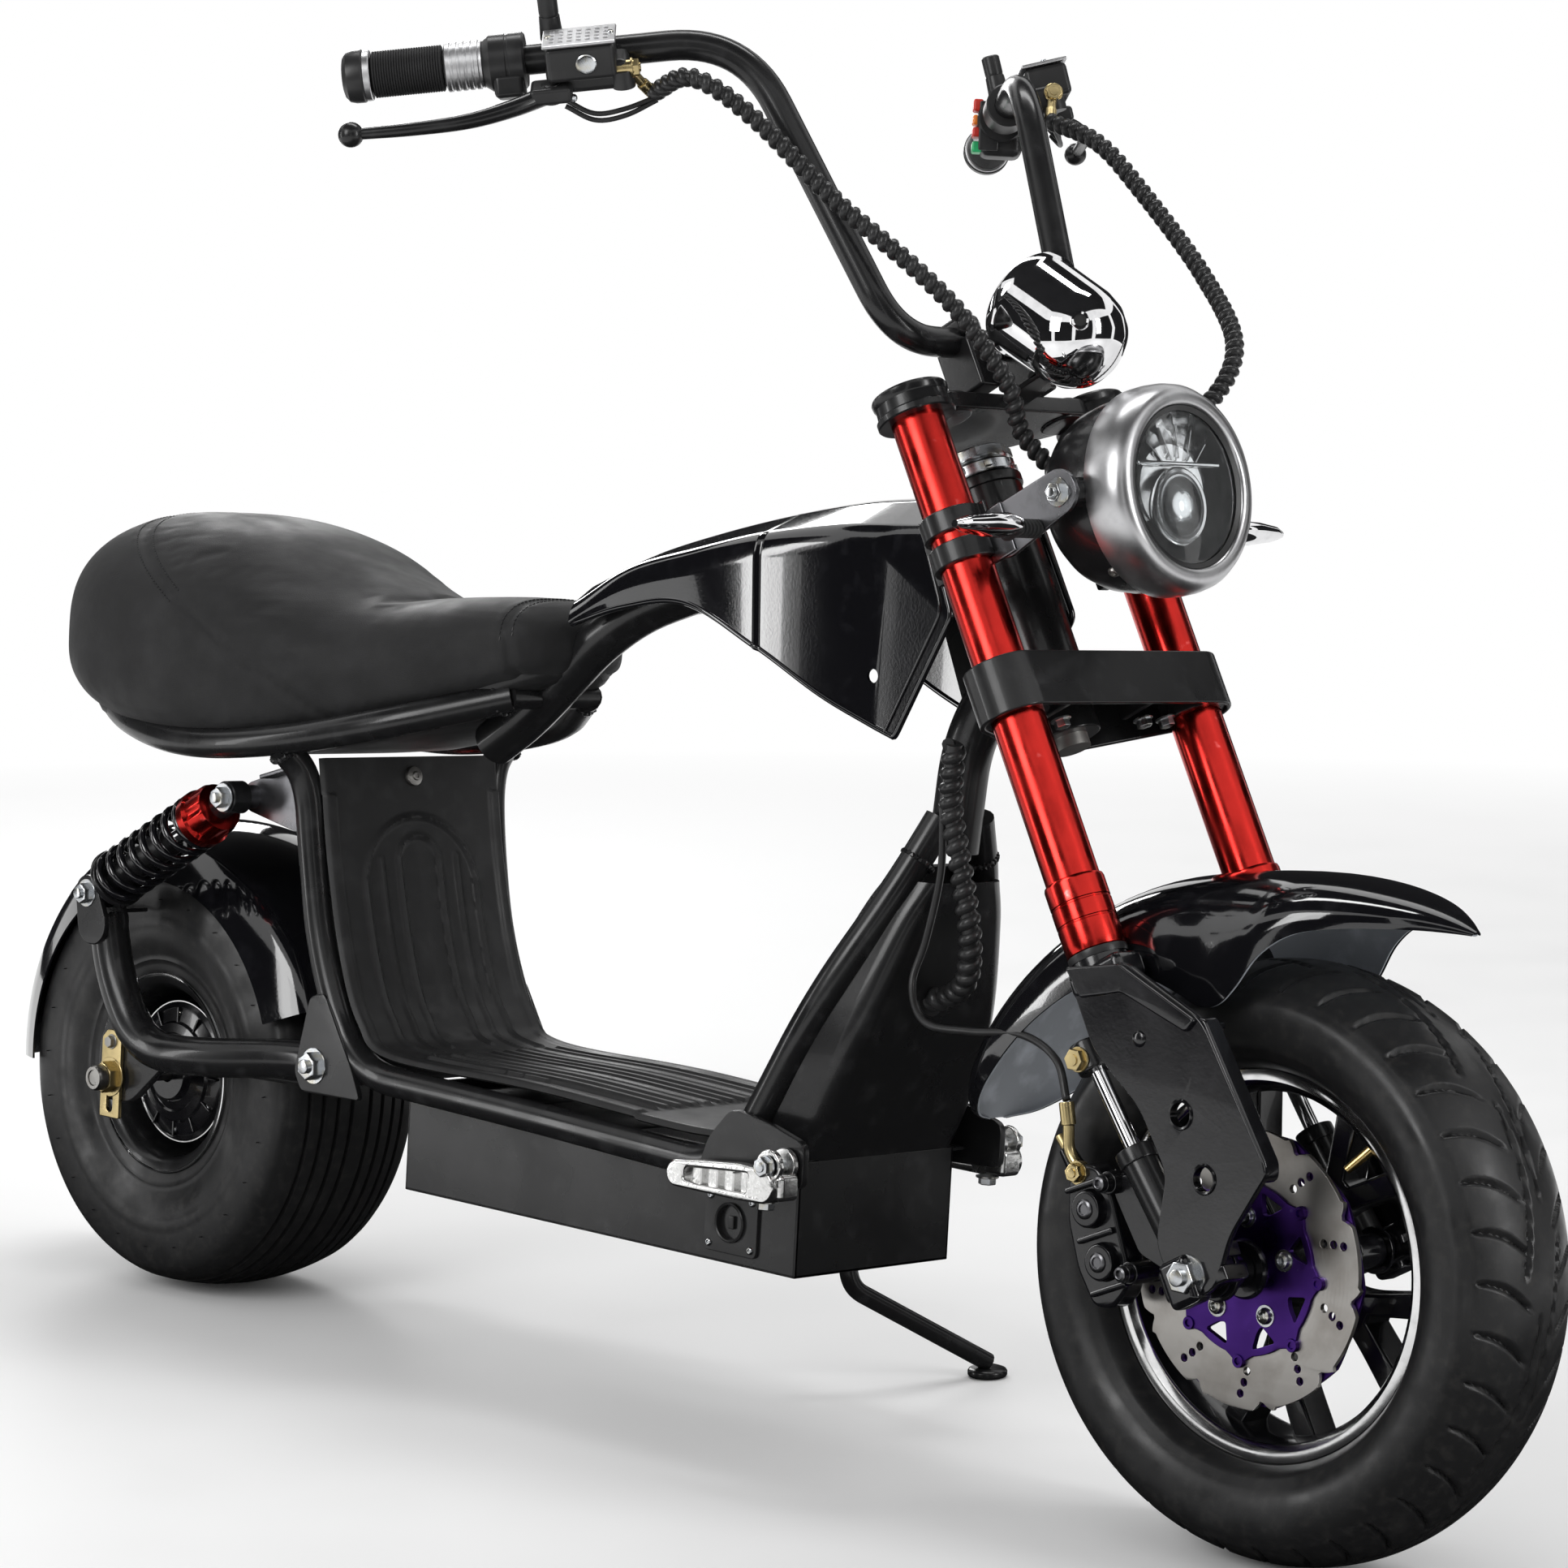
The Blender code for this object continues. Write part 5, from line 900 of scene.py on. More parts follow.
class SCOOTER_OT_brake_disc(bpy.types.Operator):
    """Waved and drilled brake disc on its purple carrier, with bolts and rivets"""

    bl_idname = "scooter.brake_disc"
    bl_label = "Brake Disc"

    def execute(self, context):
        lobes = settings().sizes.disc_lobes
        steps = 24
        outer = []
        for i in range(lobes * steps):
            share = i / steps % 1
            dip = 0.0075 * max(0.0, 1 - abs(share - 0.15) / 0.15) ** 1.3 + 0.0020 * share
            outer.append(Matrix.Rotation(2 * math.pi * i / (lobes * steps), 2) @ Vector((0.098 - dip, 0)))
        holes = [ring_outline(0, 0, 0.0600, 60)]
        for lobe in range(lobes):
            for radius, degrees, size in ((0.0705, 13, 0.0030), (0.0785, 15, 0.0030), (0.0865, 17, 0.0030)):
                angle = 2 * math.pi * lobe / lobes + math.radians(degrees)
                holes.append(ring_outline(radius * math.cos(angle), radius * math.sin(angle), size, 12))
        disc = plate([outer, *holes], 0.004, at(0, DISC_Y, 0) @ ABOUT_Y, 0.0003)
        piece("waved_disc", [disc], "disc_steel", "front_wheel", ["brake_disc"], smooth=25)
        rim = []
        windows = [ring_outline(0, 0, 0.0200, 48)]
        lugs = 8
        for i in range(lugs * 12):
            share = abs(i / 12 % 1 - 0.5) * 2
            rim.append(Matrix.Rotation(2 * math.pi * i / (lugs * 12), 2)
                       @ Vector((0.0600 + 0.0065 * max(0.0, share - 0.55) / 0.45, 0)))
        for i in range(lugs):
            turn = Matrix.Rotation(2 * math.pi * (i + 0.5) / lugs, 2)
            corners = [(0.0545, -0.0105, 0), (0.0545, 0.0105, 0), (0.0450, 0.0035, 0), (0.0410, -0.0025, 0)]
            windows.append([turn @ p.xy for p in eased(corners, 0.0025, 3, True)])
        carrier = plate([rim, *windows], 0.0050, at(0, DISC_Y - 0.0018, 0) @ ABOUT_Y, 0.0005)
        boss = spun([(0.0072, 0.0045), (0.0190, 0.0045), (0.0210, 0.0020), (0.0215, -0.0030),
                     (0.0072, -0.0030)], at(0, DISC_Y - 0.0030, 0) @ turned(math.pi, "X") @ ABOUT_Y, 48,
                    closed=True)
        piece("hub_boss", [boss], "cast_paint", "front_wheel")
        piece("carrier_star", [carrier], "purple_anodised", "front_wheel", ["disc_carrier"], smooth=25)
        outward = at(0, DISC_Y - 0.0044, 0) @ turned(math.pi / 2, "X")
        rivets = []
        for i in range(lugs):
            turn = turned(2 * math.pi * i / lugs, "Z")
            rivets.append(spun([(0.0026, 0.0012), (0.0044, 0.0012), (0.0048, 0.0006), (0.0048, -0.0045),
                                (0.0026, -0.0045)], outward @ turn @ at(0.0640, 0, 0), 20, closed=True))
        piece("disc_rivets", rivets, "purple_anodised", "front_wheel")
        backing = [Matrix.Rotation(2 * math.pi * i / 240, 2)
                   @ Vector((0.0968 - 0.0030 * abs(math.sin(math.pi * i / 24)), 0)) for i in range(240)]
        backing = plate([backing, ring_outline(0, 0, 0.0760, 72)], 0.0030,
                        at(0, DISC_Y + 0.0048, 0) @ ABOUT_Y, 0.0004)
        piece("disc_backing", [backing], "purple_anodised", "front_wheel")
        bolts = []
        for i in range(5):
            turn = turned(2 * math.pi * (i + 0.25) / 5, "Z")
            bolts += [*socket_screw(outward @ turn @ at(0.0360, 0, 0), 0.0058, 0.0040, 0.45),
                      spun([(0, 0.0006), (0.0076, 0.0006), (0.0078, 0), (0, 0)],
                           outward @ turn @ at(0.0360, 0, 0), 24)]
        piece("disc_bolts", bolts, "zinc", "front_wheel")
        return {"FINISHED"}


class SCOOTER_OT_hub_motor(bpy.types.Operator):
    """Rear rim and hub motor with its cover screws and bright rings"""

    bl_idname = "scooter.hub_motor"
    bl_label = "Hub Motor"

    def execute(self, context):
        half = [(0.0777, 0.0618), (0.0850, 0.0622), (0.0858, 0.0660), (0.0835, 0.0672), (0.0780, 0.0655),
                (0.0735, 0.0600), (0.0720, 0.0450), (0.0712, 0.0100)]
        rim = spun(mirrored(half), ABOUT_Y, 96, closed=True)
        web = spun([(0.0590, -0.004), (0.0725, -0.004), (0.0725, 0.004), (0.0590, 0.004)], ABOUT_Y, 96,
                   closed=True)
        piece("rear_rim_barrel", [rim, web], "satin_paint", "rear_wheel", ["rear_rim"])
        cover = [(0.0085, 0.0620), (0.0225, 0.0620), (0.0240, 0.0605), (0.0260, 0.0560), (0.0330, 0.0545),
                 (0.0345, 0.0560), (0.0420, 0.0545), (0.0440, 0.0520), (0.0545, 0.0500), (0.0560, 0.0485),
                 (0.0590, 0.0465), (0.0597, 0.0430)]
        motor = spun(mirrored(cover), ABOUT_Y, 96, closed=True)
        ribs = []
        for side, _ in SIDES:
            for i in range(12):
                turn = turned(2 * math.pi * i / 12, "Y")
                ribs.append(slab((0.015, 0.004, 0.0022), turn @ at(0.0485, side * 0.0512, 0), 0.0006))
        piece("hub_motor_case", [motor, *ribs], "cast_paint", "rear_wheel", ["hub_motor"])
        screws, rings = [], []
        for side, _ in SIDES:
            outward = at(0, side * 0.0497, 0) @ turned(-side * math.pi / 2, "X")
            for i in range(6):
                turn = turned(2 * math.pi * (i + 0.5) / 6, "Z")
                screws += socket_screw(outward @ turn @ at(0.0505, 0, 0), 0.0030, 0.0026)
            rings += [spun([(0.0594, 0.0452), (0.0602, 0.0470), (0.0612, 0.0470), (0.0614, 0.0450)],
                           Matrix.Scale(side, 4, (0, 1, 0)) @ ABOUT_Y, 96, closed=True),
                      spun([(0.0838, 0.0668), (0.0846, 0.0684), (0.0858, 0.0682), (0.0862, 0.0660)],
                           Matrix.Scale(side, 4, (0, 1, 0)) @ ABOUT_Y, 96, closed=True)]
        piece("hub_cover_screws", screws, "zinc", "rear_wheel")
        piece("rear_rim_rings", rings, "polished", "rear_wheel")
        return {"FINISHED"}


# Steering

def fork_point(side, height):
    """A point on one fork tube's axis, in the steering frame."""
    return (FORK_OFFSET, side * FORK_SPACING, height)


class SCOOTER_OT_fork_tubes(bpy.types.Operator):
    """Red fork tubes with their collars, caps and black seals"""

    bl_idname = "scooter.fork_tubes"
    bl_label = "Fork Tubes"

    def execute(self, context):
        for side, name in SIDES:
            profile = [(0, 0.2350), (0.0200, 0.2350), (0.0212, 0.2362), (0.0218, 0.2410), (0.0218, 0.2560),
                       (0.0212, 0.2566), (0.0212, 0.2576), (0.0218, 0.2582), (0.0218, 0.2700),
                       (0.0212, 0.2706), (0.0212, 0.2716), (0.0218, 0.2722), (0.0218, 0.2860),
                       (0.0212, 0.2880), (FORK_RADIUS, 0.2888), (FORK_RADIUS, 0.4000), (FORK_RADIUS, 0.5200),
                       (FORK_RADIUS, 0.6560), (0.0186, 0.6576), (0.0160, 0.6576), (0.0160, 0.6690),
                       (0.0152, 0.6702), (0.0100, 0.6704), (0.0092, 0.6690), (0, 0.6690)]
            tube = spun(profile, at(FORK_OFFSET, side * FORK_SPACING, 0), 72)
            piece("fork_tube_" + name, [tube], "red_anodised", "steering", ["fork_tube_" + name], smooth=28)
            seal = [(0.0180, 0.2300), (0.0212, 0.2300), (0.0216, 0.2330), (0.0214, 0.2352), (0.0180, 0.2352)]
            rings = [spun(seal, at(FORK_OFFSET, side * FORK_SPACING, 0), 56, closed=True)]
            piece("fork_seal_" + name, rings, "smooth_plastic", "steering")
        return {"FINISHED"}


class SCOOTER_OT_clamps(bpy.types.Operator):
    """Upper and lower fork clamps, the stem nut and their bolts"""

    bl_idname = "scooter.clamps"
    bl_label = "Fork Clamps"

    def execute(self, context):
        reach = FORK_RADIUS + 0.0085
        centre = (0.004, 0, 0.034)
        ends = [(FORK_OFFSET, side * FORK_SPACING, reach) for side, _ in SIDES]
        inner = [(FORK_OFFSET, side * FORK_SPACING, reach - 0.0042) for side, _ in SIDES]
        tubes = [ring_outline(FORK_OFFSET, side * FORK_SPACING, FORK_RADIUS, 48) for side, _ in SIDES]
        band = plate([hull(ends + [centre], 48), hull(inner + [(0.004, 0, 0.0298)], 48)], 0.041,
                     at(0, 0, 0.4325), 0.0012, 2)
        floor = plate([hull([(x, y, r + 0.001) for x, y, r in inner] + [(0.004, 0, 0.0305)], 48), *tubes],
                      0.006, at(0, 0, 0.4475), 0.0008)
        shapes = [band, floor]
        for side, _ in SIDES:
            shapes.append(spun([(FORK_RADIUS + 0.0002, 0.4135), (0.0236, 0.4135), (0.0240, 0.4145),
                                (0.0240, 0.4470), (FORK_RADIUS + 0.0002, 0.4470)],
                               at(FORK_OFFSET, side * FORK_SPACING, 0), 56, closed=True))
        shapes.append(bar((0, 0, 0.4140), (0, 0, 0.4480), 0.0240, edge=0.0015, sides=48))
        for y in (-0.045, 0.045):
            shapes.append(slab((0.030, 0.006, 0.024), at(0.032, y, 0.4325), 0.001))
        piece("lower_clamp", shapes, "satin_paint", "steering", ["lower_clamp"], smooth=32)

        ring = [(FORK_RADIUS + 0.0001, 0.6455), (0.0280, 0.6455), (0.0290, 0.6465), (0.0290, 0.6505),
                (0.0272, 0.6520), (0.0266, 0.6600), (0.0280, 0.6620), (0.0284, 0.6655), (0.0276, 0.6670),
                (FORK_RADIUS - 0.0030, 0.6670), (FORK_RADIUS - 0.0030, 0.6600),
                (FORK_RADIUS + 0.0001, 0.6580)]
        shapes = [spun(ring, at(FORK_OFFSET, side * FORK_SPACING, 0), 56, closed=True) for side, _ in SIDES]
        waist = [(FORK_OFFSET, side * (FORK_SPACING - 0.030), 0.0175) for side, _ in SIDES]
        outline = hull(waist + [(0.006, 0, 0.032)], 40)
        shapes.append(plate([outline], 0.013, at(0, 0, 0.6560), 0.0015, 2))
        for side, _ in SIDES:
            arm = hull([(FORK_OFFSET, side * (FORK_SPACING - 0.036), 0.0165),
                        (FORK_OFFSET, side * (FORK_SPACING - 0.0235), 0.0150)], 24)
            shapes.append(plate([arm], 0.0160, at(0, 0, 0.6560), 0.0015, 2))
        piece("top_clamp", shapes, "satin_paint", "steering", ["top_clamp"], smooth=32)

        nut = [(0.0136, 0.6190), (0.0262, 0.6190), (0.0268, 0.6200), (0.0268, 0.6270), (0.0262, 0.6280),
               (0.0245, 0.6284), (0.0240, 0.6300), (0.0250, 0.6312), (0.0250, 0.6390), (0.0236, 0.6400),
               (0.0136, 0.6400)]
        shapes = [spun(nut, sides=64, closed=True)]
        flats = bmesh.new()
        bmesh.ops.create_cone(flats, cap_ends=True, segments=8, radius1=0.0276, radius2=0.0276, depth=0.0062)
        shapes.append(moved(flats, at(0, 0, 0.6350)))
        notches = slab((0.004, 0.006, 0.005), at(0.0268, 0, 0.6240), 0.0006)
        shapes.append(copies(notches, [tilted(45 * i + 12, "Z") for i in range(8)]))
        piece("stem_nut", shapes, "zinc", "steering", smooth=25)
        bolts = []
        for side, _ in SIDES:
            for y in (0.045, 0.070):
                place = at(FORK_OFFSET - 0.006, side * y, 0.4135) @ turned(math.pi, "X")
                bolts += hex_bolt(place, 0.010, 0.006, 0.0075)
            outward = at(FORK_OFFSET - 0.020, side * (FORK_SPACING - 0.028), 0.6560)
            bolts += hex_bolt(outward @ turned(-math.pi / 2, "Y"), 0.008, 0.005, 0.006)
        bolts += hex_bolt(at(0, 0, 0.6650), 0.024, 0.008, 0.018)
        piece("clamp_bolts", bolts, "zinc", "steering")
        stem = [bar((0, 0, 0.405), (0, 0, 0.6200), 0.0135, sides=32)]
        piece("stem", stem, "plain_steel", "steering")
        return {"FINISHED"}


def grip_frame(side):
    """Matrix on the bar's end, in the steering frame: X ahead, Y up, Z out along the grip."""
    sweep, drop = math.radians(47.3), math.radians(8.5)
    out = Vector((-math.sin(sweep) * math.cos(drop), side * math.cos(sweep) * math.cos(drop),
                  -math.sin(drop)))
    ahead = Vector((math.cos(sweep), side * math.sin(sweep), 0))
    up = out.cross(ahead) * -side
    corner = STEERING @ Vector((0.0445, side * 0.151, 0.950))
    turn = BIKE.to_3x3()
    return INTO_STEERING @ frame_matrix(corner, turn @ ahead, turn @ up, turn @ out)


def lever_frame(side):
    """The grip's matrix turned to the lever's tilt."""
    return grip_frame(side) @ turned(LEVER_TILTS[side], "Z")


class SCOOTER_OT_handlebar(bpy.types.Operator):
    """Tall swept handlebar and its riser blocks"""

    bl_idname = "scooter.handlebar"
    bl_label = "Handlebar"

    def execute(self, context):
        half = []
        for side, _ in SIDES:
            frame_at = grip_frame(side)
            end = frame_at @ Vector((0, 0, 0.288))
            corner = (0.0445, side * 0.151, 0.950)
            half.append([Vector((0.0465, side * 0.098, 0.708)), Vector(corner), end])
        points = [half[0][2], half[0][1], half[0][0], half[1][0], half[1][1], half[1][2]]
        path = [points[0]]
        for i in range(1, 5):
            path += eased(points[i - 1:i + 2], 0.055 if i in (1, 4) else 0.040, 14)[1:-1]
        path.append(points[5])
        tube = pipe(path, 0.0111, sides=7)
        piece("handlebar", [tube], "satin_paint", "steering", ["handlebar"])
        blocks = []
        for y in (-0.030, 0.030):
            blocks += [slab((0.034, 0.022, 0.040), at(0.0465, y, 0.6865), 0.0025, 3),
                       slab((0.034, 0.022, 0.017), at(0.0465, y, 0.7165), 0.0055, 4)]
        piece("bar_risers", blocks, "satin_paint", "steering")
        bolts = []
        for y in (-0.030, 0.030):
            for forward in (0.0345, 0.0585):
                bolts += socket_screw(at(forward, y, 0.7235), 0.0042, 0.0040)
        piece("bar_riser_bolts", bolts, "plain_steel", "steering")
        return {"FINISHED"}


def ribbed(start, end, radius, pitch, depth):
    """Profile of a ribbed sleeve."""
    count = max(1, round((end - start) / pitch))
    profile = []
    for i in range(count):
        low = start + (end - start) * i / count
        step = (end - start) / count
        profile += [(radius - depth, low), (radius - depth, low + step * 0.15), (radius, low + step * 0.30),
                    (radius, low + step * 0.80), (radius - depth, low + step * 0.95)]
    return profile


class SCOOTER_OT_grips(bpy.types.Operator):
    """Ribbed grips with silver sleeves, end caps and the throttle housing"""

    bl_idname = "scooter.grips"
    bl_label = "Grips"

    def execute(self, context):
        for side, name, node in ((-1, "right", "throttle_grip"), (1, "left", "left_grip")):
            place = STEERING @ grip_frame(side)
            rubber = [(0.0112, 0.2180), *ribbed(0.2190, 0.2700, 0.0168, 0.0019, 0.0008), (0.0112, 0.2720)]
            shapes = [spun(rubber, sides=64)]
            piece("grip_rubber_" + name, shapes, "grip_rubber", "steering", [node], place=place, smooth=50)
            silver = [(0.0112, 0.1895), (0.0170, 0.1900), *ribbed(0.1910, 0.2170, 0.0178, 0.0052, 0.0009),
                      (0.0112, 0.2185)]
            ring = [(0.0112, 0.2716), (0.0178, 0.2716), (0.0184, 0.2722), (0.0184, 0.2762), (0.0178, 0.2770),
                    (0.0112, 0.2770)]
            piece("grip_silver_" + name, [spun(silver, sides=56), spun(ring, sides=56)], "satin_silver",
                  "steering", place=place, smooth=35)
            cap = [(0.0112, 0.2768), (0.0186, 0.2768), (0.0193, 0.2776), (0.0192, 0.2840), (0.0180, 0.2885),
                   (0.0145, 0.2914), (0.0110, 0.2923), (0, 0.2924)]
            piece("grip_cap_" + name, [spun(cap, sides=48)], "smooth_plastic", "steering", place=place,
                  smooth=35)
        housing = [(0.0112, 0.1585), (0.0190, 0.1585), (0.0205, 0.1600), (0.0205, 0.1700), (0.0200, 0.1706),
                   (0.0200, 0.1722), (0.0205, 0.1728), (0.0205, 0.1840), (0.0190, 0.1860), (0.0165, 0.1895),
                   (0.0112, 0.1895)]
        shapes = [spun(housing, sides=56, closed=True),
                  slab((0.026, 0.017, 0.022), at(0.004, -0.0185, 0.1715), 0.004, 3)]
        piece("throttle_housing", shapes, "smooth_plastic", "steering", place=STEERING @ grip_frame(-1),
              smooth=35)
        return {"FINISHED"}


class SCOOTER_OT_controls(bpy.types.Operator):
    """Brake levers with their reservoirs, mirror sockets, brass fittings and the switch block"""

    bl_idname = "scooter.controls"
    bl_label = "Bar Controls"

    def execute(self, context):
        for side, name in SIDES:
            place = STEERING @ lever_frame(side)
            body = [slab((0.034, 0.026, 0.050), at(0.034, 0.010, 0.116), 0.004, 3),
                    slab((0.030, 0.022, 0.060), at(0.024, -0.005, 0.113), 0.005, 3),
                    slab((0.026, 0.030, 0.022), at(0.004, 0.000, 0.116), 0.006, 3),
                    slab((0.026, 0.012, 0.030), at(0.040, -0.012, 0.140), 0.003, 3),
                    bar((0.034, -0.016, 0.088), (0.034, -0.002, 0.088), 0.0085, edge=0.001),
                    bar((0, 0.014, 0.138), (0, 0.032, 0.138), 0.0085, 0.0075, edge=0.0008),
                    spun([(0.0042, 0.032), (0.0068, 0.032), (0.0072, 0.034), (0.0072, 0.047), (0.0064, 0.048),
                          (0.0042, 0.048)], at(0, 0, 0.138) @ turned(-math.pi / 2, "X"), 36, closed=True)]
            collar = [(0.0112, 0.100), (0.0165, 0.100), (0.0175, 0.101), (0.0175, 0.131), (0.0165, 0.132),
                      (0.0112, 0.132)]
            body.append(spun(collar, sides=48, closed=True))
            piece("lever_body_" + name, body, "smooth_plastic", "steering", ["brake_lever_" + name],
                  place=place, smooth=34)
            blade = flowing([(0.038, -0.014, 0.142), (0.056, -0.016, 0.168), (0.068, -0.018, 0.200),
                             (0.073, -0.018, 0.240), (0.072, -0.018, 0.283)], 8)
            radii = [1.25 - 0.55 * (i / (len(blade) - 1)) for i in range(len(blade))]
            lever = [pipe(blade, 0.0058, sides=4, radii=radii),
                     knob((0.072, -0.018, 0.2840), 0.0092, detail=28),
                     bar((0.041, -0.020, 0.140), (0.041, -0.005, 0.140), 0.0070, edge=0.001)]
            piece("lever_blade_" + name, lever, "satin_paint", "steering", place=place, smooth=45)
            lid = [slab((0.037, 0.0030, 0.053), at(0.034, 0.0248, 0.116), 0.0012, 2)]
            for row in range(4):
                for column in range(7):
                    where = at(0.0235 + row * 0.007, 0.0266, 0.0965 + column * 0.0065)
                    lid.append(slab((0.0038, 0.0012, 0.0036), where, 0.0004, 1))
            piece("reservoir_lid_" + name, lid, "satin_silver", "steering", place=place)
            trim = []
            for z in (0.0935, 0.1385):
                trim += socket_screw(at(0.034, 0.0264, z) @ ABOUT_Y, 0.0026, 0.0014)
            trim += [spun([(0, 0.0010), (0.0052, 0.0010), (0.0066, 0.0016), (0.0074, 0.0010), (0.0074, 0)],
                          at(0.0510, 0.010, 0.112) @ turned(math.pi / 2, "Y"), 32),
                     *socket_screw(at(0.0400, -0.0180, 0.1250) @ turned(math.pi / 2, "Y"), 0.0030, 0.0030)]
            piece("lever_screws_" + name, trim, "zinc", "steering", place=place)
            fitting = [bar((0.034, -0.002, 0.094), (0.034, -0.002, 0.079), 0.0062, edge=0.0008),
                       *hex_bolt(at(0.034, -0.002, 0.0805) @ turned(math.pi, "Y"), 0.0115, 0.005, 0.0075,
                                 0.001),
                       bar((0.034, -0.002, 0.0835), (0.028, -0.016, 0.0755), 0.0036),
                       bar((0.028, -0.016, 0.0755), (0.024, -0.026, 0.0690), 0.0046, edge=0.0008)]
            piece("hose_fitting_" + name, fitting, "brass", "steering", place=place)
            wires = []
            for shift in (-0.0025, 0.0025):
                wires.append(pipe(flowing([(0.032, -0.024 + shift, 0.132), (0.034, -0.036 + shift, 0.112),
                                           (0.031, -0.036 + shift, 0.090),
                                           (0.025, -0.030 + shift * 0.5, 0.066)],
                                          8),
                                  0.0019, sides=2))
            piece("switch_wires_" + name, wires, "smooth_plastic", "steering", place=place, smooth=60)
        place = STEERING @ grip_frame(1)
        body = [slab((0.034, 0.046, 0.026), at(0.001, -0.006, 0.1685), 0.007, 4),
                spun([(0.0112, 0.151), (0.0180, 0.151), (0.0195, 0.153), (0.0195, 0.176), (0.0180, 0.178),
                      (0.0112, 0.178)], sides=40, closed=True),
                slab((0.016, 0.040, 0.004), at(-0.010, -0.006, 0.1545), 0.0015, 2)]
        piece("switch_block", body, "smooth_plastic", "steering", ["switch_cluster"], place=place, smooth=40)
        for i, (look, y, size) in enumerate((("red_button", 0.012, 0.010), ("orange_button", 0.000, 0.008),
                                             ("red_button", -0.010, 0.008), ("green_button", -0.022, 0.009))):
            button = [slab((0.008, size, 0.012), at(-0.0185, y, 0.1655), 0.0018, 3)]
            piece(f"switch_button_{i}", button, look, "steering", place=place)
        return {"FINISHED"}


# The headlamp's frame in the steering's: the lamp dips by 10.8 degrees, the fork is raked by 28.755
LAMP = Matrix.Translation((0.170, 0, 0.532)) @ tilted(90 - 10.8 + 28.755, "Y")


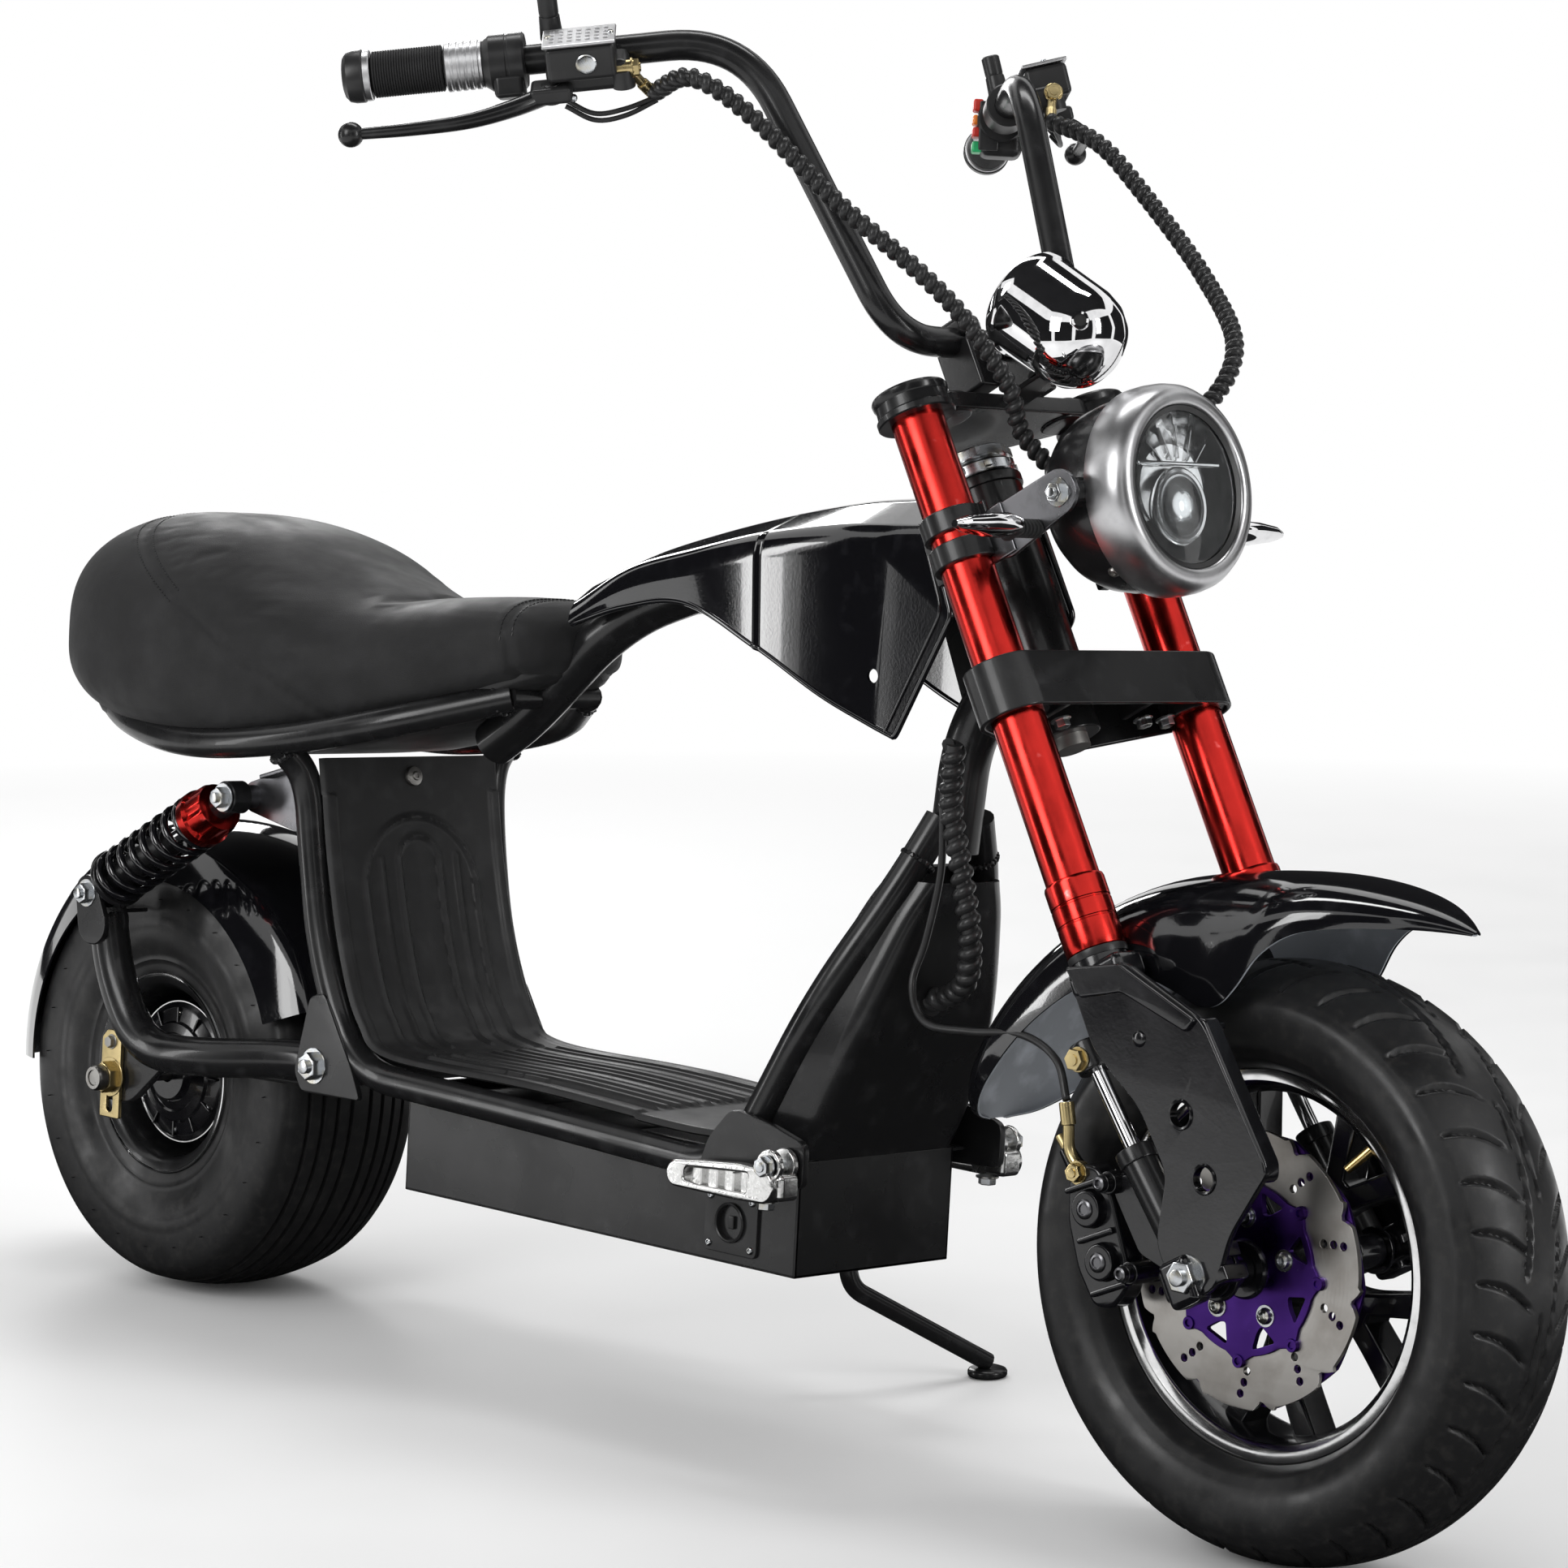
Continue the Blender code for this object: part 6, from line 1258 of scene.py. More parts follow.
class SCOOTER_OT_headlight(bpy.types.Operator):
    """Round headlamp: bucket, satin bezel, clear lens, reflector and projector"""

    bl_idname = "scooter.headlight"
    bl_label = "Headlight"

    def execute(self, context):
        place = STEERING @ LAMP
        bucket = [(0, -0.0935), (0.0300, -0.0930), (0.0420, -0.0905), (0.0520, -0.0850), (0.0600, -0.0760),
                  (0.0660, -0.0640), (0.0695, -0.0480), (0.0705, -0.0330), (0.0700, -0.0220),
                  (0.0640, -0.0210), (0.0640, -0.0400), (0.0500, -0.0780), (0, -0.0850)]
        shapes = [spun(bucket, sides=96)]
        for side, _ in SIDES:
            shapes.append(bar((0, side * 0.064, -0.036), (0, side * 0.0815, -0.036), 0.0110, 0.0095,
                              edge=0.001))
        piece("headlight_bucket", shapes, "satin_paint", "steering", ["headlight_bucket"], place=place,
              smooth=34)
        bezel = [(0.0665, -0.0270), (0.0735, -0.0285), (0.0752, -0.0270), (0.0758, -0.0180),
                 (0.0754, -0.0080), (0.0738, -0.0005), (0.0705, 0.0045), (0.0668, 0.0066), (0.0632, 0.0072),
                 (0.0602, 0.0066), (0.0585, 0.0050), (0.0580, 0.0010), (0.0640, -0.0060)]
        piece("headlight_bezel", [spun(bezel, sides=128, closed=True)], "bezel_silver", "steering",
              ["headlight_bezel"], place=place, smooth=50)
        inner = [(0.0582, 0.0048), (0.0578, 0.0050), (0.0545, 0.0035), (0.0540, -0.0005), (0.0582, -0.0010)]
        piece("headlight_ring", [spun(inner, sides=96, closed=True)], "smooth_plastic", "steering",
              place=place, smooth=40)
        glass = [(0.0555, 0.0012), (0.0540, 0.0030), (0.0400, 0.0052), (0.0200, 0.0062), (0, 0.0065)]
        back = [(0, 0.0045), (0.0200, 0.0042), (0.0400, 0.0032), (0.0540, 0.0010)]
        piece("headlight_lens", [spun(glass + back, sides=96)], "clear_lens", "steering", ["headlight_lens"],
              place=place, smooth=60)
        bowl = bmesh.new()
        bmesh.ops.create_circle(bowl, segments=96, radius=0.0545)
        rim = bowl.edges[:]
        for radius, depth in ((0.0520, -0.0060), (0.0470, -0.0160), (0.0400, -0.0260), (0.0330, -0.0330),
                              (0.0300, -0.0360)):
            made = bmesh.ops.extrude_edge_only(bowl, edges=rim)
            verts = [g for g in made["geom"] if isinstance(g, bmesh.types.BMVert)]
            rim = [g for g in made["geom"] if isinstance(g, bmesh.types.BMEdge)]
            for v in verts:
                angle = math.atan2(v.co.y, v.co.x)
                v.co = Vector((math.cos(angle) * radius, math.sin(angle) * radius, depth))
        bmesh.ops.contextual_create(bowl, geom=rim)
        bmesh.ops.recalc_face_normals(bowl, faces=bowl.faces)
        bmesh.ops.reverse_faces(bowl, faces=bowl.faces)
        piece("headlight_reflector", [bowl], "reflector", "steering", place=place, smooth=24)
        eye_place = at(0.0120, 0, 0)
        ball = [(0.0235, -0.0350), (0.0262, -0.0270), (0.0268, -0.0200), (0.0255, -0.0180), (0.0232, -0.0185),
                (0.0225, -0.0260)]
        piece("headlight_collar", [spun(ball, eye_place, 72, closed=True)], "polished", "steering",
              place=place)
        eye = [(0.0228, -0.0250), (0.0212, -0.0165), (0.0170, -0.0100), (0.0100, -0.0062), (0, -0.0050)]
        piece("headlight_projector", [spun(eye + [(0, -0.0250)], eye_place, 72)], "clear_lens", "steering",
              place=place, smooth=60)
        cup = [(0.0220, -0.0262), (0.0160, -0.0310), (0, -0.0330), (0, -0.0345), (0.0225, -0.0330)]
        piece("headlight_lamp_cup", [spun(cup, eye_place, 48)], "reflector", "steering", place=place)
        hood = [slab((0.0030, 0.084, 0.0200), at(-0.0165, 0, -0.0220), 0.0010, 2)]
        for degrees in (-44, -22, 0, 22, 44):
            turn = tilted(degrees, "Z")
            hood.append(slab((0.0230, 0.0014, 0.0120), turn @ at(-0.0320, 0, -0.0220), 0.0005, 1))
        piece("headlight_brow", hood, "polished", "steering", place=place)
        screws = []
        for side, _ in SIDES:
            spot = tilted(side * 38, "Z") @ at(0.0712, 0, -0.0330)
            screws += socket_screw(spot @ turned(math.pi / 2, "Y"), 0.0042, 0.0026)
        piece("headlight_screws", screws, "plain_steel", "steering", place=place)
        return {"FINISHED"}


class SCOOTER_OT_ears(bpy.types.Operator):
    """Headlamp ears with their bands, bolts and the small signals"""

    bl_idname = "scooter.ears"
    bl_label = "Headlamp Ears"

    def execute(self, context):
        bolt_x, bolt_z = 0.132, 0.544
        clamp_x, clamp_z = FORK_OFFSET + 0.024, 0.5425
        for side, name in SIDES:
            y = side * 0.087
            arm = hull([(bolt_x, bolt_z, 0.0165), (clamp_x + 0.012, clamp_z - 0.001, 0.0195)], 36)
            hole = ring_outline(bolt_x, bolt_z, 0.0045, 20)
            shapes = [plate([arm, hole], 0.0038, side_plane(y), 0.0007, 2)]
            wrap = slab((0.024, 0.0040, 0.038), at(clamp_x + 0.006, y + side * 0.002, clamp_z), 0.0015, 2)
            shapes.append(wrap)
            piece("ear_" + name, shapes, "ear_steel", "steering", ["headlight_ear_" + name],
                  smooth=32)
            band = []
            for low in (0.5300, 0.5535):
                band += [spun([(FORK_RADIUS, low), (0.0232, low), (0.0238, low + 0.0008),
                               (0.0238, low + 0.0150), (0.0232, low + 0.0158), (FORK_RADIUS, low + 0.0158)],
                              at(FORK_OFFSET, side * FORK_SPACING, 0), 48, closed=True),
                         slab((0.016, 0.012, 0.0150), at(FORK_OFFSET - 0.027, y, low + 0.0078), 0.0015, 2)]
            band.append(slab((0.016, 0.0040, 0.041), at(FORK_OFFSET + 0.0200, y + side * 0.002, 0.5497),
                             0.0015, 2))
            piece("ear_band_" + name, band, "satin_paint", "steering", smooth=32)
            bolts = hex_bolt(place_side(bolt_x, y + side * 0.0019, bolt_z, side), 0.0125, 0.0062, 0.0105,
                             0.002)
            for low in (0.5380, 0.5612):
                bolts += socket_screw(place_side(FORK_OFFSET - 0.027, y + side * 0.006, low, side), 0.0044,
                                      0.004)
            piece("ear_bolts_" + name, bolts, "zinc", "steering")
            stalk_x, stalk_z = 0.1045, 0.5290
            ribs = [(0, 0.0), *ribbed(0.0, 0.024, 0.0068, 0.0040, 0.0011), (0.0055, 0.0265), (0, 0.0265)]
            stalk = [spun(ribs, place_side(stalk_x, y + side * 0.0015, stalk_z, side), 32),
                     slab((0.019, 0.011, 0.014), at(stalk_x, y + side * 0.029, stalk_z), 0.004, 3)]
            piece("signal_stalk_" + name, stalk, "grip_rubber", "steering", smooth=50)
            blade = [(y + side * 0.030, 0.0095, 0.0062), (y + side * 0.042, 0.0130, 0.0078),
                     (y + side * 0.060, 0.0120, 0.0072), (y + side * 0.080, 0.0085, 0.0052),
                     (y + side * 0.0915, 0.0030, 0.0025)]
            rings = []
            for place_y, reach, half in blade:
                circle = arc(0, 0, 1.0, 0, 337.5, 15)
                rings.append([(stalk_x + 0.004 + px * reach, place_y, stalk_z + py * half)
                              for px, py in circle])
            piece("signal_blade_" + name, [bridged(rings)], "chrome", "steering", smooth=40)
        return {"FINISHED"}


def place_side(x, y, z, side):
    """Matrix of something that stands out sideways from the scooter."""
    return at(x, y, z) @ turned(-side * math.pi / 2, "X")


class SCOOTER_OT_speedometer(bpy.types.Operator):
    """Chrome speedometer pod with its dial on the rider's side"""

    bl_idname = "scooter.speedometer"
    bl_label = "Speedometer"

    def execute(self, context):
        base, face = POD_BASE, POD_FACE
        place = STEERING @ along(base, face)
        depth = (face - base).length
        dome = [(0, 0.0000), (0.0110, 0.0006), (0.0220, 0.0042), (0.0310, 0.0115), (0.0368, 0.0220),
                (0.0392, 0.0340), (0.0396, depth - 0.009), (0.0412, depth - 0.007), (0.0416, depth - 0.001),
                (0.0402, depth + 0.0010), (0.0380, depth + 0.0010), (0.0374, depth - 0.003),
                (0.0374, depth - 0.006), (0.0350, 0.036), (0.0260, 0.016), (0, 0.006)]
        piece("pod_shell", [spun(dome, sides=96)], "chrome", "steering", ["speedometer"], place=place,
              smooth=40)
        down, ahead = (base - face).normalized(), Vector((face.z - base.z, 0, base.x - face.x)).normalized()
        out = (ahead * 0.62 + Vector((0, -0.78, 0))).normalized()
        spot = base - down * 0.0150 + out * 0.0328
        facing = (out * 0.86 + down * 0.50).normalized()
        hole = spun([(0.0046, 0.0022), (0.0062, 0.0026), (0.0070, 0.0012), (0.0070, -0.0040),
                     (0.0046, -0.0040)], along(spot, spot + facing), 36, closed=True)
        piece("pod_hole_rim", [hole], "chrome", "steering")
        # Painted shade: the black disc below fills the rim and stands for the dark inside of the pod's hole;
        # no hole is cut
        hole_shade = bar(spot - facing * 0.0040, spot + facing * 0.0004, 0.0047, sides=28)
        piece("pod_hole", [hole_shade], "smooth_plastic", "steering")
        dial = [spun([(0, depth - 0.0050), (0.0374, depth - 0.0050), (0.0374, depth - 0.0064),
                      (0, depth - 0.0064)], sides=64)]
        piece("pod_dial", dial, "smooth_plastic", "steering", place=place)
        marks = []
        for i in range(21):
            turn = tilted(50 + 13 * i, "Z")
            long_mark = i % 2 == 0
            marks.append(slab((0.0060 if long_mark else 0.0034, 0.0008, 0.0004),
                              turn @ at(0.0318, 0, depth - 0.0047), 0.0001, 1))
        marks.append(slab((0.0240, 0.0012, 0.0006), tilted(50, "Z") @ at(0.0110, 0, depth - 0.0036), 0.0002,
                          1))
        piece("pod_marks", marks, "dial_white", "steering", place=place)
        glass = spun([(0, depth - 0.0008), (0.0250, depth - 0.0012), (0.0374, depth - 0.0022),
                      (0.0374, depth - 0.0034), (0, depth - 0.0030)], sides=64)
        piece("pod_glass", [glass], "clear_lens", "steering", place=place, smooth=60)
        mount = [spun([(0, 0.0230), (0.0150, 0.0225), (0.0158, 0.0190), (0.0150, 0.0100), (0.0125, 0.0080),
                       (0.0125, 0.0045), (0.0165, 0.0030), (0.0175, 0.0015), (0.0175, -0.0010), (0, -0.0015)],
                      at(0.0930, 0, 0.6620), 40)]
        piece("pod_mount", mount, "grip_rubber", "steering", smooth=40)
        bracket = slab((0.064, 0.030, 0.004), at(0.068, 0, 0.6600), 0.0015, 2)
        piece("pod_bracket", [bracket], "satin_paint", "steering")
        return {"FINISHED"}


LEG_EDGE = ((0.024, 0.232), (0.074, 0.216), (0.122, 0.154), (0.133, 0.040), (0.120, 0.033), (0.084, 0.012),
            (0.058, -0.016), (0.024, -0.016), (0.022, 0.030), (0.050, 0.070), (0.046, 0.120), (0.024, 0.170))


class SCOOTER_OT_fork_legs(bpy.types.Operator):
    """Cast fork legs with their flanges, dampers and axle clamps"""

    bl_idname = "scooter.fork_legs"
    bl_label = "Fork Legs"

    def execute(self, context):
        for side, name in SIDES:
            y = side * 0.113
            rounded = softened(LEG_EDGE, 0.010, 4)
            holes = [ring_outline(x, z, 0.0086, 28) for x, z in LEG_HOLES]
            shapes = [plate([rounded, *holes], 0.0060, side_plane(y), 0.0012, 2)]
            for x, z in LEG_HOLES:
                shapes.append(spun([(0.0086, -0.0035), (0.0104, -0.0035), (0.0108, 0.0034), (0.0100, 0.0044),
                                    (0.0086, 0.0040)], place_side(x, y, z, side), 28, closed=True))
            upper = [(0.026, 0.231), (0.072, 0.215), (0.119, 0.155), (0.108, 0.150), (0.066, 0.196),
                     (0.030, 0.206)]
            shapes.append(plate([softened(upper, 0.003, 3)], 0.0050, side_plane(y + side * 0.0040), 0.0018,
                                2))
            strip = [(0.116, 0.158), (0.124, 0.154), (0.1330, 0.046), (0.128, 0.036), (0.120, 0.036),
                     (0.119, 0.090)]
            shapes += [plate([softened(strip, 0.004, 3)], 0.0160, side_plane(y - side * 0.0060), 0.0020, 2),
                       slab((0.0150, 0.0240, 0.0060), at(0.115, y - side * 0.010, 0.152) @ tilted(35, "Y"),
                            0.002, 2),
                       bar(fork_point(side, 0.206), fork_point(side, 0.2320), 0.0205, edge=0.002, sides=48),
                       slab((0.050, 0.030, 0.020), at(0.046, side * 0.102, 0.216), 0.006, 3),
                       slab((0.026, 0.020, 0.034), at(0.034, y, -0.002), 0.005, 3),
                       knob((0.066, y + side * 0.0030, 0.162), 0.0058, (1, 0.35, 1))]
            piece("fork_leg_" + name, shapes, "cast_paint", "steering", ["fork_leg_" + name], smooth=34)
            sleeve = [bar((0.018, side * 0.099, 0.090), (0.031, side * 0.099, 0.010), 0.0125, edge=0.002,
                          sides=40),
                      bar((0.0165, side * 0.099, 0.099), (0.018, side * 0.099, 0.088), 0.0142, edge=0.001,
                          sides=40),
                      slab((0.040, 0.014, 0.024), at(0.026, side * 0.100, 0.002), 0.004, 3),
                      bar((0.0080, side * 0.099, 0.160), (0.006, side * 0.099, 0.182), 0.0130, edge=0.002)]
            piece("damper_" + name, sleeve, "satin_paint", "steering", smooth=34)
            rod = [bar((0.0060, side * 0.099, 0.180), (0.0175, side * 0.099, 0.092), 0.0058, sides=32)]
            piece("damper_rod_" + name, rod, "chrome", "steering")
            brass = hex_bolt(place_side(0.0060, side * 0.1125, 0.170, side), 0.0140, 0.0060, 0.0090, 0.001)
            piece("damper_bolt_" + name, brass, "brass", "steering")
        return {"FINISHED"}


class SCOOTER_OT_front_axle(bpy.types.Operator):
    """Front axle with its spacers, clamp blocks and nuts"""

    bl_idname = "scooter.front_axle"
    bl_label = "Front Axle"

    def execute(self, context):
        shapes = [bar((0, -0.116, 0), (0, 0.116, 0), 0.0062, sides=28)]
        for side, _ in SIDES:
            place = place_side(0, side * 0.1165, 0, side)
            shapes += hex_bolt(place, 0.0205, 0.0095, 0.0150, 0.0035)
        piece("front_axle_bolts", shapes, "zinc", "steering", ["front_axle"], place=AXLE_IN_STEERING)
        dark = []
        for side, _ in SIDES:
            dark += [bar((0, side * 0.060, 0), (0, side * 0.088, 0), 0.0125, edge=0.001, sides=40),
                     bar((0, side * 0.088, 0), (0, side * 0.092, 0), 0.0170, edge=0.001, sides=40),
                     slab((0.036, 0.024, 0.026), at(0.006, side * 0.1040, 0), 0.003, 3),
                     slab((0.012, 0.024, 0.011), at(0.026, side * 0.1040, 0.0080), 0.002, 2),
                     slab((0.012, 0.024, 0.011), at(0.026, side * 0.1040, -0.0080), 0.002, 2)]
        piece("front_axle_clamps", dark, "cast_paint", "steering", place=AXLE_IN_STEERING, smooth=34)
        return {"FINISHED"}


class SCOOTER_OT_caliper(bpy.types.Operator):
    """Brake caliper with its piston bulges, ribs, pins, socket bolts and brass banjo"""

    bl_idname = "scooter.caliper"
    bl_label = "Brake Caliper"

    def execute(self, context):
        turn = at(-0.086, -0.064, 0.060) @ tilted(6, "Y")
        outline = [(-0.020, -0.048), (-0.004, -0.054), (0.012, -0.046), (0.020, -0.028), (0.021, 0.026),
                   (0.014, 0.044), (-0.002, 0.050), (-0.014, 0.042), (-0.024, 0.014), (-0.026, -0.020)]
        outline = softened(outline, 0.006, 4)
        inner = [(x * 0.86, z * 0.84) for x, z in outline]
        shapes = [plate([outline], 0.0200, turn @ side_plane(-0.0165), 0.0030, 3),
                  plate([inner], 0.0120, turn @ side_plane(0.0245), 0.0030, 3),
                  moved(slab((0.014, 0.046, 0.050), at(-0.0180, 0.004, 0.0100), 0.004, 3), turn)]
        for shift in (-0.021, 0.017):
            shapes.append(moved(bar((0.001, -0.020, shift), (0.001, -0.0345, shift), 0.0150, 0.0128, sides=44,
                                    edge=0.002), turn))
        for shift in (-0.040, -0.002, 0.034):
            shapes.append(moved(slab((0.034, 0.0060, 0.0045), at(0, -0.0275, shift), 0.0015, 2), turn))
        for x, shift in ((0.022, -0.034), (0.023, 0.030)):
            shapes += [moved(bar((x, -0.030, shift), (x, 0.004, shift), 0.0082, sides=32, edge=0.0012), turn),
                       moved(bar((x, -0.036, shift), (x, -0.030, shift), 0.0066, sides=32, edge=0.001), turn)]
        shapes.append(moved(bar((-0.010, -0.018, 0.046), (-0.016, -0.018, 0.064), 0.0070, 0.0056, edge=0.001),
                            turn))
        arm = hull([(0.000, 0.000, 0.020), (-0.046, 0.040, 0.013), (-0.052, 0.078, 0.011)], 36)
        shapes.append(plate([arm, ring_outline(0, 0, 0.0130, 28)], 0.0045, side_plane(-0.0850), 0.0010))
        piece("caliper_body", shapes, "cast_paint", "steering", ["brake_caliper"], place=AXLE_IN_STEERING,
              smooth=34)
        bolts = []
        for x, shift in ((0.022, -0.034), (0.023, 0.030)):
            bolts += socket_screw(turn @ place_side(x, -0.036, shift, -1), 0.0058, 0.0042, 0.5)
        for shift in (-0.021, 0.017):
            bolts += socket_screw(turn @ place_side(0.001, -0.0345, shift, -1), 0.0070, 0.0020, 0.55)
        piece("caliper_bolts", bolts, "ear_steel", "steering", place=AXLE_IN_STEERING)
        banjo = hex_bolt(turn @ place_side(-0.004, -0.0270, 0.044, -1), 0.0120, 0.0060, 0.0085, 0.001)
        banjo += [moved(spun([(0.0040, -0.003), (0.0078, -0.003), (0.0084, 0), (0.0078, 0.003),
                              (0.0040, 0.003)], place_side(-0.004, -0.0235, 0.044, -1), 32, closed=True),
                        turn),
                  moved(pipe(eased([(-0.004, -0.0235, 0.046), (-0.010, -0.0235, 0.060),
                                    (-0.004, -0.0235, 0.078)], 0.008, 5), 0.0042, sides=4), turn),
                  moved(bar((-0.004, -0.0235, 0.078), (-0.001, -0.0235, 0.094), 0.0054, edge=0.0008), turn)]
        bleed = [bar((-0.016, -0.018, 0.064), (-0.0195, -0.018, 0.074), 0.0034, edge=0.0005)]
        piece("caliper_banjo", banjo + [moved(shape, turn) for shape in bleed], "brass", "steering",
              place=AXLE_IN_STEERING)
        return {"FINISHED"}


def guard_rows(radius, start, end, crown, half, ease, steps, across):
    """Rows of a mudguard's crowned arch about the wheel's centre, angles in degrees."""
    rows = []
    for i in range(steps + 1):
        share = i / steps
        angle = math.radians(start + (end - start) * share)
        width = half * ease(share)
        row = []
        for j in range(across + 1):
            t = -1 + 2 * j / across
            drop = crown * (abs(t) ** 2.2) + crown * 0.9 * max(0.0, abs(t) - 0.8) / 0.2
            row.append(Vector(((radius - drop) * math.cos(angle), t * width,
                               (radius - drop) * math.sin(angle))))
        rows.append(row)
    return rows


# Front mudguard about the axle: angle in degrees, radius of its crown, half width, radius of its edges
FRONT_GUARD = ((61, 0.2790, 0.004, 0.2770), (65, 0.2785, 0.022, 0.2690), (70, 0.2770, 0.042, 0.2590),
               (76, 0.2745, 0.059, 0.2480), (82, 0.2725, 0.070, 0.2360), (87, 0.2712, 0.077, 0.2180),
               (91, 0.2703, 0.081, 0.1950), (95, 0.2700, 0.083, 0.1820), (100, 0.2705, 0.083, 0.1810),
               (106, 0.2725, 0.083, 0.1930), (114, 0.2765, 0.082, 0.2100), (126, 0.2805, 0.080, 0.2250),
               (140, 0.2850, 0.077, 0.2370), (153, 0.2890, 0.071, 0.2500), (161, 0.2912, 0.058, 0.2640),
               (166, 0.2925, 0.036, 0.2780), (168, 0.2928, 0.010, 0.2890))


class SCOOTER_OT_front_fender(bpy.types.Operator):
    """Front mudguard with a beaked tip, deep sides at the legs and a grey underside"""

    bl_idname = "scooter.front_fender"
    bl_label = "Front Mudguard"

    def execute(self, context):
        crowns = flowing([(angle, radius, half) for angle, radius, half, _ in FRONT_GUARD], 6)
        edges = flowing([(angle, edge, 0) for angle, _, _, edge in FRONT_GUARD], 6)

        def rows_at(inset):
            """The guard's rows, set in from its outside."""
            rows = []
            across = 36
            for crown, edge in zip(crowns, edges):
                angle = math.radians(crown.x)
                row = []
                for j in range(across + 1):
                    turn = math.radians(-90 + 180 * j / across)
                    side = math.copysign(abs(math.sin(turn)) ** 0.80, turn)
                    rise = max(0.0, math.cos(turn)) ** 0.72
                    radius = edge.y + (crown.y - inset - edge.y) * rise
                    row.append(Vector((radius * math.cos(angle), side * max(0.001, crown.z - inset),
                                       radius * math.sin(angle))))
                rows.append(row)
            return rows

        place = BIKE @ Matrix.Translation(FRONT_AXLE)
        outside = thick(sheet_through(rows_at(0.0), 37), 0.0016)
        inside = thick(sheet_through(rows_at(0.0022), 37), 0.0010)
        piece("front_fender_skin", [outside], "gloss_paint", "steering", ["front_fender"], place=place,
              smooth=50)
        piece("front_fender_lining", [inside], "lining_grey", "steering", place=place, smooth=50)
        return {"FINISHED"}


# Frame and rear end

SIDE_TUBE = ((0.208, 0.124, 0.488), (0.216, 0.099, 0.462), (0.224, 0.097, 0.400), (0.242, 0.097, 0.316),
             (0.290, 0.097, 0.228), (0.500, 0.097, 0.222), (0.725, 0.097, 0.213), (0.795, 0.085, 0.350),
             (0.833, 0.045, 0.437), (0.846, 0.020, 0.486))
RAIL = ((0.395, 0.040, 0.541), (0.297, 0.110, 0.509), (0.200, 0.130, 0.489), (0.100, 0.135, 0.479),
        (0.000, 0.118, 0.489), (-0.085, 0.080, 0.512), (-0.118, 0.0, 0.528))


def from_steering(height):
    """A point of the steering's axis, in the bike's frame."""
    return INTO_BIKE @ (STEERING @ Vector((0, 0, height)))


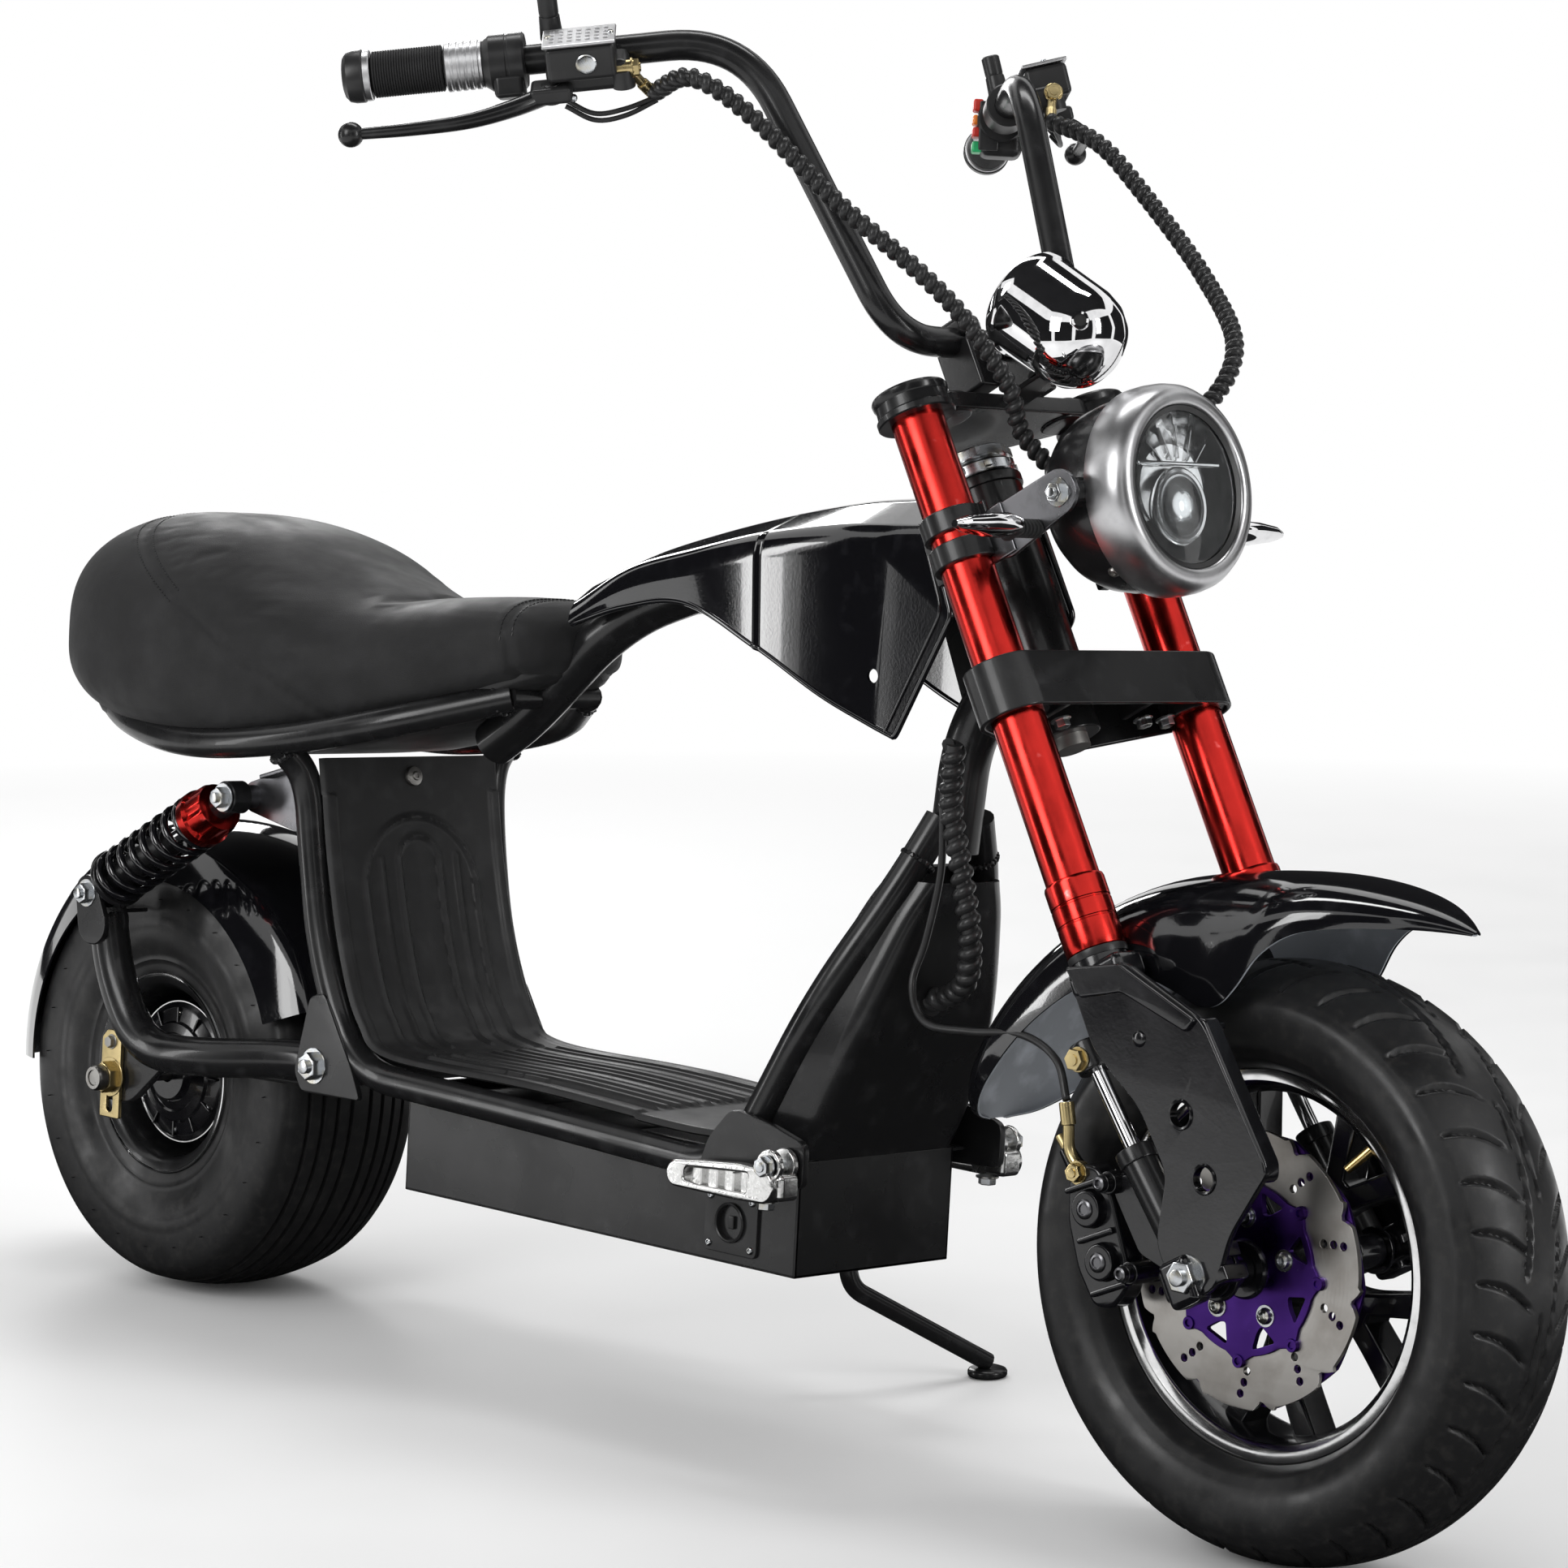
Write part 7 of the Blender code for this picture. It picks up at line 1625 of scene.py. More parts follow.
class SCOOTER_OT_frame_tubes(bpy.types.Operator):
    """Welded frame: backbone, head tube, seat rail and side tubes, with weld beads"""

    bl_idname = "scooter.frame_tubes"
    bl_label = "Frame Tubes"

    def execute(self, context):
        head_low, head_high = from_steering(0.462), from_steering(0.618)
        route = [(0.330, 0, 0.498), (0.378, 0, 0.528), (0.470, 0, 0.610), (0.600, 0, 0.652),
                 from_steering(0.565)]
        down = [from_steering(0.502), (0.850, 0, 0.545), (0.842, 0, 0.462)]
        shapes = [pipe(route, BACKBONE_RADIUS, 0.060, 7), pipe(down, BACKBONE_RADIUS, 0.030, 7),
                  bar(head_low, head_high, 0.0270, edge=0.001, sides=64)]
        for share in (0.03, 0.97):
            middle = head_low.lerp(head_high, share)
            step = (head_high - head_low).normalized() * 0.004
            shapes.append(bar(middle - step, middle + step, 0.0288, edge=0.001, sides=64))
        gusset = [(0.800, 0.672), (0.868, 0.700), (0.880, 0.640), (0.850, 0.560)]
        shapes.append(plate([gusset], 0.005, side_plane(0), 0.001))
        axis = (head_high - head_low).normalized()
        backbone_end = Vector(route[-1]) - (Vector(route[-1]) - Vector(route[-2])).normalized() * 0.030
        shapes.append(bead(backbone_end, Vector(route[-1]) - Vector(route[-2]), BACKBONE_RADIUS + 0.0005,
                           0.0030, 30))
        down_end = Vector(down[0]) + (Vector(down[1]) - Vector(down[0])).normalized() * 0.028
        shapes += [bead(down_end, Vector(down[1]) - Vector(down[0]), BACKBONE_RADIUS + 0.0005, 0.0030, 30, 3),
                   bead((0.842, 0, 0.478), axis, BACKBONE_RADIUS + 0.0002, 0.0028, 28, 5)]
        piece("backbone_tubes", shapes, "satin_paint", "frame", ["backbone"])

        loop = [Vector((x, y, z)) for x, y, z in RAIL] + [
            Vector((x, -y, z)) for x, y, z in reversed(RAIL[:-1])]
        rail = [pipe(loop, TUBE_RADIUS, 0.050, 6)]
        cross = [(0.395, 0.046, 0.541), (0.395, -0.046, 0.541)]
        rail += [pipe(cross, 0.0100, sides=4),
                 slab((0.060, 0.110, 0.004), at(0.345, 0, 0.530) @ tilted(-24, "Y"), 0.001)]
        for side, _ in SIDES:
            rail.append(bead((0.388, side * 0.044, 0.539), (1, 0, 0.3), TUBE_RADIUS, 0.0026, 22, side))
        rail.append(slab((0.050, 0.150, 0.0035), at(-0.060, 0, 0.510) @ tilted(18, "Y"), 0.001))
        piece("seat_rail_loop", rail, "satin_paint", "frame", ["seat_rail"])

        for side, name in SIDES:
            path = [(x, side * y, z) for x, y, z in SIDE_TUBE]
            tube = [pipe(path, TUBE_RADIUS, 0.048, 6),
                    bead((0.2105, side * 0.119, 0.483), (-0.2, side * 0.8, 0.9), TUBE_RADIUS + 0.001, 0.0028,
                         24),
                    bead((0.838, side * 0.034, 0.455), (0.3, -side * 0.6, 1), TUBE_RADIUS, 0.0028, 24, 2)]
            outline = [(0.262, 0.290), (0.244, 0.285), (0.228, 0.222), (0.238, 0.206), (0.312, 0.208),
                       (0.300, 0.232)]
            outline = softened(outline, 0.006, 4)
            tube.append(plate([outline], 0.005, side_plane(side * 0.108), 0.0008))
            tab = hull([(0.156, 0.440, 0.013), (0.205, 0.455, 0.014), (0.214, 0.430, 0.014)], 30)
            tabs = [plate([tab], 0.0045, side_plane(side * 0.1045), 0.0008),
                    bar((0.156, side * 0.104, 0.440), (0.156, side * 0.118, 0.440), 0.0100, edge=0.001),
                    slab((0.040, 0.016, 0.0035), at(0.196, side * 0.1110, 0.4640) @ tilted(-16, "Y"), 0.001)]
            piece("shock_tab_" + name, tabs, "ear_steel", "frame", smooth=34)
            for z in (0.282, 0.262, 0.242):
                tube.append(bead((0.252 + (0.282 - z) * 0.3, side * 0.107, z), (0, side, 0), 0.0042, 0.0022,
                                 8, z))
            lug = [(0.700, 0.207), (0.812, 0.212), (0.812, 0.246), (0.776, 0.256), (0.735, 0.262),
                   (0.712, 0.238)]
            lug = softened(lug, 0.008, 4)
            tube.append(plate([lug], 0.006, side_plane(side * 0.1075), 0.0010))
            piece("side_tube_" + name, tube, "satin_paint", "frame", ["side_tube_" + name], smooth=36)
        return {"FINISHED"}


class SCOOTER_OT_swing_arm(bpy.types.Operator):
    """Swing arm with its axle plates, slotted adjusters, pivot bolt and rear axle"""

    bl_idname = "scooter.swing_arm"
    bl_label = "Swing Arm"

    def execute(self, context):
        arms = []
        for side, _ in SIDES:
            path = [(0.262, side * 0.088, 0.229), (0.205, side * 0.090, 0.228), (0.120, side * 0.116, 0.218),
                    (0.040, side * 0.120, 0.214), (-0.001, side * 0.120, 0.268),
                    (-0.016, side * 0.120, 0.322)]
            arms.append(pipe(path, 0.0165, 0.040, 7, bend_steps=14))
            outline = [(-0.022, 0.166), (0.022, 0.166), (0.075, 0.210), (0.050, 0.232), (0.006, 0.268),
                       (-0.022, 0.215)]
            outline = softened(outline, 0.012, 5)
            arms.append(plate([outline], 0.008, side_plane(side * 0.1145), 0.0015, 2))
            eye = hull([(-0.022, 0.342, 0.0155), (-0.014, 0.318, 0.0190)], 36)
            arms += [plate([eye], 0.0050, side_plane(side * 0.1155), 0.0010),
                     plate([eye], 0.0050, side_plane(side * 0.1365), 0.0010),
                     bead((-0.016, side * 0.120, 0.317), (-0.5, 0, 0.8), 0.0165, 0.0026, 26, side),
                     bead((0.236, side * 0.088, 0.229), (1, 0, 0), 0.0168, 0.0026, 26, side)]
        arms += [bar((0.200, -0.082, 0.229), (0.200, 0.082, 0.229), 0.0120, sides=40),
                 bar((0.253, -0.1005, 0.229), (0.253, 0.1005, 0.229), 0.0185, edge=0.002, sides=56)]
        piece("swing_arm_tubes", arms, "satin_paint", "frame", ["swing_arm"], smooth=36)
        bolt = [bar((0.253, -0.112, 0.229), (0.253, 0.112, 0.229), 0.0060)]
        for side, _ in SIDES:
            bolt += hex_bolt(place_side(0.253, side * 0.1108, 0.229, side), 0.0200, 0.0085, 0.0150, 0.0035)
        piece("swing_pivot", bolt, "zinc", "frame", ["swing_pivot_bolt"])
        axle, brass, dark = [], [], []
        axle.append(bar((0, -0.1400, REAR_AXLE_Z), (0, 0.1400, REAR_AXLE_Z), 0.0068, edge=0.001))
        for side, _ in SIDES:
            slot = hull([(0, REAR_AXLE_Z - 0.026, 0.0042), (0, REAR_AXLE_Z - 0.016, 0.0042)], 16)
            outline = [(-0.0130, REAR_AXLE_Z - 0.035), (0.0130, REAR_AXLE_Z - 0.035),
                       (0.0130, REAR_AXLE_Z + 0.033), (0.0060, REAR_AXLE_Z + 0.040),
                       (-0.0060, REAR_AXLE_Z + 0.040), (-0.0130, REAR_AXLE_Z + 0.033)]
            outline = softened(outline, 0.002, 3)
            upper = ring_outline(0, REAR_AXLE_Z + 0.030, 0.0042, 16)
            brass += [plate([outline, slot, upper], 0.0036, side_plane(side * 0.1206), 0.0006),
                      *hex_bolt(place_side(0, side * 0.1224, REAR_AXLE_Z, side), 0.0235, 0.0095, 0.0170)]
            dark += [spun([(0.0068, 0.0), (0.0110, 0.0), (0.0110, 0.006), (0.0095, 0.0085), (0.0068, 0.0085)],
                          place_side(0, side * 0.1325, REAR_AXLE_Z, side), 28, closed=True),
                     *hex_bolt(place_side(0, side * 0.1224, REAR_AXLE_Z + 0.030, side), 0.0090, 0.0045,
                               0.0065)]
        piece("rear_axle_rod", axle, "plain_steel", "frame", ["rear_axle"])
        piece("rear_axle_plates", brass, "brass", "frame")
        piece("rear_axle_caps", dark, "plain_steel", "frame")
        return {"FINISHED"}


class SCOOTER_OT_shocks(bpy.types.Operator):
    """Coil-over shocks with red scalloped caps"""

    bl_idname = "scooter.shocks"
    bl_label = "Rear Shocks"

    def execute(self, context):
        turns = settings().sizes.spring_turns
        for side, name in SIDES:
            top, low = Vector((0.156, side * 0.128, 0.440)), Vector((-0.022, side * 0.128, 0.342))
            place = BIKE @ along(low, top)
            length = (top - low).length
            coil = []
            steps = turns * 28
            start, end = 0.036, length - 0.052
            for i in range(steps + 1):
                share = i / steps
                eased_share = min(1.0, max(0.0, (share - 0.06) / 0.88))
                angle = 2 * math.pi * turns * share
                coil.append((0.0215 * math.cos(angle), 0.0215 * math.sin(angle),
                             start + (end - start) * eased_share))
            piece("spring_" + name, [pipe(coil, 0.0033, sides=3)], "gloss_paint", "frame", ["shock_" + name],
                  place=place, smooth=60)
            red = [(0.0070, length - 0.050), (0.0235, length - 0.050), (0.0245, length - 0.048),
                   (0.0245, length - 0.041), (0.0225, length - 0.039), (0.0220, length - 0.024),
                   (0.0205, length - 0.020), (0.0150, length - 0.019), (0.0070, length - 0.019)]
            cap = spun(red, sides=96, closed=True)
            for v in cap.verts:
                rise = v.co.z - (length - 0.040)
                if 0 < rise < 0.016:
                    radius = math.hypot(v.co.x, v.co.y)
                    if radius > 0.02:
                        dip = 1 - 0.09 * max(0.0, math.cos(8 * math.atan2(v.co.y, v.co.x)))
                        v.co.x *= dip
                        v.co.y *= dip
            piece("shock_cap_" + name, [cap], "red_anodised", "frame", place=place, smooth=35)
            body = [bar((0, 0, 0.020), (0, 0, length - 0.090), 0.0125, edge=0.002, sides=40),
                    spun([(0, 0.034), (0.0250, 0.034), (0.0255, 0.033), (0.0255, 0.029), (0.0235, 0.026),
                          (0.0150, 0.018), (0, 0.018)], sides=48),
                    bar((0, 0, length - 0.020), (0, 0, length - 0.008), 0.0115, edge=0.001, sides=40)]
            for height in (0, length):
                for_eye = [(0.0068, -0.0095), (0.0125, -0.0095), (0.0135, -0.0085), (0.0135, 0.0085),
                           (0.0125, 0.0095), (0.0068, 0.0095)]
                body.append(spun(for_eye, at(0, 0, height) @ turned(math.pi / 2, "Y"), 40, closed=True))
            piece("shock_body_" + name, body, "satin_paint", "frame", place=place, smooth=34)
            rod = [bar((0, 0, length - 0.100), (0, 0, length - 0.045), 0.0065, sides=28)]
            piece("shock_rod_" + name, rod, "chrome", "frame", place=place)
            bolts = []
            for spot in (top, low):
                bolts += [bar((spot.x, side * 0.100, spot.z), (spot.x, side * 0.140, spot.z), 0.0050),
                          *hex_bolt(place_side(spot.x, side * 0.1392, spot.z, side), 0.0150, 0.0075, 0.0120,
                                    0.003)]
            piece("shock_bolts_" + name, bolts, "zinc", "frame")
        return {"FINISHED"}


class SCOOTER_OT_rear_fender(bpy.types.Operator):
    """Rear mudguard over the wide tyre with its stays"""

    bl_idname = "scooter.rear_fender"
    bl_label = "Rear Mudguard"

    def execute(self, context):
        def ease(share):
            """Width of the guard along its length."""
            return 1.0 - 0.06 * share

        place = BIKE @ at(0, 0, REAR_AXLE_Z)
        outside = thick(sheet_through(guard_rows(
            radius=0.2160, start=22, end=183, crown=0.026, half=0.0850, ease=ease, steps=72, across=24), 25),
                        0.0018)
        piece("rear_fender_skin", [outside], "gloss_paint", "frame", ["rear_fender"], place=place, smooth=50)
        stays = []
        for side, _ in SIDES:
            stays.append(slab((0.040, 0.036, 0.0035), at(-0.030, side * 0.100, 0.327), 0.001))
        piece("rear_fender_stays", stays, "satin_paint", "frame")
        return {"FINISHED"}


class SCOOTER_OT_tray(bpy.types.Operator):
    """Battery tray with flanges, the battery and the charge port"""

    bl_idname = "scooter.tray"
    bl_label = "Battery Tray"

    def execute(self, context):
        low, high, half = 0.139, 0.226, 0.0836
        walls = [slab((0.441, 0.0028, high - low), at(0.5625, side * (half - 0.0014), (low + high) / 2),
                      0.0008) for side, _ in SIDES]
        walls += [slab((0.0028, 2 * half, high - low), at(0.3434, 0, (low + high) / 2), 0.0008),
                  slab((0.0028, 2 * half, high - low), at(0.7816, 0, (low + high) / 2), 0.0008),
                  slab((0.441, 2 * half, 0.0028), at(0.5625, 0, low + 0.0014), 0.0008)]
        for side, _ in SIDES:
            walls.append(slab((0.441, 0.015, 0.0026), at(0.5625, side * (half + 0.0050), high - 0.0020),
                              0.0008))
            for x in (0.380, 0.745):
                walls.append(slab((0.030, 0.0180, 0.0030), at(x, side * (half + 0.0055), high + 0.0010),
                                  0.0008))
            walls.append(bar((0.768, side * (half + 0.0010), high - 0.020),
                             (0.768, side * (half + 0.0016), high - 0.020), 0.0035, sides=16))
        lug = hull([(0.655, 0.128, 0.011), (0.645, 0.168, 0.009), (0.665, 0.168, 0.009)], 30)
        walls.append(plate([lug], 0.0065, side_plane(half + 0.0027), 0.0010))
        piece("battery_tray_box", walls, "satin_paint", "frame", ["battery_tray"], smooth=34)
        screws = []
        for side, _ in SIDES:
            for x in (0.380, 0.745):
                screws += socket_screw(at(x, side * (half + 0.0075), high + 0.0025), 0.0042, 0.0022)
        piece("tray_screws", screws, "plain_steel", "frame")
        pack = [slab((0.428, 0.150, 0.072), at(0.5625, 0, 0.182), 0.004, 3)]
        for x in (0.43, 0.56, 0.69):
            pack.append(slab((0.022, 0.1515, 0.0735), at(x, 0, 0.182), 0.004, 2))
        piece("battery_case", pack, "battery_wrap", "frame", ["battery_pack"])
        x, z = 0.716, 0.171
        frame_out = [(x + px, z + pz) for px, pz in (
            (-0.028, -0.024), (0.028, -0.024), (0.028, 0.024), (-0.028, 0.024))]
        frame_out = softened(frame_out, 0.006, 4)
        port = [plate([frame_out, ring_outline(x, z, 0.0138, 36)], 0.0030, side_plane(-half - 0.0010),
                      0.0006)]
        ring = [(0.0128, -0.008), (0.0132, 0.0030), (0.0142, 0.0036), (0.0152, 0.0030), (0.0154, 0.0),
                (0.0140, -0.008)]
        port += [spun(ring, place_side(x, -half - 0.0015, z, -1), 40, closed=True),
                 bar((x, -half + 0.008, z), (x, -half + 0.002, z), 0.0128, edge=0.0005),
                 slab((0.006, 0.006, 0.010), at(x, -half + 0.0005, z), 0.001)]
        piece("charge_port", port, "smooth_plastic", "frame", ["charge_port"])
        screws = []
        for px, pz in ((-0.022, -0.018), (0.022, 0.018), (-0.022, 0.018), (0.022, -0.018)):
            screws += socket_screw(place_side(x + px, -half - 0.0025, z + pz, -1), 0.0030, 0.0016)
        piece("charge_port_screws", screws, "zinc", "frame")
        return {"FINISHED"}


class SCOOTER_OT_pegs(bpy.types.Operator):
    """Folding foot pegs in bare cast metal on their forks and bolts"""

    bl_idname = "scooter.pegs"
    bl_label = "Foot Pegs"

    def execute(self, context):
        for side, name in SIDES:
            blade = hull([(0.795, 0.214, 0.0125), (0.770, 0.214, 0.0135), (0.706, 0.211, 0.0100)], 40)
            dish = [(p.x, p.y) for p in eased([(0.782, 0.222, 0), (0.716, 0.217, 0), (0.714, 0.208, 0),
                                               (0.730, 0.206, 0), (0.780, 0.207, 0)], 0.003, 3, True)]
            shapes = [plate([blade, dish], 0.0125, side_plane(side * 0.131), 0.0018, 2),
                      plate([blade], 0.0050, side_plane(side * 0.129), 0.0015, 2)]
            for x in (0.731, 0.748, 0.765):
                shapes.append(slab((0.0026, 0.0100, 0.0150), at(x, side * 0.131, 0.213), 0.0010, 1))
            cheek = hull([(0.797, 0.229, 0.0125), (0.786, 0.214, 0.0110)], 36)
            for shift in (-0.0075, 0.0075):
                shapes.append(plate([cheek], 0.0050, side_plane(side * 0.1222 + shift), 0.0012, 2))
            shapes.append(slab((0.022, 0.020, 0.020), at(0.800, side * 0.1215, 0.214), 0.004, 3))
            piece("peg_" + name, shapes, "cast_aluminium", "frame", ["foot_peg_" + name], smooth=34)
            bolts = hex_bolt(place_side(0.797, side * 0.1345, 0.229, side), 0.0130, 0.0060, 0.0085, 0.001)
            bolts += [bar((0.797, side * 0.1085, 0.229), (0.797, side * 0.1345, 0.229), 0.0050),
                      *hex_bolt(at(0.786, side * 0.121, 0.2005) @ turned(math.pi, "X"), 0.0120, 0.0060,
                                0.009)]
            piece("peg_bolts_" + name, bolts, "zinc", "frame")
        return {"FINISHED"}


class SCOOTER_OT_stand(bpy.types.Operator):
    """Side stand with its foot and pivot bolt"""

    bl_idname = "scooter.stand"
    bl_label = "Side Stand"

    def execute(self, context):
        ground = frame_matrix(BIKE.translation, FORWARD, Vector((0, 0, 1)).cross(FORWARD), (0, 0, 1))
        spot = ground @ STAND_SPOT
        foot = INTO_BIKE @ spot
        knee = STAND_PIN + Vector((0.006, 0.004, -0.034))
        heel = foot + Vector((0, 0, 0.0110))
        leg = pipe([STAND_PIN, knee, heel], 0.0075, 0.012, 5)
        eye = bar(STAND_PIN - STAND_OUT * 0.007, STAND_PIN + STAND_OUT * 0.007, 0.0125, edge=0.001)
        pad = spun([(0, 0.0072), (0.0120, 0.0072), (0.0150, 0.0060), (0.0160, 0.0045), (0.0160, 0.0016),
                    (0.0150, 0.0003), (0, 0.0003)], INTO_BIKE @ Matrix.Translation(spot), 40)
        piece("stand_leg", [leg, eye, pad], "satin_paint", "stand", ["side_stand"], smooth=36)
        bolt = hex_bolt(along(STAND_PIN + STAND_OUT * 0.0072, STAND_PIN + STAND_OUT), 0.0130, 0.0060, 0.0095)
        piece("stand_bolt", bolt, "zinc", "stand")
        return {"FINISHED"}


# Panels and soft goods

BOARD = ((0.226, 0.478, 0.096), (0.240, 0.400, 0.096), (0.262, 0.320, 0.096), (0.288, 0.268, 0.096),
         (0.330, 0.244, 0.096), (0.500, 0.243, 0.096), (0.690, 0.237, 0.096), (0.740, 0.252, 0.094),
         (0.768, 0.300, 0.088), (0.785, 0.362, 0.074), (0.806, 0.420, 0.052), (0.820, 0.448, 0.036))


def board_line(steps):
    """The footboard's line: places as (x, z, half width) with even steps along it, and its length."""
    points = flowing([(x, half, z) for x, z, half in BOARD], 24)
    lengths = [0.0]
    for a, b in zip(points, points[1:]):
        lengths.append(lengths[-1] + math.hypot(b.x - a.x, b.z - a.z))
    made, k = [], 0
    for i in range(steps + 1):
        want = lengths[-1] * i / steps
        while k < len(lengths) - 2 and lengths[k + 1] < want:
            k += 1
        share = (want - lengths[k]) / max(1e-9, lengths[k + 1] - lengths[k])
        made.append(points[k].lerp(points[k + 1], share))
    return made, lengths[-1]


def board_relief(travel, y):
    """Height of the footboard's ribs and embossed arches at a distance along it and across it."""
    height = 0.0
    if 0.285 < travel < 0.560 and abs(y) < 0.072:
        ends = min(1.0, (travel - 0.285) / 0.006, (0.560 - travel) / 0.006)
        wave = (abs(y) / 0.0145 + 0.5) % 1.0
        height = 0.0028 * ends * max(0.0, min(1.0, 3.2 * (0.30 - abs(wave - 0.5)) / 0.30))
    for half_width, top, bottom in ((0.060, 0.050, 0.285), (0.022, 0.066, 0.262)):
        middle = top + half_width
        if travel < middle:
            off = abs(math.hypot(travel - middle, y) - half_width)
        elif travel < bottom:
            off = abs(abs(y) - half_width)
        else:
            off = 1.0
        height = max(height, 0.0030 * max(0.0, 1 - off / 0.0036))
    if 0.080 < travel < 0.290:
        off = abs(abs(y) - 0.041)
        scallop = 0.75 + 0.25 * math.sin(travel * 1400) if travel > 0.150 else 1.0
        height = max(height,
                     0.0030 * scallop * max(0.0, 1 - off / 0.0034) * min(1.0, (travel - 0.080) / 0.004))
    if 0.030 < travel < 0.560 and abs(y) > 0.083:
        height = max(height, 0.0018 * min(1.0, (abs(y) - 0.083) / 0.002))
        height += 0.0006 * max(0.0, math.sin(travel * 1500) * math.sin(y * 1500))
    dots = 0.075 < travel < 0.285 and (abs(y) < 0.017 or 0.045 < abs(y) < 0.056)
    if dots or (0.285 < travel < 0.56 and 0.074 < abs(y) < 0.082):
        height = max(height, 0.0008 * max(0.0, math.sin(travel * 1700) * math.sin(y * 1700)))
    return height


class SCOOTER_OT_footboard(bpy.types.Operator):
    """Footboard in one bent panel with ribs, embossed arches, edges and screws"""

    bl_idname = "scooter.footboard"
    bl_label = "Footboard"

    def execute(self, context):
        steps, across = 440, 96
        line, length = board_line(steps)
        rows = []
        for i, p in enumerate(line):
            before, after = line[max(0, i - 1)], line[min(steps, i + 1)]
            normal = Vector((-(after.z - before.z), 0, after.x - before.x)).normalized()
            row = []
            for j in range(across + 1):
                t = -1 + 2 * j / across
                y = p.y * t
                travel = length * i / steps
                lift = board_relief(travel, y)
                curl = 0.0045 * max(0.0, (abs(t) - 0.955) / 0.045) ** 2
                row.append(Vector((p.x, y, p.z)) + normal * (lift + 0.0025 - curl))
            rows.append(row)
        board = thick(sheet_through(rows, across + 1), 0.0034, -1.0)
        piece("footboard_panel", [board], "moulded_plastic", "frame", ["footboard"], smooth=40)
        screws = []
        for x, z, lean in ((0.2305, 0.462, -78), (0.676, 0.2425, 0)):
            place = at(x, 0, z) @ tilted(-lean, "Y")
            screws += [spun([(0, 0.0052), (0.0045, 0.0052), (0.0078, 0.0040), (0.0085, 0.0020),
                             (0.0085, 0.0)], place, 32),
                       *socket_screw(place @ at(0, 0, 0.0050), 0.0040, 0.0018)]
        piece("footboard_screws", screws, "plain_steel", "frame")
        return {"FINISHED"}


SHIELD = ((0.2275, 0.790, 0.080, 0.735, 0.094), (0.2650, 0.808, 0.080, 0.757, 0.093),
          (0.3300, 0.832, 0.074, 0.785, 0.087), (0.4050, 0.853, 0.054, 0.819, 0.060),
          (0.4400, 0.865, 0.036, 0.834, 0.044))


class SCOOTER_OT_shield(bpy.types.Operator):
    """Front splash panel folded back to the side tubes"""

    bl_idname = "scooter.shield"
    bl_label = "Front Shield"

    def execute(self, context):
        levels = flowing([(z, front, half) for z, front, half, _, _ in SHIELD], 8)
        folds = flowing([(z, x, half) for z, _, _, x, half in SHIELD], 8)
        rows = []
        for level, fold in zip(levels, folds):
            z = level.x
            corners = [Vector((fold.y, -fold.z, z)), Vector((level.y - 0.004, -level.z, z)),
                       Vector((level.y, 0, z)), Vector((level.y - 0.004, level.z, z)),
                       Vector((fold.y, fold.z, z))]
            rows.append(eased(corners, 0.014, 6))
        skin = thick(sheet_through(rows, len(rows[0])), 0.0018, 0.0)
        piece("front_shield_panel", [skin], "satin_paint", "frame", ["front_shield"], smooth=40)
        grommet = spun([(0.0085, -0.003), (0.0120, -0.003), (0.0128, 0.0), (0.0120, 0.003), (0.0085, 0.003)],
                       along((0.836, -0.012, 0.350), (0.850, -0.013, 0.353)), 32, closed=True)
        piece("harness_grommet", [grommet], "grip_rubber", "frame")
        return {"FINISHED"}


COVER = ((0.455, 0.634, 0.012, 0.618, 0.040, 0.604), (0.530, 0.662, 0.018, 0.650, 0.056, 0.622),
         (0.610, 0.684, 0.022, 0.668, 0.067, 0.630), (0.690, 0.702, 0.024, 0.685, 0.072, 0.603),
         (0.760, 0.714, 0.024, 0.694, 0.071, 0.572), (0.815, 0.719, 0.024, 0.697, 0.067, 0.552))
# Half of the cover's front edge, from its middle down to its lowest corner
COVER_FRONT = ((0.822, 0.000, 0.7205), (0.822, 0.024, 0.719), (0.858, 0.062, 0.699), (0.888, 0.0665, 0.638),
               (0.835, 0.0630, 0.546))
COVER_CREASE = 0.692


def cover_row(x, tables):
    """Half of the cover's section at x, from its middle to its lower edge."""
    values = []
    for table in tables:
        k = max((i for i, p in enumerate(table[:-1]) if p.x <= x), default=0)
        a, b = table[k], table[k + 1]
        values.append(a.lerp(b, (x - a.x) / (b.x - a.x)))
    top, side, low = values
    rib = 0.0008 * max(0.0, 1 - abs(x - COVER_CREASE) / 0.0024)
    inset = 0.0016 * max(0.0, min(1.0, (x - COVER_CREASE) / 0.004)) * max(0.0, min(1.0, (0.812 - x) / 0.10))
    half = side.z + rib - inset
    return [Vector((x, 0, top.y + 0.0018)), Vector((x, top.z, top.y)), Vector((x, half - 0.004, side.y)),
            Vector((x, half, side.y - 0.013)), Vector((x, half - 0.004, low.y))]


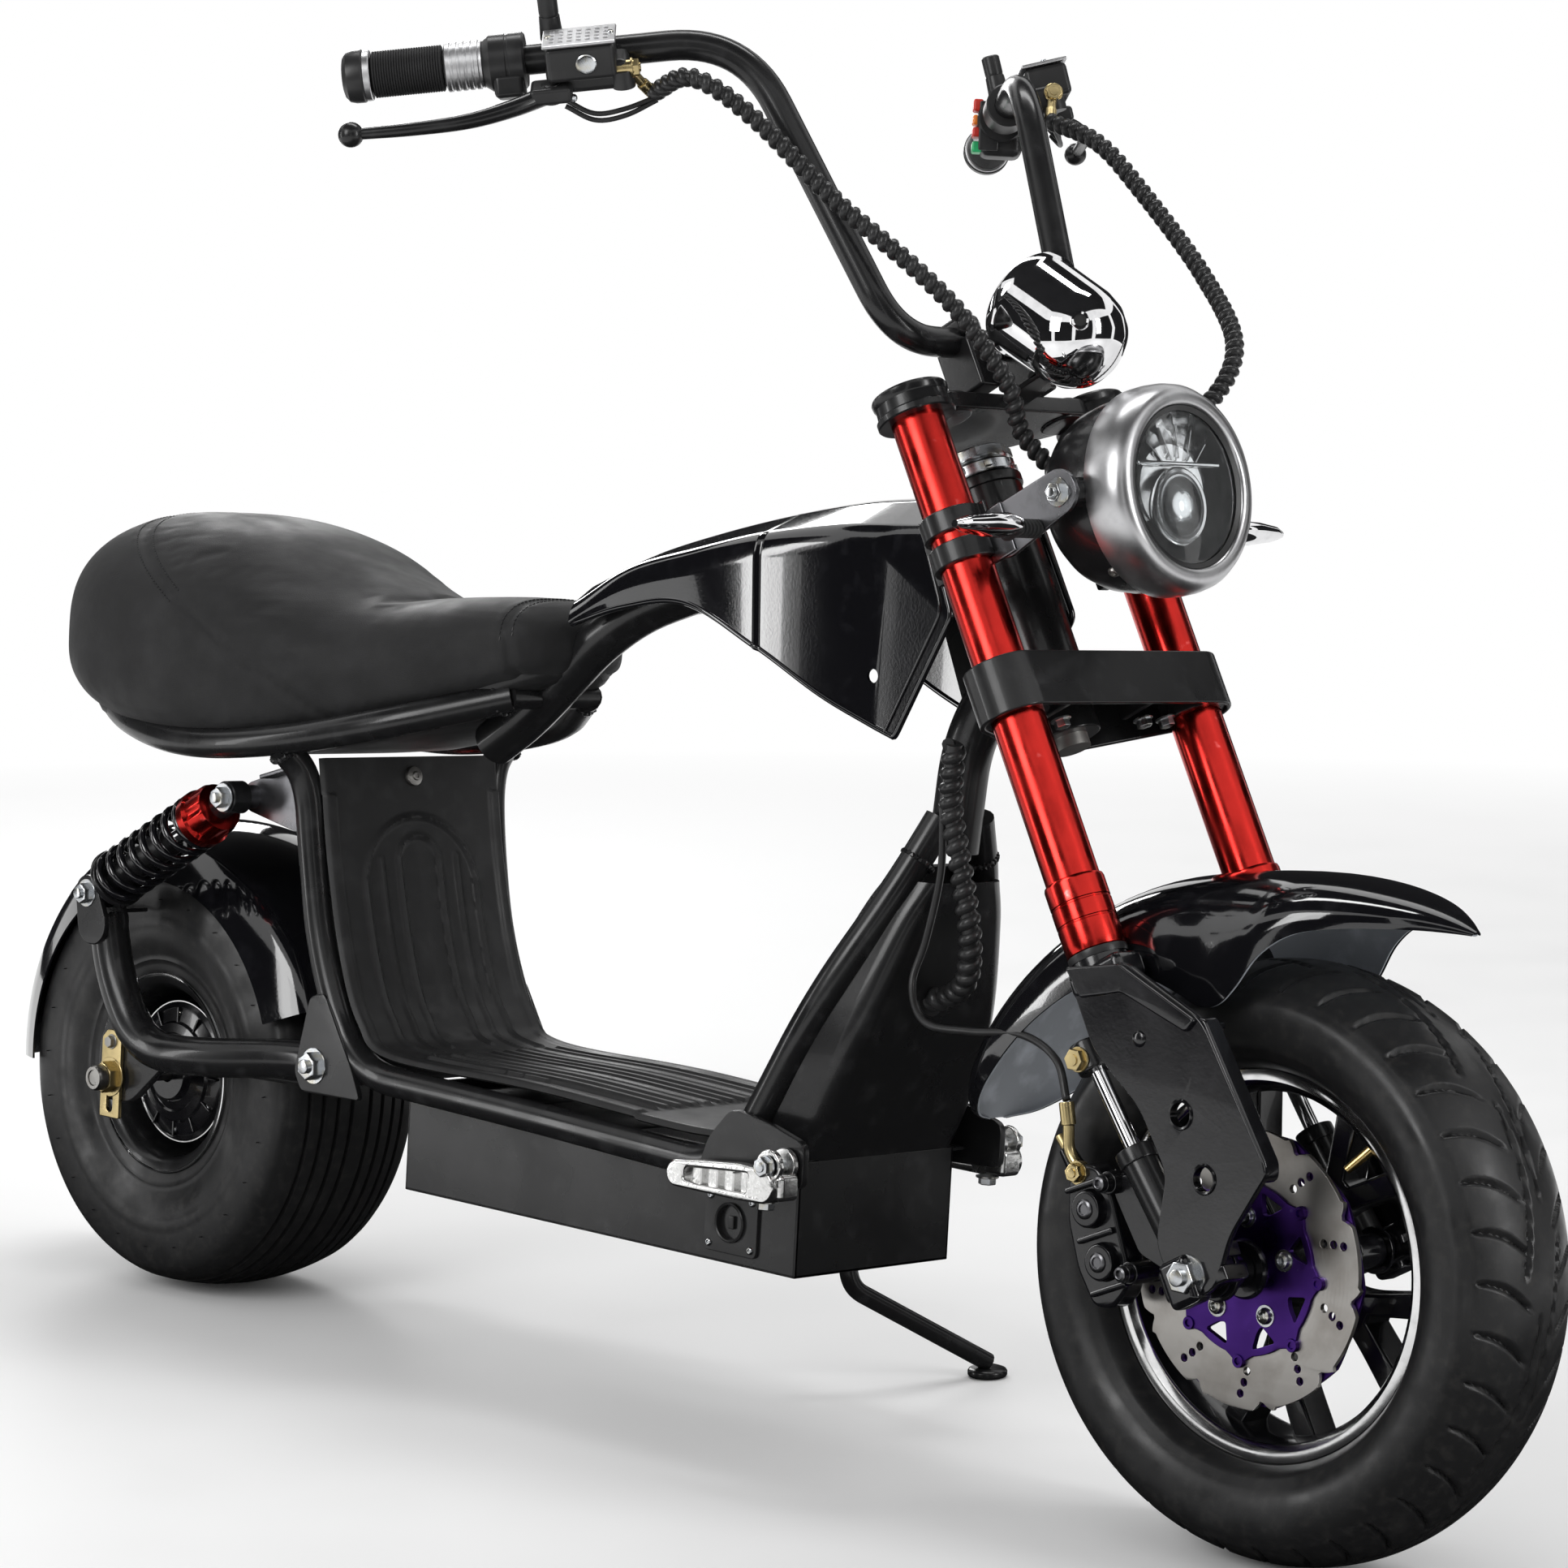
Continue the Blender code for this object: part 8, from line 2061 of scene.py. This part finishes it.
class SCOOTER_OT_cover(bpy.types.Operator):
    """Faceted tank-like cover in high gloss with its rib, rim and side hole"""

    bl_idname = "scooter.cover"
    bl_label = "Frame Cover"

    def execute(self, context):
        tables = (flowing([(x, ridge, half) for x, ridge, half, _, _, _ in COVER], 10),
                  flowing([(x, shoulder, half) for x, _, _, shoulder, half, _ in COVER], 10),
                  flowing([(x, low, half) for x, _, _, _, half, low in COVER], 10))
        places = [COVER[0][0] + (COVER[-1][0] - COVER[0][0]) * i / 60 for i in range(61)]
        places += [COVER_CREASE + 0.0008 * i for i in range(-6, 8)]
        halves = [cover_row(x, tables) for x in sorted(places)]
        last, front = halves[-1], [Vector(p) for p in COVER_FRONT]
        halves += [[a.lerp(b, share / 8) for a, b in zip(last, front)] for share in range(1, 9)]
        rows = []
        for half_row in halves:
            rounded = eased(half_row, 0.006, 6)
            rows.append([Vector((p.x, -p.y, p.z)) for p in reversed(rounded[1:])] + rounded)
        skin = thick(sheet_through(rows, len(rows[0])), 0.0024, 0.0)
        for side, _ in SIDES:
            hole = bar((0.812, side * 0.050, 0.589), (0.812, side * 0.080, 0.589), 0.0052, sides=28)
            skin = pierced(skin, hole)
        piece("body_cover_skin", [skin], "gloss_paint", "frame", ["body_cover"], smooth=26)
        rims = []
        for side, _ in SIDES:
            edge = [Vector((p.x, side * p.y, p.z)) for p in (row[-1] for row in halves)]
            edge += [Vector((p.x, side * p.y, p.z)) for p in reversed(front[2:-1])]
            rims.append(pipe(eased(edge, 0.006, 4), 0.0026, sides=3))
            inner = [p + Vector((-0.0085, side * 0.0016, 0.0035)) for p in edge[-3:]]
            rims.append(pipe(eased(inner, 0.010, 4), 0.0014, sides=2))
        piece("body_cover_rim", rims, "gloss_paint", "frame", smooth=50)
        return {"FINISHED"}


SEAT = ((-0.122, 0.064, 0.540, 0.606), (-0.102, 0.108, 0.520, 0.640), (-0.050, 0.138, 0.494, 0.664),
        (0.020, 0.149, 0.480, 0.668), (0.100, 0.148, 0.475, 0.654), (0.180, 0.133, 0.482, 0.624),
        (0.250, 0.108, 0.498, 0.607), (0.320, 0.086, 0.520, 0.614), (0.375, 0.070, 0.542, 0.619),
        (0.410, 0.060, 0.555, 0.618), (0.430, 0.042, 0.564, 0.610), (0.439, 0.020, 0.574, 0.600))
# Seams: a point on each seam's plane and the plane's direction, both in the bike's X-Z plane
SEAT_SEAMS = (((0.075, 0.604), (-0.880, 0.475)), ((0.405, 0.590), (-0.217, 0.976)))


def seat_section(half, low, high, count):
    """Closed section of the seat: (y, z) points, squarer below than above."""
    middle = low + (high - low) * 0.36
    points = []
    for i in range(count):
        angle = 2 * math.pi * i / count
        c, s = math.cos(angle), math.sin(angle)
        power, rise = (0.74, high - middle) if s > 0 else (0.50, middle - low)
        points.append((half * math.copysign(abs(c) ** power, c),
                       middle + rise * math.copysign(abs(s) ** power, s)))
    return points


class SCOOTER_OT_seat(bpy.types.Operator):
    """Padded leather seat with sewn panels and a sealed base"""

    bl_idname = "scooter.seat"
    bl_label = "Seat"

    def execute(self, context):
        stations = flowing([(x, half, low) for x, half, low, _ in SEAT], 8)
        tops = flowing([(x, half, high) for x, half, _, high in SEAT], 8)
        rings = []
        for a, b in zip(stations, tops):
            rings.append([(a.x, y, z) for y, z in seat_section(a.y, a.z, b.z, 72)])
        cushion = bridged(rings)
        bmesh.ops.recalc_face_normals(cushion, faces=cushion.faces)
        mesh = as_mesh("seat_cushion_cover", cushion)
        mesh.transform(BIKE)
        seat = in_scene("seat_cushion_cover", mesh)
        self.inflate(seat)
        mesh = seat.data
        surface = BVHTree.FromObject(seat, bpy.context.evaluated_depsgraph_get())
        self.sew(seat, surface)
        mesh.materials.append(LOOKS["seat_leather"])
        mesh.shade_smooth()
        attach(seat, "frame")
        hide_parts("seat_cushion")
        self.base()
        return {"FINISHED"}

    def inflate(self, seat):
        """Even the mesh out, then swell it a little as a stuffed cover."""
        mesh = seat.data
        remesh = seat.modifiers.new("Even", "REMESH")
        remesh.mode = "VOXEL"
        remesh.voxel_size = 0.005
        bpy.context.view_layer.update()
        even = bpy.data.meshes.new_from_object(seat.evaluated_get(bpy.context.evaluated_depsgraph_get()))
        seat.modifiers.clear()
        seat.data = even
        bpy.data.meshes.remove(mesh)
        even.name = "seat_cushion_cover"
        pins = seat.vertex_groups.new(name="held")
        spots = [INTO_BIKE @ v.co for v in even.vertices]
        for v, spot in zip(even.vertices, spots):
            low = 0.5 + 0.5 * max(-1.0, min(1.0, (self.mid_height(spot.x) - 0.012 - spot.z) / 0.012))
            seam = self.seam_share(spot)
            pins.add([v.index], max(low, seam), "REPLACE")
        cloth = seat.modifiers.new("Cloth", "CLOTH")
        shape = cloth.settings
        shape.quality = 6
        shape.mass = 0.4
        shape.tension_stiffness = shape.compression_stiffness = 40
        shape.shear_stiffness = 20
        shape.bending_stiffness = 2
        shape.use_pressure = True
        shape.uniform_pressure_force = 3.0
        shape.vertex_group_mass = "held"
        shape.effector_weights.gravity = 0
        cloth.collision_settings.use_collision = False
        scene = bpy.context.scene
        cloth.point_cache.frame_start = 1
        cloth.point_cache.frame_end = 20
        for frame_number in range(1, 21):
            scene.frame_set(frame_number)
        made = bpy.data.meshes.new_from_object(seat.evaluated_get(bpy.context.evaluated_depsgraph_get()))
        before = [v.co.copy() for v in even.vertices]
        seat.modifiers.clear()
        seat.vertex_groups.clear()
        seat.data = made
        scene.frame_set(1)
        limit = settings().sizes.puff * 0.6
        for v, old in zip(made.vertices, before):
            step = v.co - old
            if step.length > limit:
                v.co = old + step.normalized() * limit
        made.name = "seat_cushion_cover"

    def mid_height(self, x):
        """Half height of the seat at x."""
        for a, b in zip(SEAT, SEAT[1:]):
            if a[0] <= x <= b[0]:
                share = (x - a[0]) / (b[0] - a[0])
                return (a[2] + a[3]) / 2 * (1 - share) + (b[2] + b[3]) / 2 * share
        nearest = SEAT[0] if x < SEAT[0][0] else SEAT[-1]
        return (nearest[2] + nearest[3]) / 2

    def seam_distance(self, spot):
        """Distance to the nearest seam's plane."""
        return min(abs((spot.x - x) * dz - (spot.z - z) * dx) for (x, z), (dx, dz) in SEAT_SEAMS)

    def seam_share(self, spot):
        """How far a place lies in a seam, 0 to 1."""
        return max(0.0, 1 - self.seam_distance(spot) / 0.005)

    def sew(self, seat, surface):
        """Press the seams in and lay the double stitching along them."""
        mesh = seat.data
        normals = [v.normal.copy() for v in mesh.vertices]
        for v, normal in zip(mesh.vertices, normals):
            spot = INTO_BIKE @ v.co
            depth = 0.0030 * max(0.0, 1 - self.seam_distance(spot) / 0.0060) ** 2
            depth -= 0.0008 * max(0.0, 1 - abs(self.seam_distance(spot) - 0.0075) / 0.0050)
            v.co -= normal * depth
        finer = seat.modifiers.new("Finer", "SUBSURF")
        finer.levels = 1
        finer.render_levels = 1
        stitches = []
        for (x, z), (dx, dz) in SEAT_SEAMS:
            for offset in (-0.0052, 0.0052):
                self.stitch_row(Vector((x + dz * offset, 0, z - dx * offset)), Vector((dx, 0, dz)), surface,
                                stitches)
        thread = bmesh.new()
        bmesh.ops.create_cone(thread, cap_ends=True, segments=6, radius1=0.00050, radius2=0.00050,
                              depth=settings().sizes.stitch * 0.62)
        piece("seat_stitches", [copies(thread, stitches)], "smooth_plastic", "frame",
              place=Matrix.Identity(4))

    def stitch_row(self, middle, rise, surface, stitches):
        """Lay stitches round the seat where a seam's plane meets it, from one lower edge to the other."""
        turn = BIKE.to_3x3()
        landed = []
        for step in range(-20, 1201):
            angle = math.pi * step / 1180
            toward = Vector((0, math.cos(angle), 0)) + rise * math.sin(angle)
            hit, normal, _, _ = surface.ray_cast(BIKE @ middle, turn @ toward.normalized())
            if hit is not None:
                landed.append((hit, normal))
        pitch = settings().sizes.stitch
        travelled = 0.0
        for (a, normal), (b, _) in zip(landed, landed[1:]):
            travelled += (b - a).length
            if travelled >= pitch and (b - a).length < 0.004:
                travelled = 0.0
                place = Matrix.Translation(a + normal * 0.0002) @ (b - a).to_track_quat(
                    "Z", "Y").to_matrix().to_4x4()
                stitches.append(place)

    def base(self):
        """Moulded seat pan under the cushion."""
        rings = []
        for x, half, low, _ in SEAT[1:-1]:
            rings.append([(x, y, z) for y, z in seat_section(half * 0.84, low - 0.006, low + 0.024, 40)])
        pan = bridged(rings)
        piece("seat_pan", [pan], "moulded_plastic", "frame", subdivide=1)


class SCOOTER_OT_tail_light(bpy.types.Operator):
    """Tail light under the seat's rear edge"""

    bl_idname = "scooter.tail_light"
    bl_label = "Tail Light"

    def execute(self, context):
        place = BIKE @ at(-0.106, 0, 0.505)
        piece("tail_light_lens", [slab((0.012, 0.068, 0.024), at(-0.002, 0, 0), 0.004, 3)], "red_lens",
              "frame", ["tail_light"], place=place)
        piece("tail_light_case", [slab((0.008, 0.070, 0.028), at(0.004, 0, 0), 0.003, 2)], "smooth_plastic",
              "frame", place=place)
        return {"FINISHED"}


# Cables

def wrapped(route, radius, pitch):
    """A cable with a fat spiral wrap: a swept body with a band wound round it."""
    path = flowing(route, 14)
    lengths = [0.0]
    for a, b in zip(path, path[1:]):
        lengths.append(lengths[-1] + (b - a).length)
    total = lengths[-1]
    count = int(total / pitch)
    per_turn = 18
    half_band = pitch * 0.41
    wind = radius - half_band
    band = []
    k = 0
    normal = (path[1] - path[0]).orthogonal().normalized()
    for i in range(count * per_turn + 1):
        want = total * i / (count * per_turn)
        while k < len(lengths) - 2 and lengths[k + 1] < want:
            k += 1
        share = (want - lengths[k]) / max(1e-9, lengths[k + 1] - lengths[k])
        here = path[k].lerp(path[k + 1], share)
        tangent = (path[k + 1] - path[k]).normalized()
        normal = (normal - tangent * normal.dot(tangent)).normalized()
        other = tangent.cross(normal)
        angle = 2 * math.pi * i / per_turn
        band.append(here + (normal * math.cos(angle) + other * math.sin(angle)) * wind)
    return [pipe(path, wind + half_band * 0.30, sides=4), pipe(band, half_band, sides=3)]


BUNDLES = {
    "right": ((0.735, -0.205, 1.012), (0.770, -0.175, 0.985), (0.820, -0.140, 0.930), (0.868, -0.105, 0.885),
              (0.895, -0.078, 0.850), (0.915, -0.050, 0.805), (0.918, -0.034, 0.770)),
    "left": ((0.755, 0.215, 1.000), (0.800, 0.215, 0.965), (0.880, 0.200, 0.900), (0.945, 0.165, 0.845),
             (0.955, 0.125, 0.800), (0.935, 0.080, 0.775), (0.917, 0.040, 0.757)),
}
HARNESS = ((0.888, -0.056, 0.545), (0.881, -0.048, 0.500), (0.888, -0.040, 0.450), (0.894, -0.034, 0.405),
           (0.882, -0.022, 0.372), (0.858, -0.013, 0.356), (0.834, -0.012, 0.350), (0.812, -0.012, 0.346))


BRAKE_HOSE = ((0.886, -0.052, 0.540), (0.872, -0.046, 0.500), (0.869, -0.042, 0.450), (0.860, -0.044, 0.400),
              (0.856, -0.052, 0.366), (0.880, -0.062, 0.342), (0.930, -0.068, 0.342), (0.985, -0.074, 0.347),
              (1.025, -0.082, 0.335), (1.0417, -0.0875, 0.309))


class SCOOTER_OT_cables(bpy.types.Operator):
    """Spiral-wrapped cable bundles, the frame harness, the brake hose and the motor cable"""

    bl_idname = "scooter.cables"
    bl_label = "Cables"

    def execute(self, context):
        pitch = settings().sizes.wrap
        for side, name in SIDES:
            start = INTO_BIKE @ (STEERING @ (lever_frame(side) @ Vector((0.024, -0.026, 0.069))))
            end = INTO_BIKE @ (STEERING @ (LAMP @ Vector((-0.010, side * 0.015, -0.088))))
            route = [start, *BUNDLES[name], end]
            piece("cable_bundle_" + name, wrapped(route, 0.0073, pitch), "smooth_plastic", "steering",
                  ["cable_bundle_" + name], place=BIKE, smooth=60)
        piece("frame_harness", wrapped(HARNESS, 0.0092, pitch * 1.25), "smooth_plastic", "frame",
              ["frame_harness"], smooth=60)
        cable = flowing([(0.262, 0.060, 0.214), (0.200, 0.066, 0.205), (0.120, 0.094, 0.206),
                         (0.060, 0.100, 0.200), (0.020, 0.098, 0.190), (0.004, 0.090, 0.1867)], 8)
        cable = [Vector((p.x, -p.y, p.z)) for p in cable]
        piece("motor_cable", [pipe(cable, 0.0032, sides=3)], "smooth_plastic", "frame", smooth=60)
        self.brake_hose()
        return {"FINISHED"}

    def brake_hose(self):
        """Hose from the head tube past the shield to the caliper."""
        route = flowing(BRAKE_HOSE, 12)
        hose = pipe(route, 0.0029, sides=3)
        bmesh.ops.recalc_face_normals(hose, faces=hose.faces)
        mesh = as_mesh("brake_hose", hose)
        mesh.transform(BIKE)
        mesh.materials.append(LOOKS["smooth_plastic"])
        mesh.shade_smooth()
        obj = in_scene("brake_hose", mesh)
        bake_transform(obj)


# Stage

CAMERA_TARGET = Vector((0.663, 0.0, 0.495))
# Dark cards stand in a ring round the scooter
CARD_COUNT = 8
CARD_REACH = 4.3
CARD_SIZE = (2.95, 3.1)
# Lamps: name, place, size and power; all look at the scooter's middle
LAMPS_LOOK_AT = (0.0, 0.0, 0.5)
LAMPS = (("key_lamp", (0.2, -3.4, 2.2), (1.4, 1.8), 50), ("front_lamp", (3.6, 0.6, 1.6), (0.6, 1.9), 34),
         ("top_lamp", (-0.3, 0.5, 3.2), (2.2, 0.45), 28), ("rear_lamp", (-3.0, 1.8, 1.9), (0.8, 1.8), 30),
         ("strip_lamp", (-2.7, -2.6, 1.0), (0.34, 2.0), 16))


def softbox(name, place, target, size, power):
    """A rectangular studio lamp."""
    data = bpy.data.lights.new(name, "AREA")
    data.shape = "RECTANGLE"
    data.size, data.size_y = size
    data.energy = power
    lamp = in_scene(name, data)
    lamp.location = place
    lamp.rotation_euler = (Vector(target) - Vector(place)).to_track_quat("-Z", "Y").to_euler()


def dark_card(name, place, target, size):
    """A dark studio card that only reflections see, to give bright metal its contrast."""
    bm = bmesh.new()
    bmesh.ops.create_grid(bm, x_segments=8, y_segments=8, size=0.5)
    bmesh.ops.scale(bm, vec=(*size, 1), verts=bm.verts)
    mesh = as_mesh(name, bm)
    card = in_scene(name, mesh)
    card.location = place
    card.rotation_euler = (Vector(target) - Vector(place)).to_track_quat("-Z", "Y").to_euler()
    if "studio_card" not in bpy.data.materials:
        look = Look("studio_card", (0.012, 0.012, 0.013), 0.9)
        look.set("Specular IOR Level", 0.1)
        look.gloss(look.cloud(3), 0.85, 0.95)
    mesh.materials.append(bpy.data.materials["studio_card"])
    for ray in ("camera", "diffuse", "transmission", "shadow"):
        setattr(card, "visible_" + ray, False)


def studio_world():
    """White world for the camera, glass and metal, and a plain level of light for the rest."""
    world = bpy.data.worlds.new("studio")
    bpy.context.scene.world = world
    world.use_nodes = True
    tree = world.node_tree
    background = tree.nodes["Background"]
    path = tree.nodes.new("ShaderNodeLightPath")
    seen = path.outputs["Is Camera Ray"]
    for name in ("Is Glossy Ray", "Is Transmission Ray"):
        either = tree.nodes.new("ShaderNodeMath")
        either.operation = "MAXIMUM"
        tree.links.new(seen, either.inputs[0])
        tree.links.new(path.outputs[name], either.inputs[1])
        seen = either.outputs[0]
    strength = tree.nodes.new("ShaderNodeMapRange")
    tree.links.new(seen, strength.inputs["Value"])
    strength.inputs["To Min"].default_value = 0.60
    strength.inputs["To Max"].default_value = 1.0
    tree.links.new(strength.outputs["Result"], background.inputs["Strength"])
    background.inputs["Color"].default_value = (1, 1, 1, 1)


def studio_floor():
    """A round pale floor whose far edge fades into the white world."""
    radius = settings().stage.floor_radius
    bm = spun([(0, 0), (radius * 0.25, 0), (radius * 0.6, 0), (radius, 0)], at(0, 0, -0.0004), 96)
    mesh = as_mesh("studio_floor", bm)
    floor = in_scene("studio_floor", mesh)
    look = Look("studio_floor", (0.88, 0.88, 0.88), 0.65)
    look.set("Specular IOR Level", 0.2)
    look.gloss(look.cloud(6), 0.6, 0.75)
    scaled = look.add("ShaderNodeMapping", [("Vector", look.coordinates), ("Scale", (1 / radius,) * 3)])
    ball = look.add("ShaderNodeTexGradient", [("Vector", scaled.outputs[0])], gradient_type="SPHERICAL")
    glow = look.add("ShaderNodeEmission", [("Color", (1, 1, 1, 1)), ("Strength", 1.0)])
    edge = look.spread(ball.outputs["Fac"], 1.0, 0.0, 0.08, 0.55)
    mix = look.add("ShaderNodeMixShader", [("Fac", edge)])
    look.tree.links.new(look.shader.outputs[0], mix.inputs[1])
    look.tree.links.new(glow.outputs[0], mix.inputs[2])
    look.tree.links.new(mix.outputs[0], look.tree.nodes["Material Output"].inputs["Surface"])
    mesh.materials.append(look.material)


def photo_camera():
    """The camera at the photograph's place, set against the leaning bike."""
    stage = settings().stage
    azimuth, height = stage.azimuth, stage.height_angle
    back = Vector((math.sin(azimuth) * math.cos(height), -math.cos(azimuth) * math.cos(height),
                   math.sin(height)))
    turn = (-back).to_track_quat("-Z", "Y").to_matrix().to_4x4() @ turned(stage.roll, "Z")
    data = bpy.data.cameras.new("photo_camera")
    data.sensor_width = 36.0
    data.lens = stage.lens
    camera = in_scene("photo_camera", data)
    camera.matrix_world = BIKE @ Matrix.Translation(CAMERA_TARGET + back * stage.distance) @ turn
    bpy.context.scene.camera = camera


class SCOOTER_OT_stage(bpy.types.Operator):
    """Pale floor, white world, soft lamps and the camera"""

    bl_idname = "scooter.stage"
    bl_label = "Studio Stage"

    def execute(self, context):
        studio_world()
        studio_floor()
        photo_camera()
        for name, place, size, power in LAMPS:
            softbox(name, place, LAMPS_LOOK_AT, size, power)
        for i in range(CARD_COUNT):
            angle = 2 * math.pi * (i + 0.5) / CARD_COUNT
            spot = (CARD_REACH * math.cos(angle), CARD_REACH * math.sin(angle), CARD_SIZE[1] / 2)
            dark_card(f"card_{i}", spot, (0, 0, CARD_SIZE[1] / 2), CARD_SIZE)
        dark_card("card_top", (0, 0, 3.6), (0, 0, 0), (5.4, 5.4))
        dark_card("card_low", (0, 0, 0.0002), (0, 0, -1), (3.0, 1.8))
        scene = bpy.context.scene
        scene.view_settings.view_transform = "Standard"
        return {"FINISHED"}


class SCOOTER_PT_panel(bpy.types.Panel):
    """Lists the scooter's pieces and settings"""

    bl_idname = "SCOOTER_PT_panel"
    bl_label = "Electric Scooter"
    bl_space_type = "VIEW_3D"
    bl_region_type = "UI"
    bl_category = "Scooter"

    def draw(self, context):
        for group in ("colours", "sizes", "stage"):
            box = self.layout.box()
            owner = getattr(context.scene.scooter, group)
            for name in owner.__annotations__:
                box.prop(owner, name)
        for step in BUILD_ORDER:
            self.layout.operator(step.bl_idname)


class ScooterSettings(bpy.types.PropertyGroup):
    """All settings of the scooter."""

    colours: PointerProperty(type=ScooterColours)
    sizes: PointerProperty(type=ScooterSizes)
    stage: PointerProperty(type=ScooterStage)


BUILD_ORDER = (
    SCOOTER_OT_finishes,
    SCOOTER_OT_stage,
    SCOOTER_OT_front_tyre,
    SCOOTER_OT_rear_tyre,
    SCOOTER_OT_front_rim,
    SCOOTER_OT_brake_disc,
    SCOOTER_OT_hub_motor,
    SCOOTER_OT_fork_tubes,
    SCOOTER_OT_clamps,
    SCOOTER_OT_handlebar,
    SCOOTER_OT_grips,
    SCOOTER_OT_controls,
    SCOOTER_OT_headlight,
    SCOOTER_OT_ears,
    SCOOTER_OT_speedometer,
    SCOOTER_OT_fork_legs,
    SCOOTER_OT_front_axle,
    SCOOTER_OT_caliper,
    SCOOTER_OT_front_fender,
    SCOOTER_OT_frame_tubes,
    SCOOTER_OT_swing_arm,
    SCOOTER_OT_shocks,
    SCOOTER_OT_rear_fender,
    SCOOTER_OT_tray,
    SCOOTER_OT_pegs,
    SCOOTER_OT_stand,
    SCOOTER_OT_footboard,
    SCOOTER_OT_shield,
    SCOOTER_OT_cover,
    SCOOTER_OT_seat,
    SCOOTER_OT_tail_light,
    SCOOTER_OT_cables,
)
CLASSES = (ScooterColours, ScooterSizes, ScooterStage, ScooterSettings, *BUILD_ORDER, SCOOTER_PT_panel)


def register():
    """Register the add-on's classes and its settings."""
    for kind in CLASSES:
        bpy.utils.register_class(kind)
    bpy.types.Scene.scooter = PointerProperty(type=ScooterSettings)


def unregister():
    """Take the add-on's classes and its settings away."""
    del bpy.types.Scene.scooter
    for kind in reversed(CLASSES):
        bpy.utils.unregister_class(kind)


def main():
    """Build every piece in order."""
    register()
    for step in BUILD_ORDER:
        group, name = step.bl_idname.split(".")
        getattr(getattr(bpy.ops, group), name)()


if __name__ == "__main__":
    main()
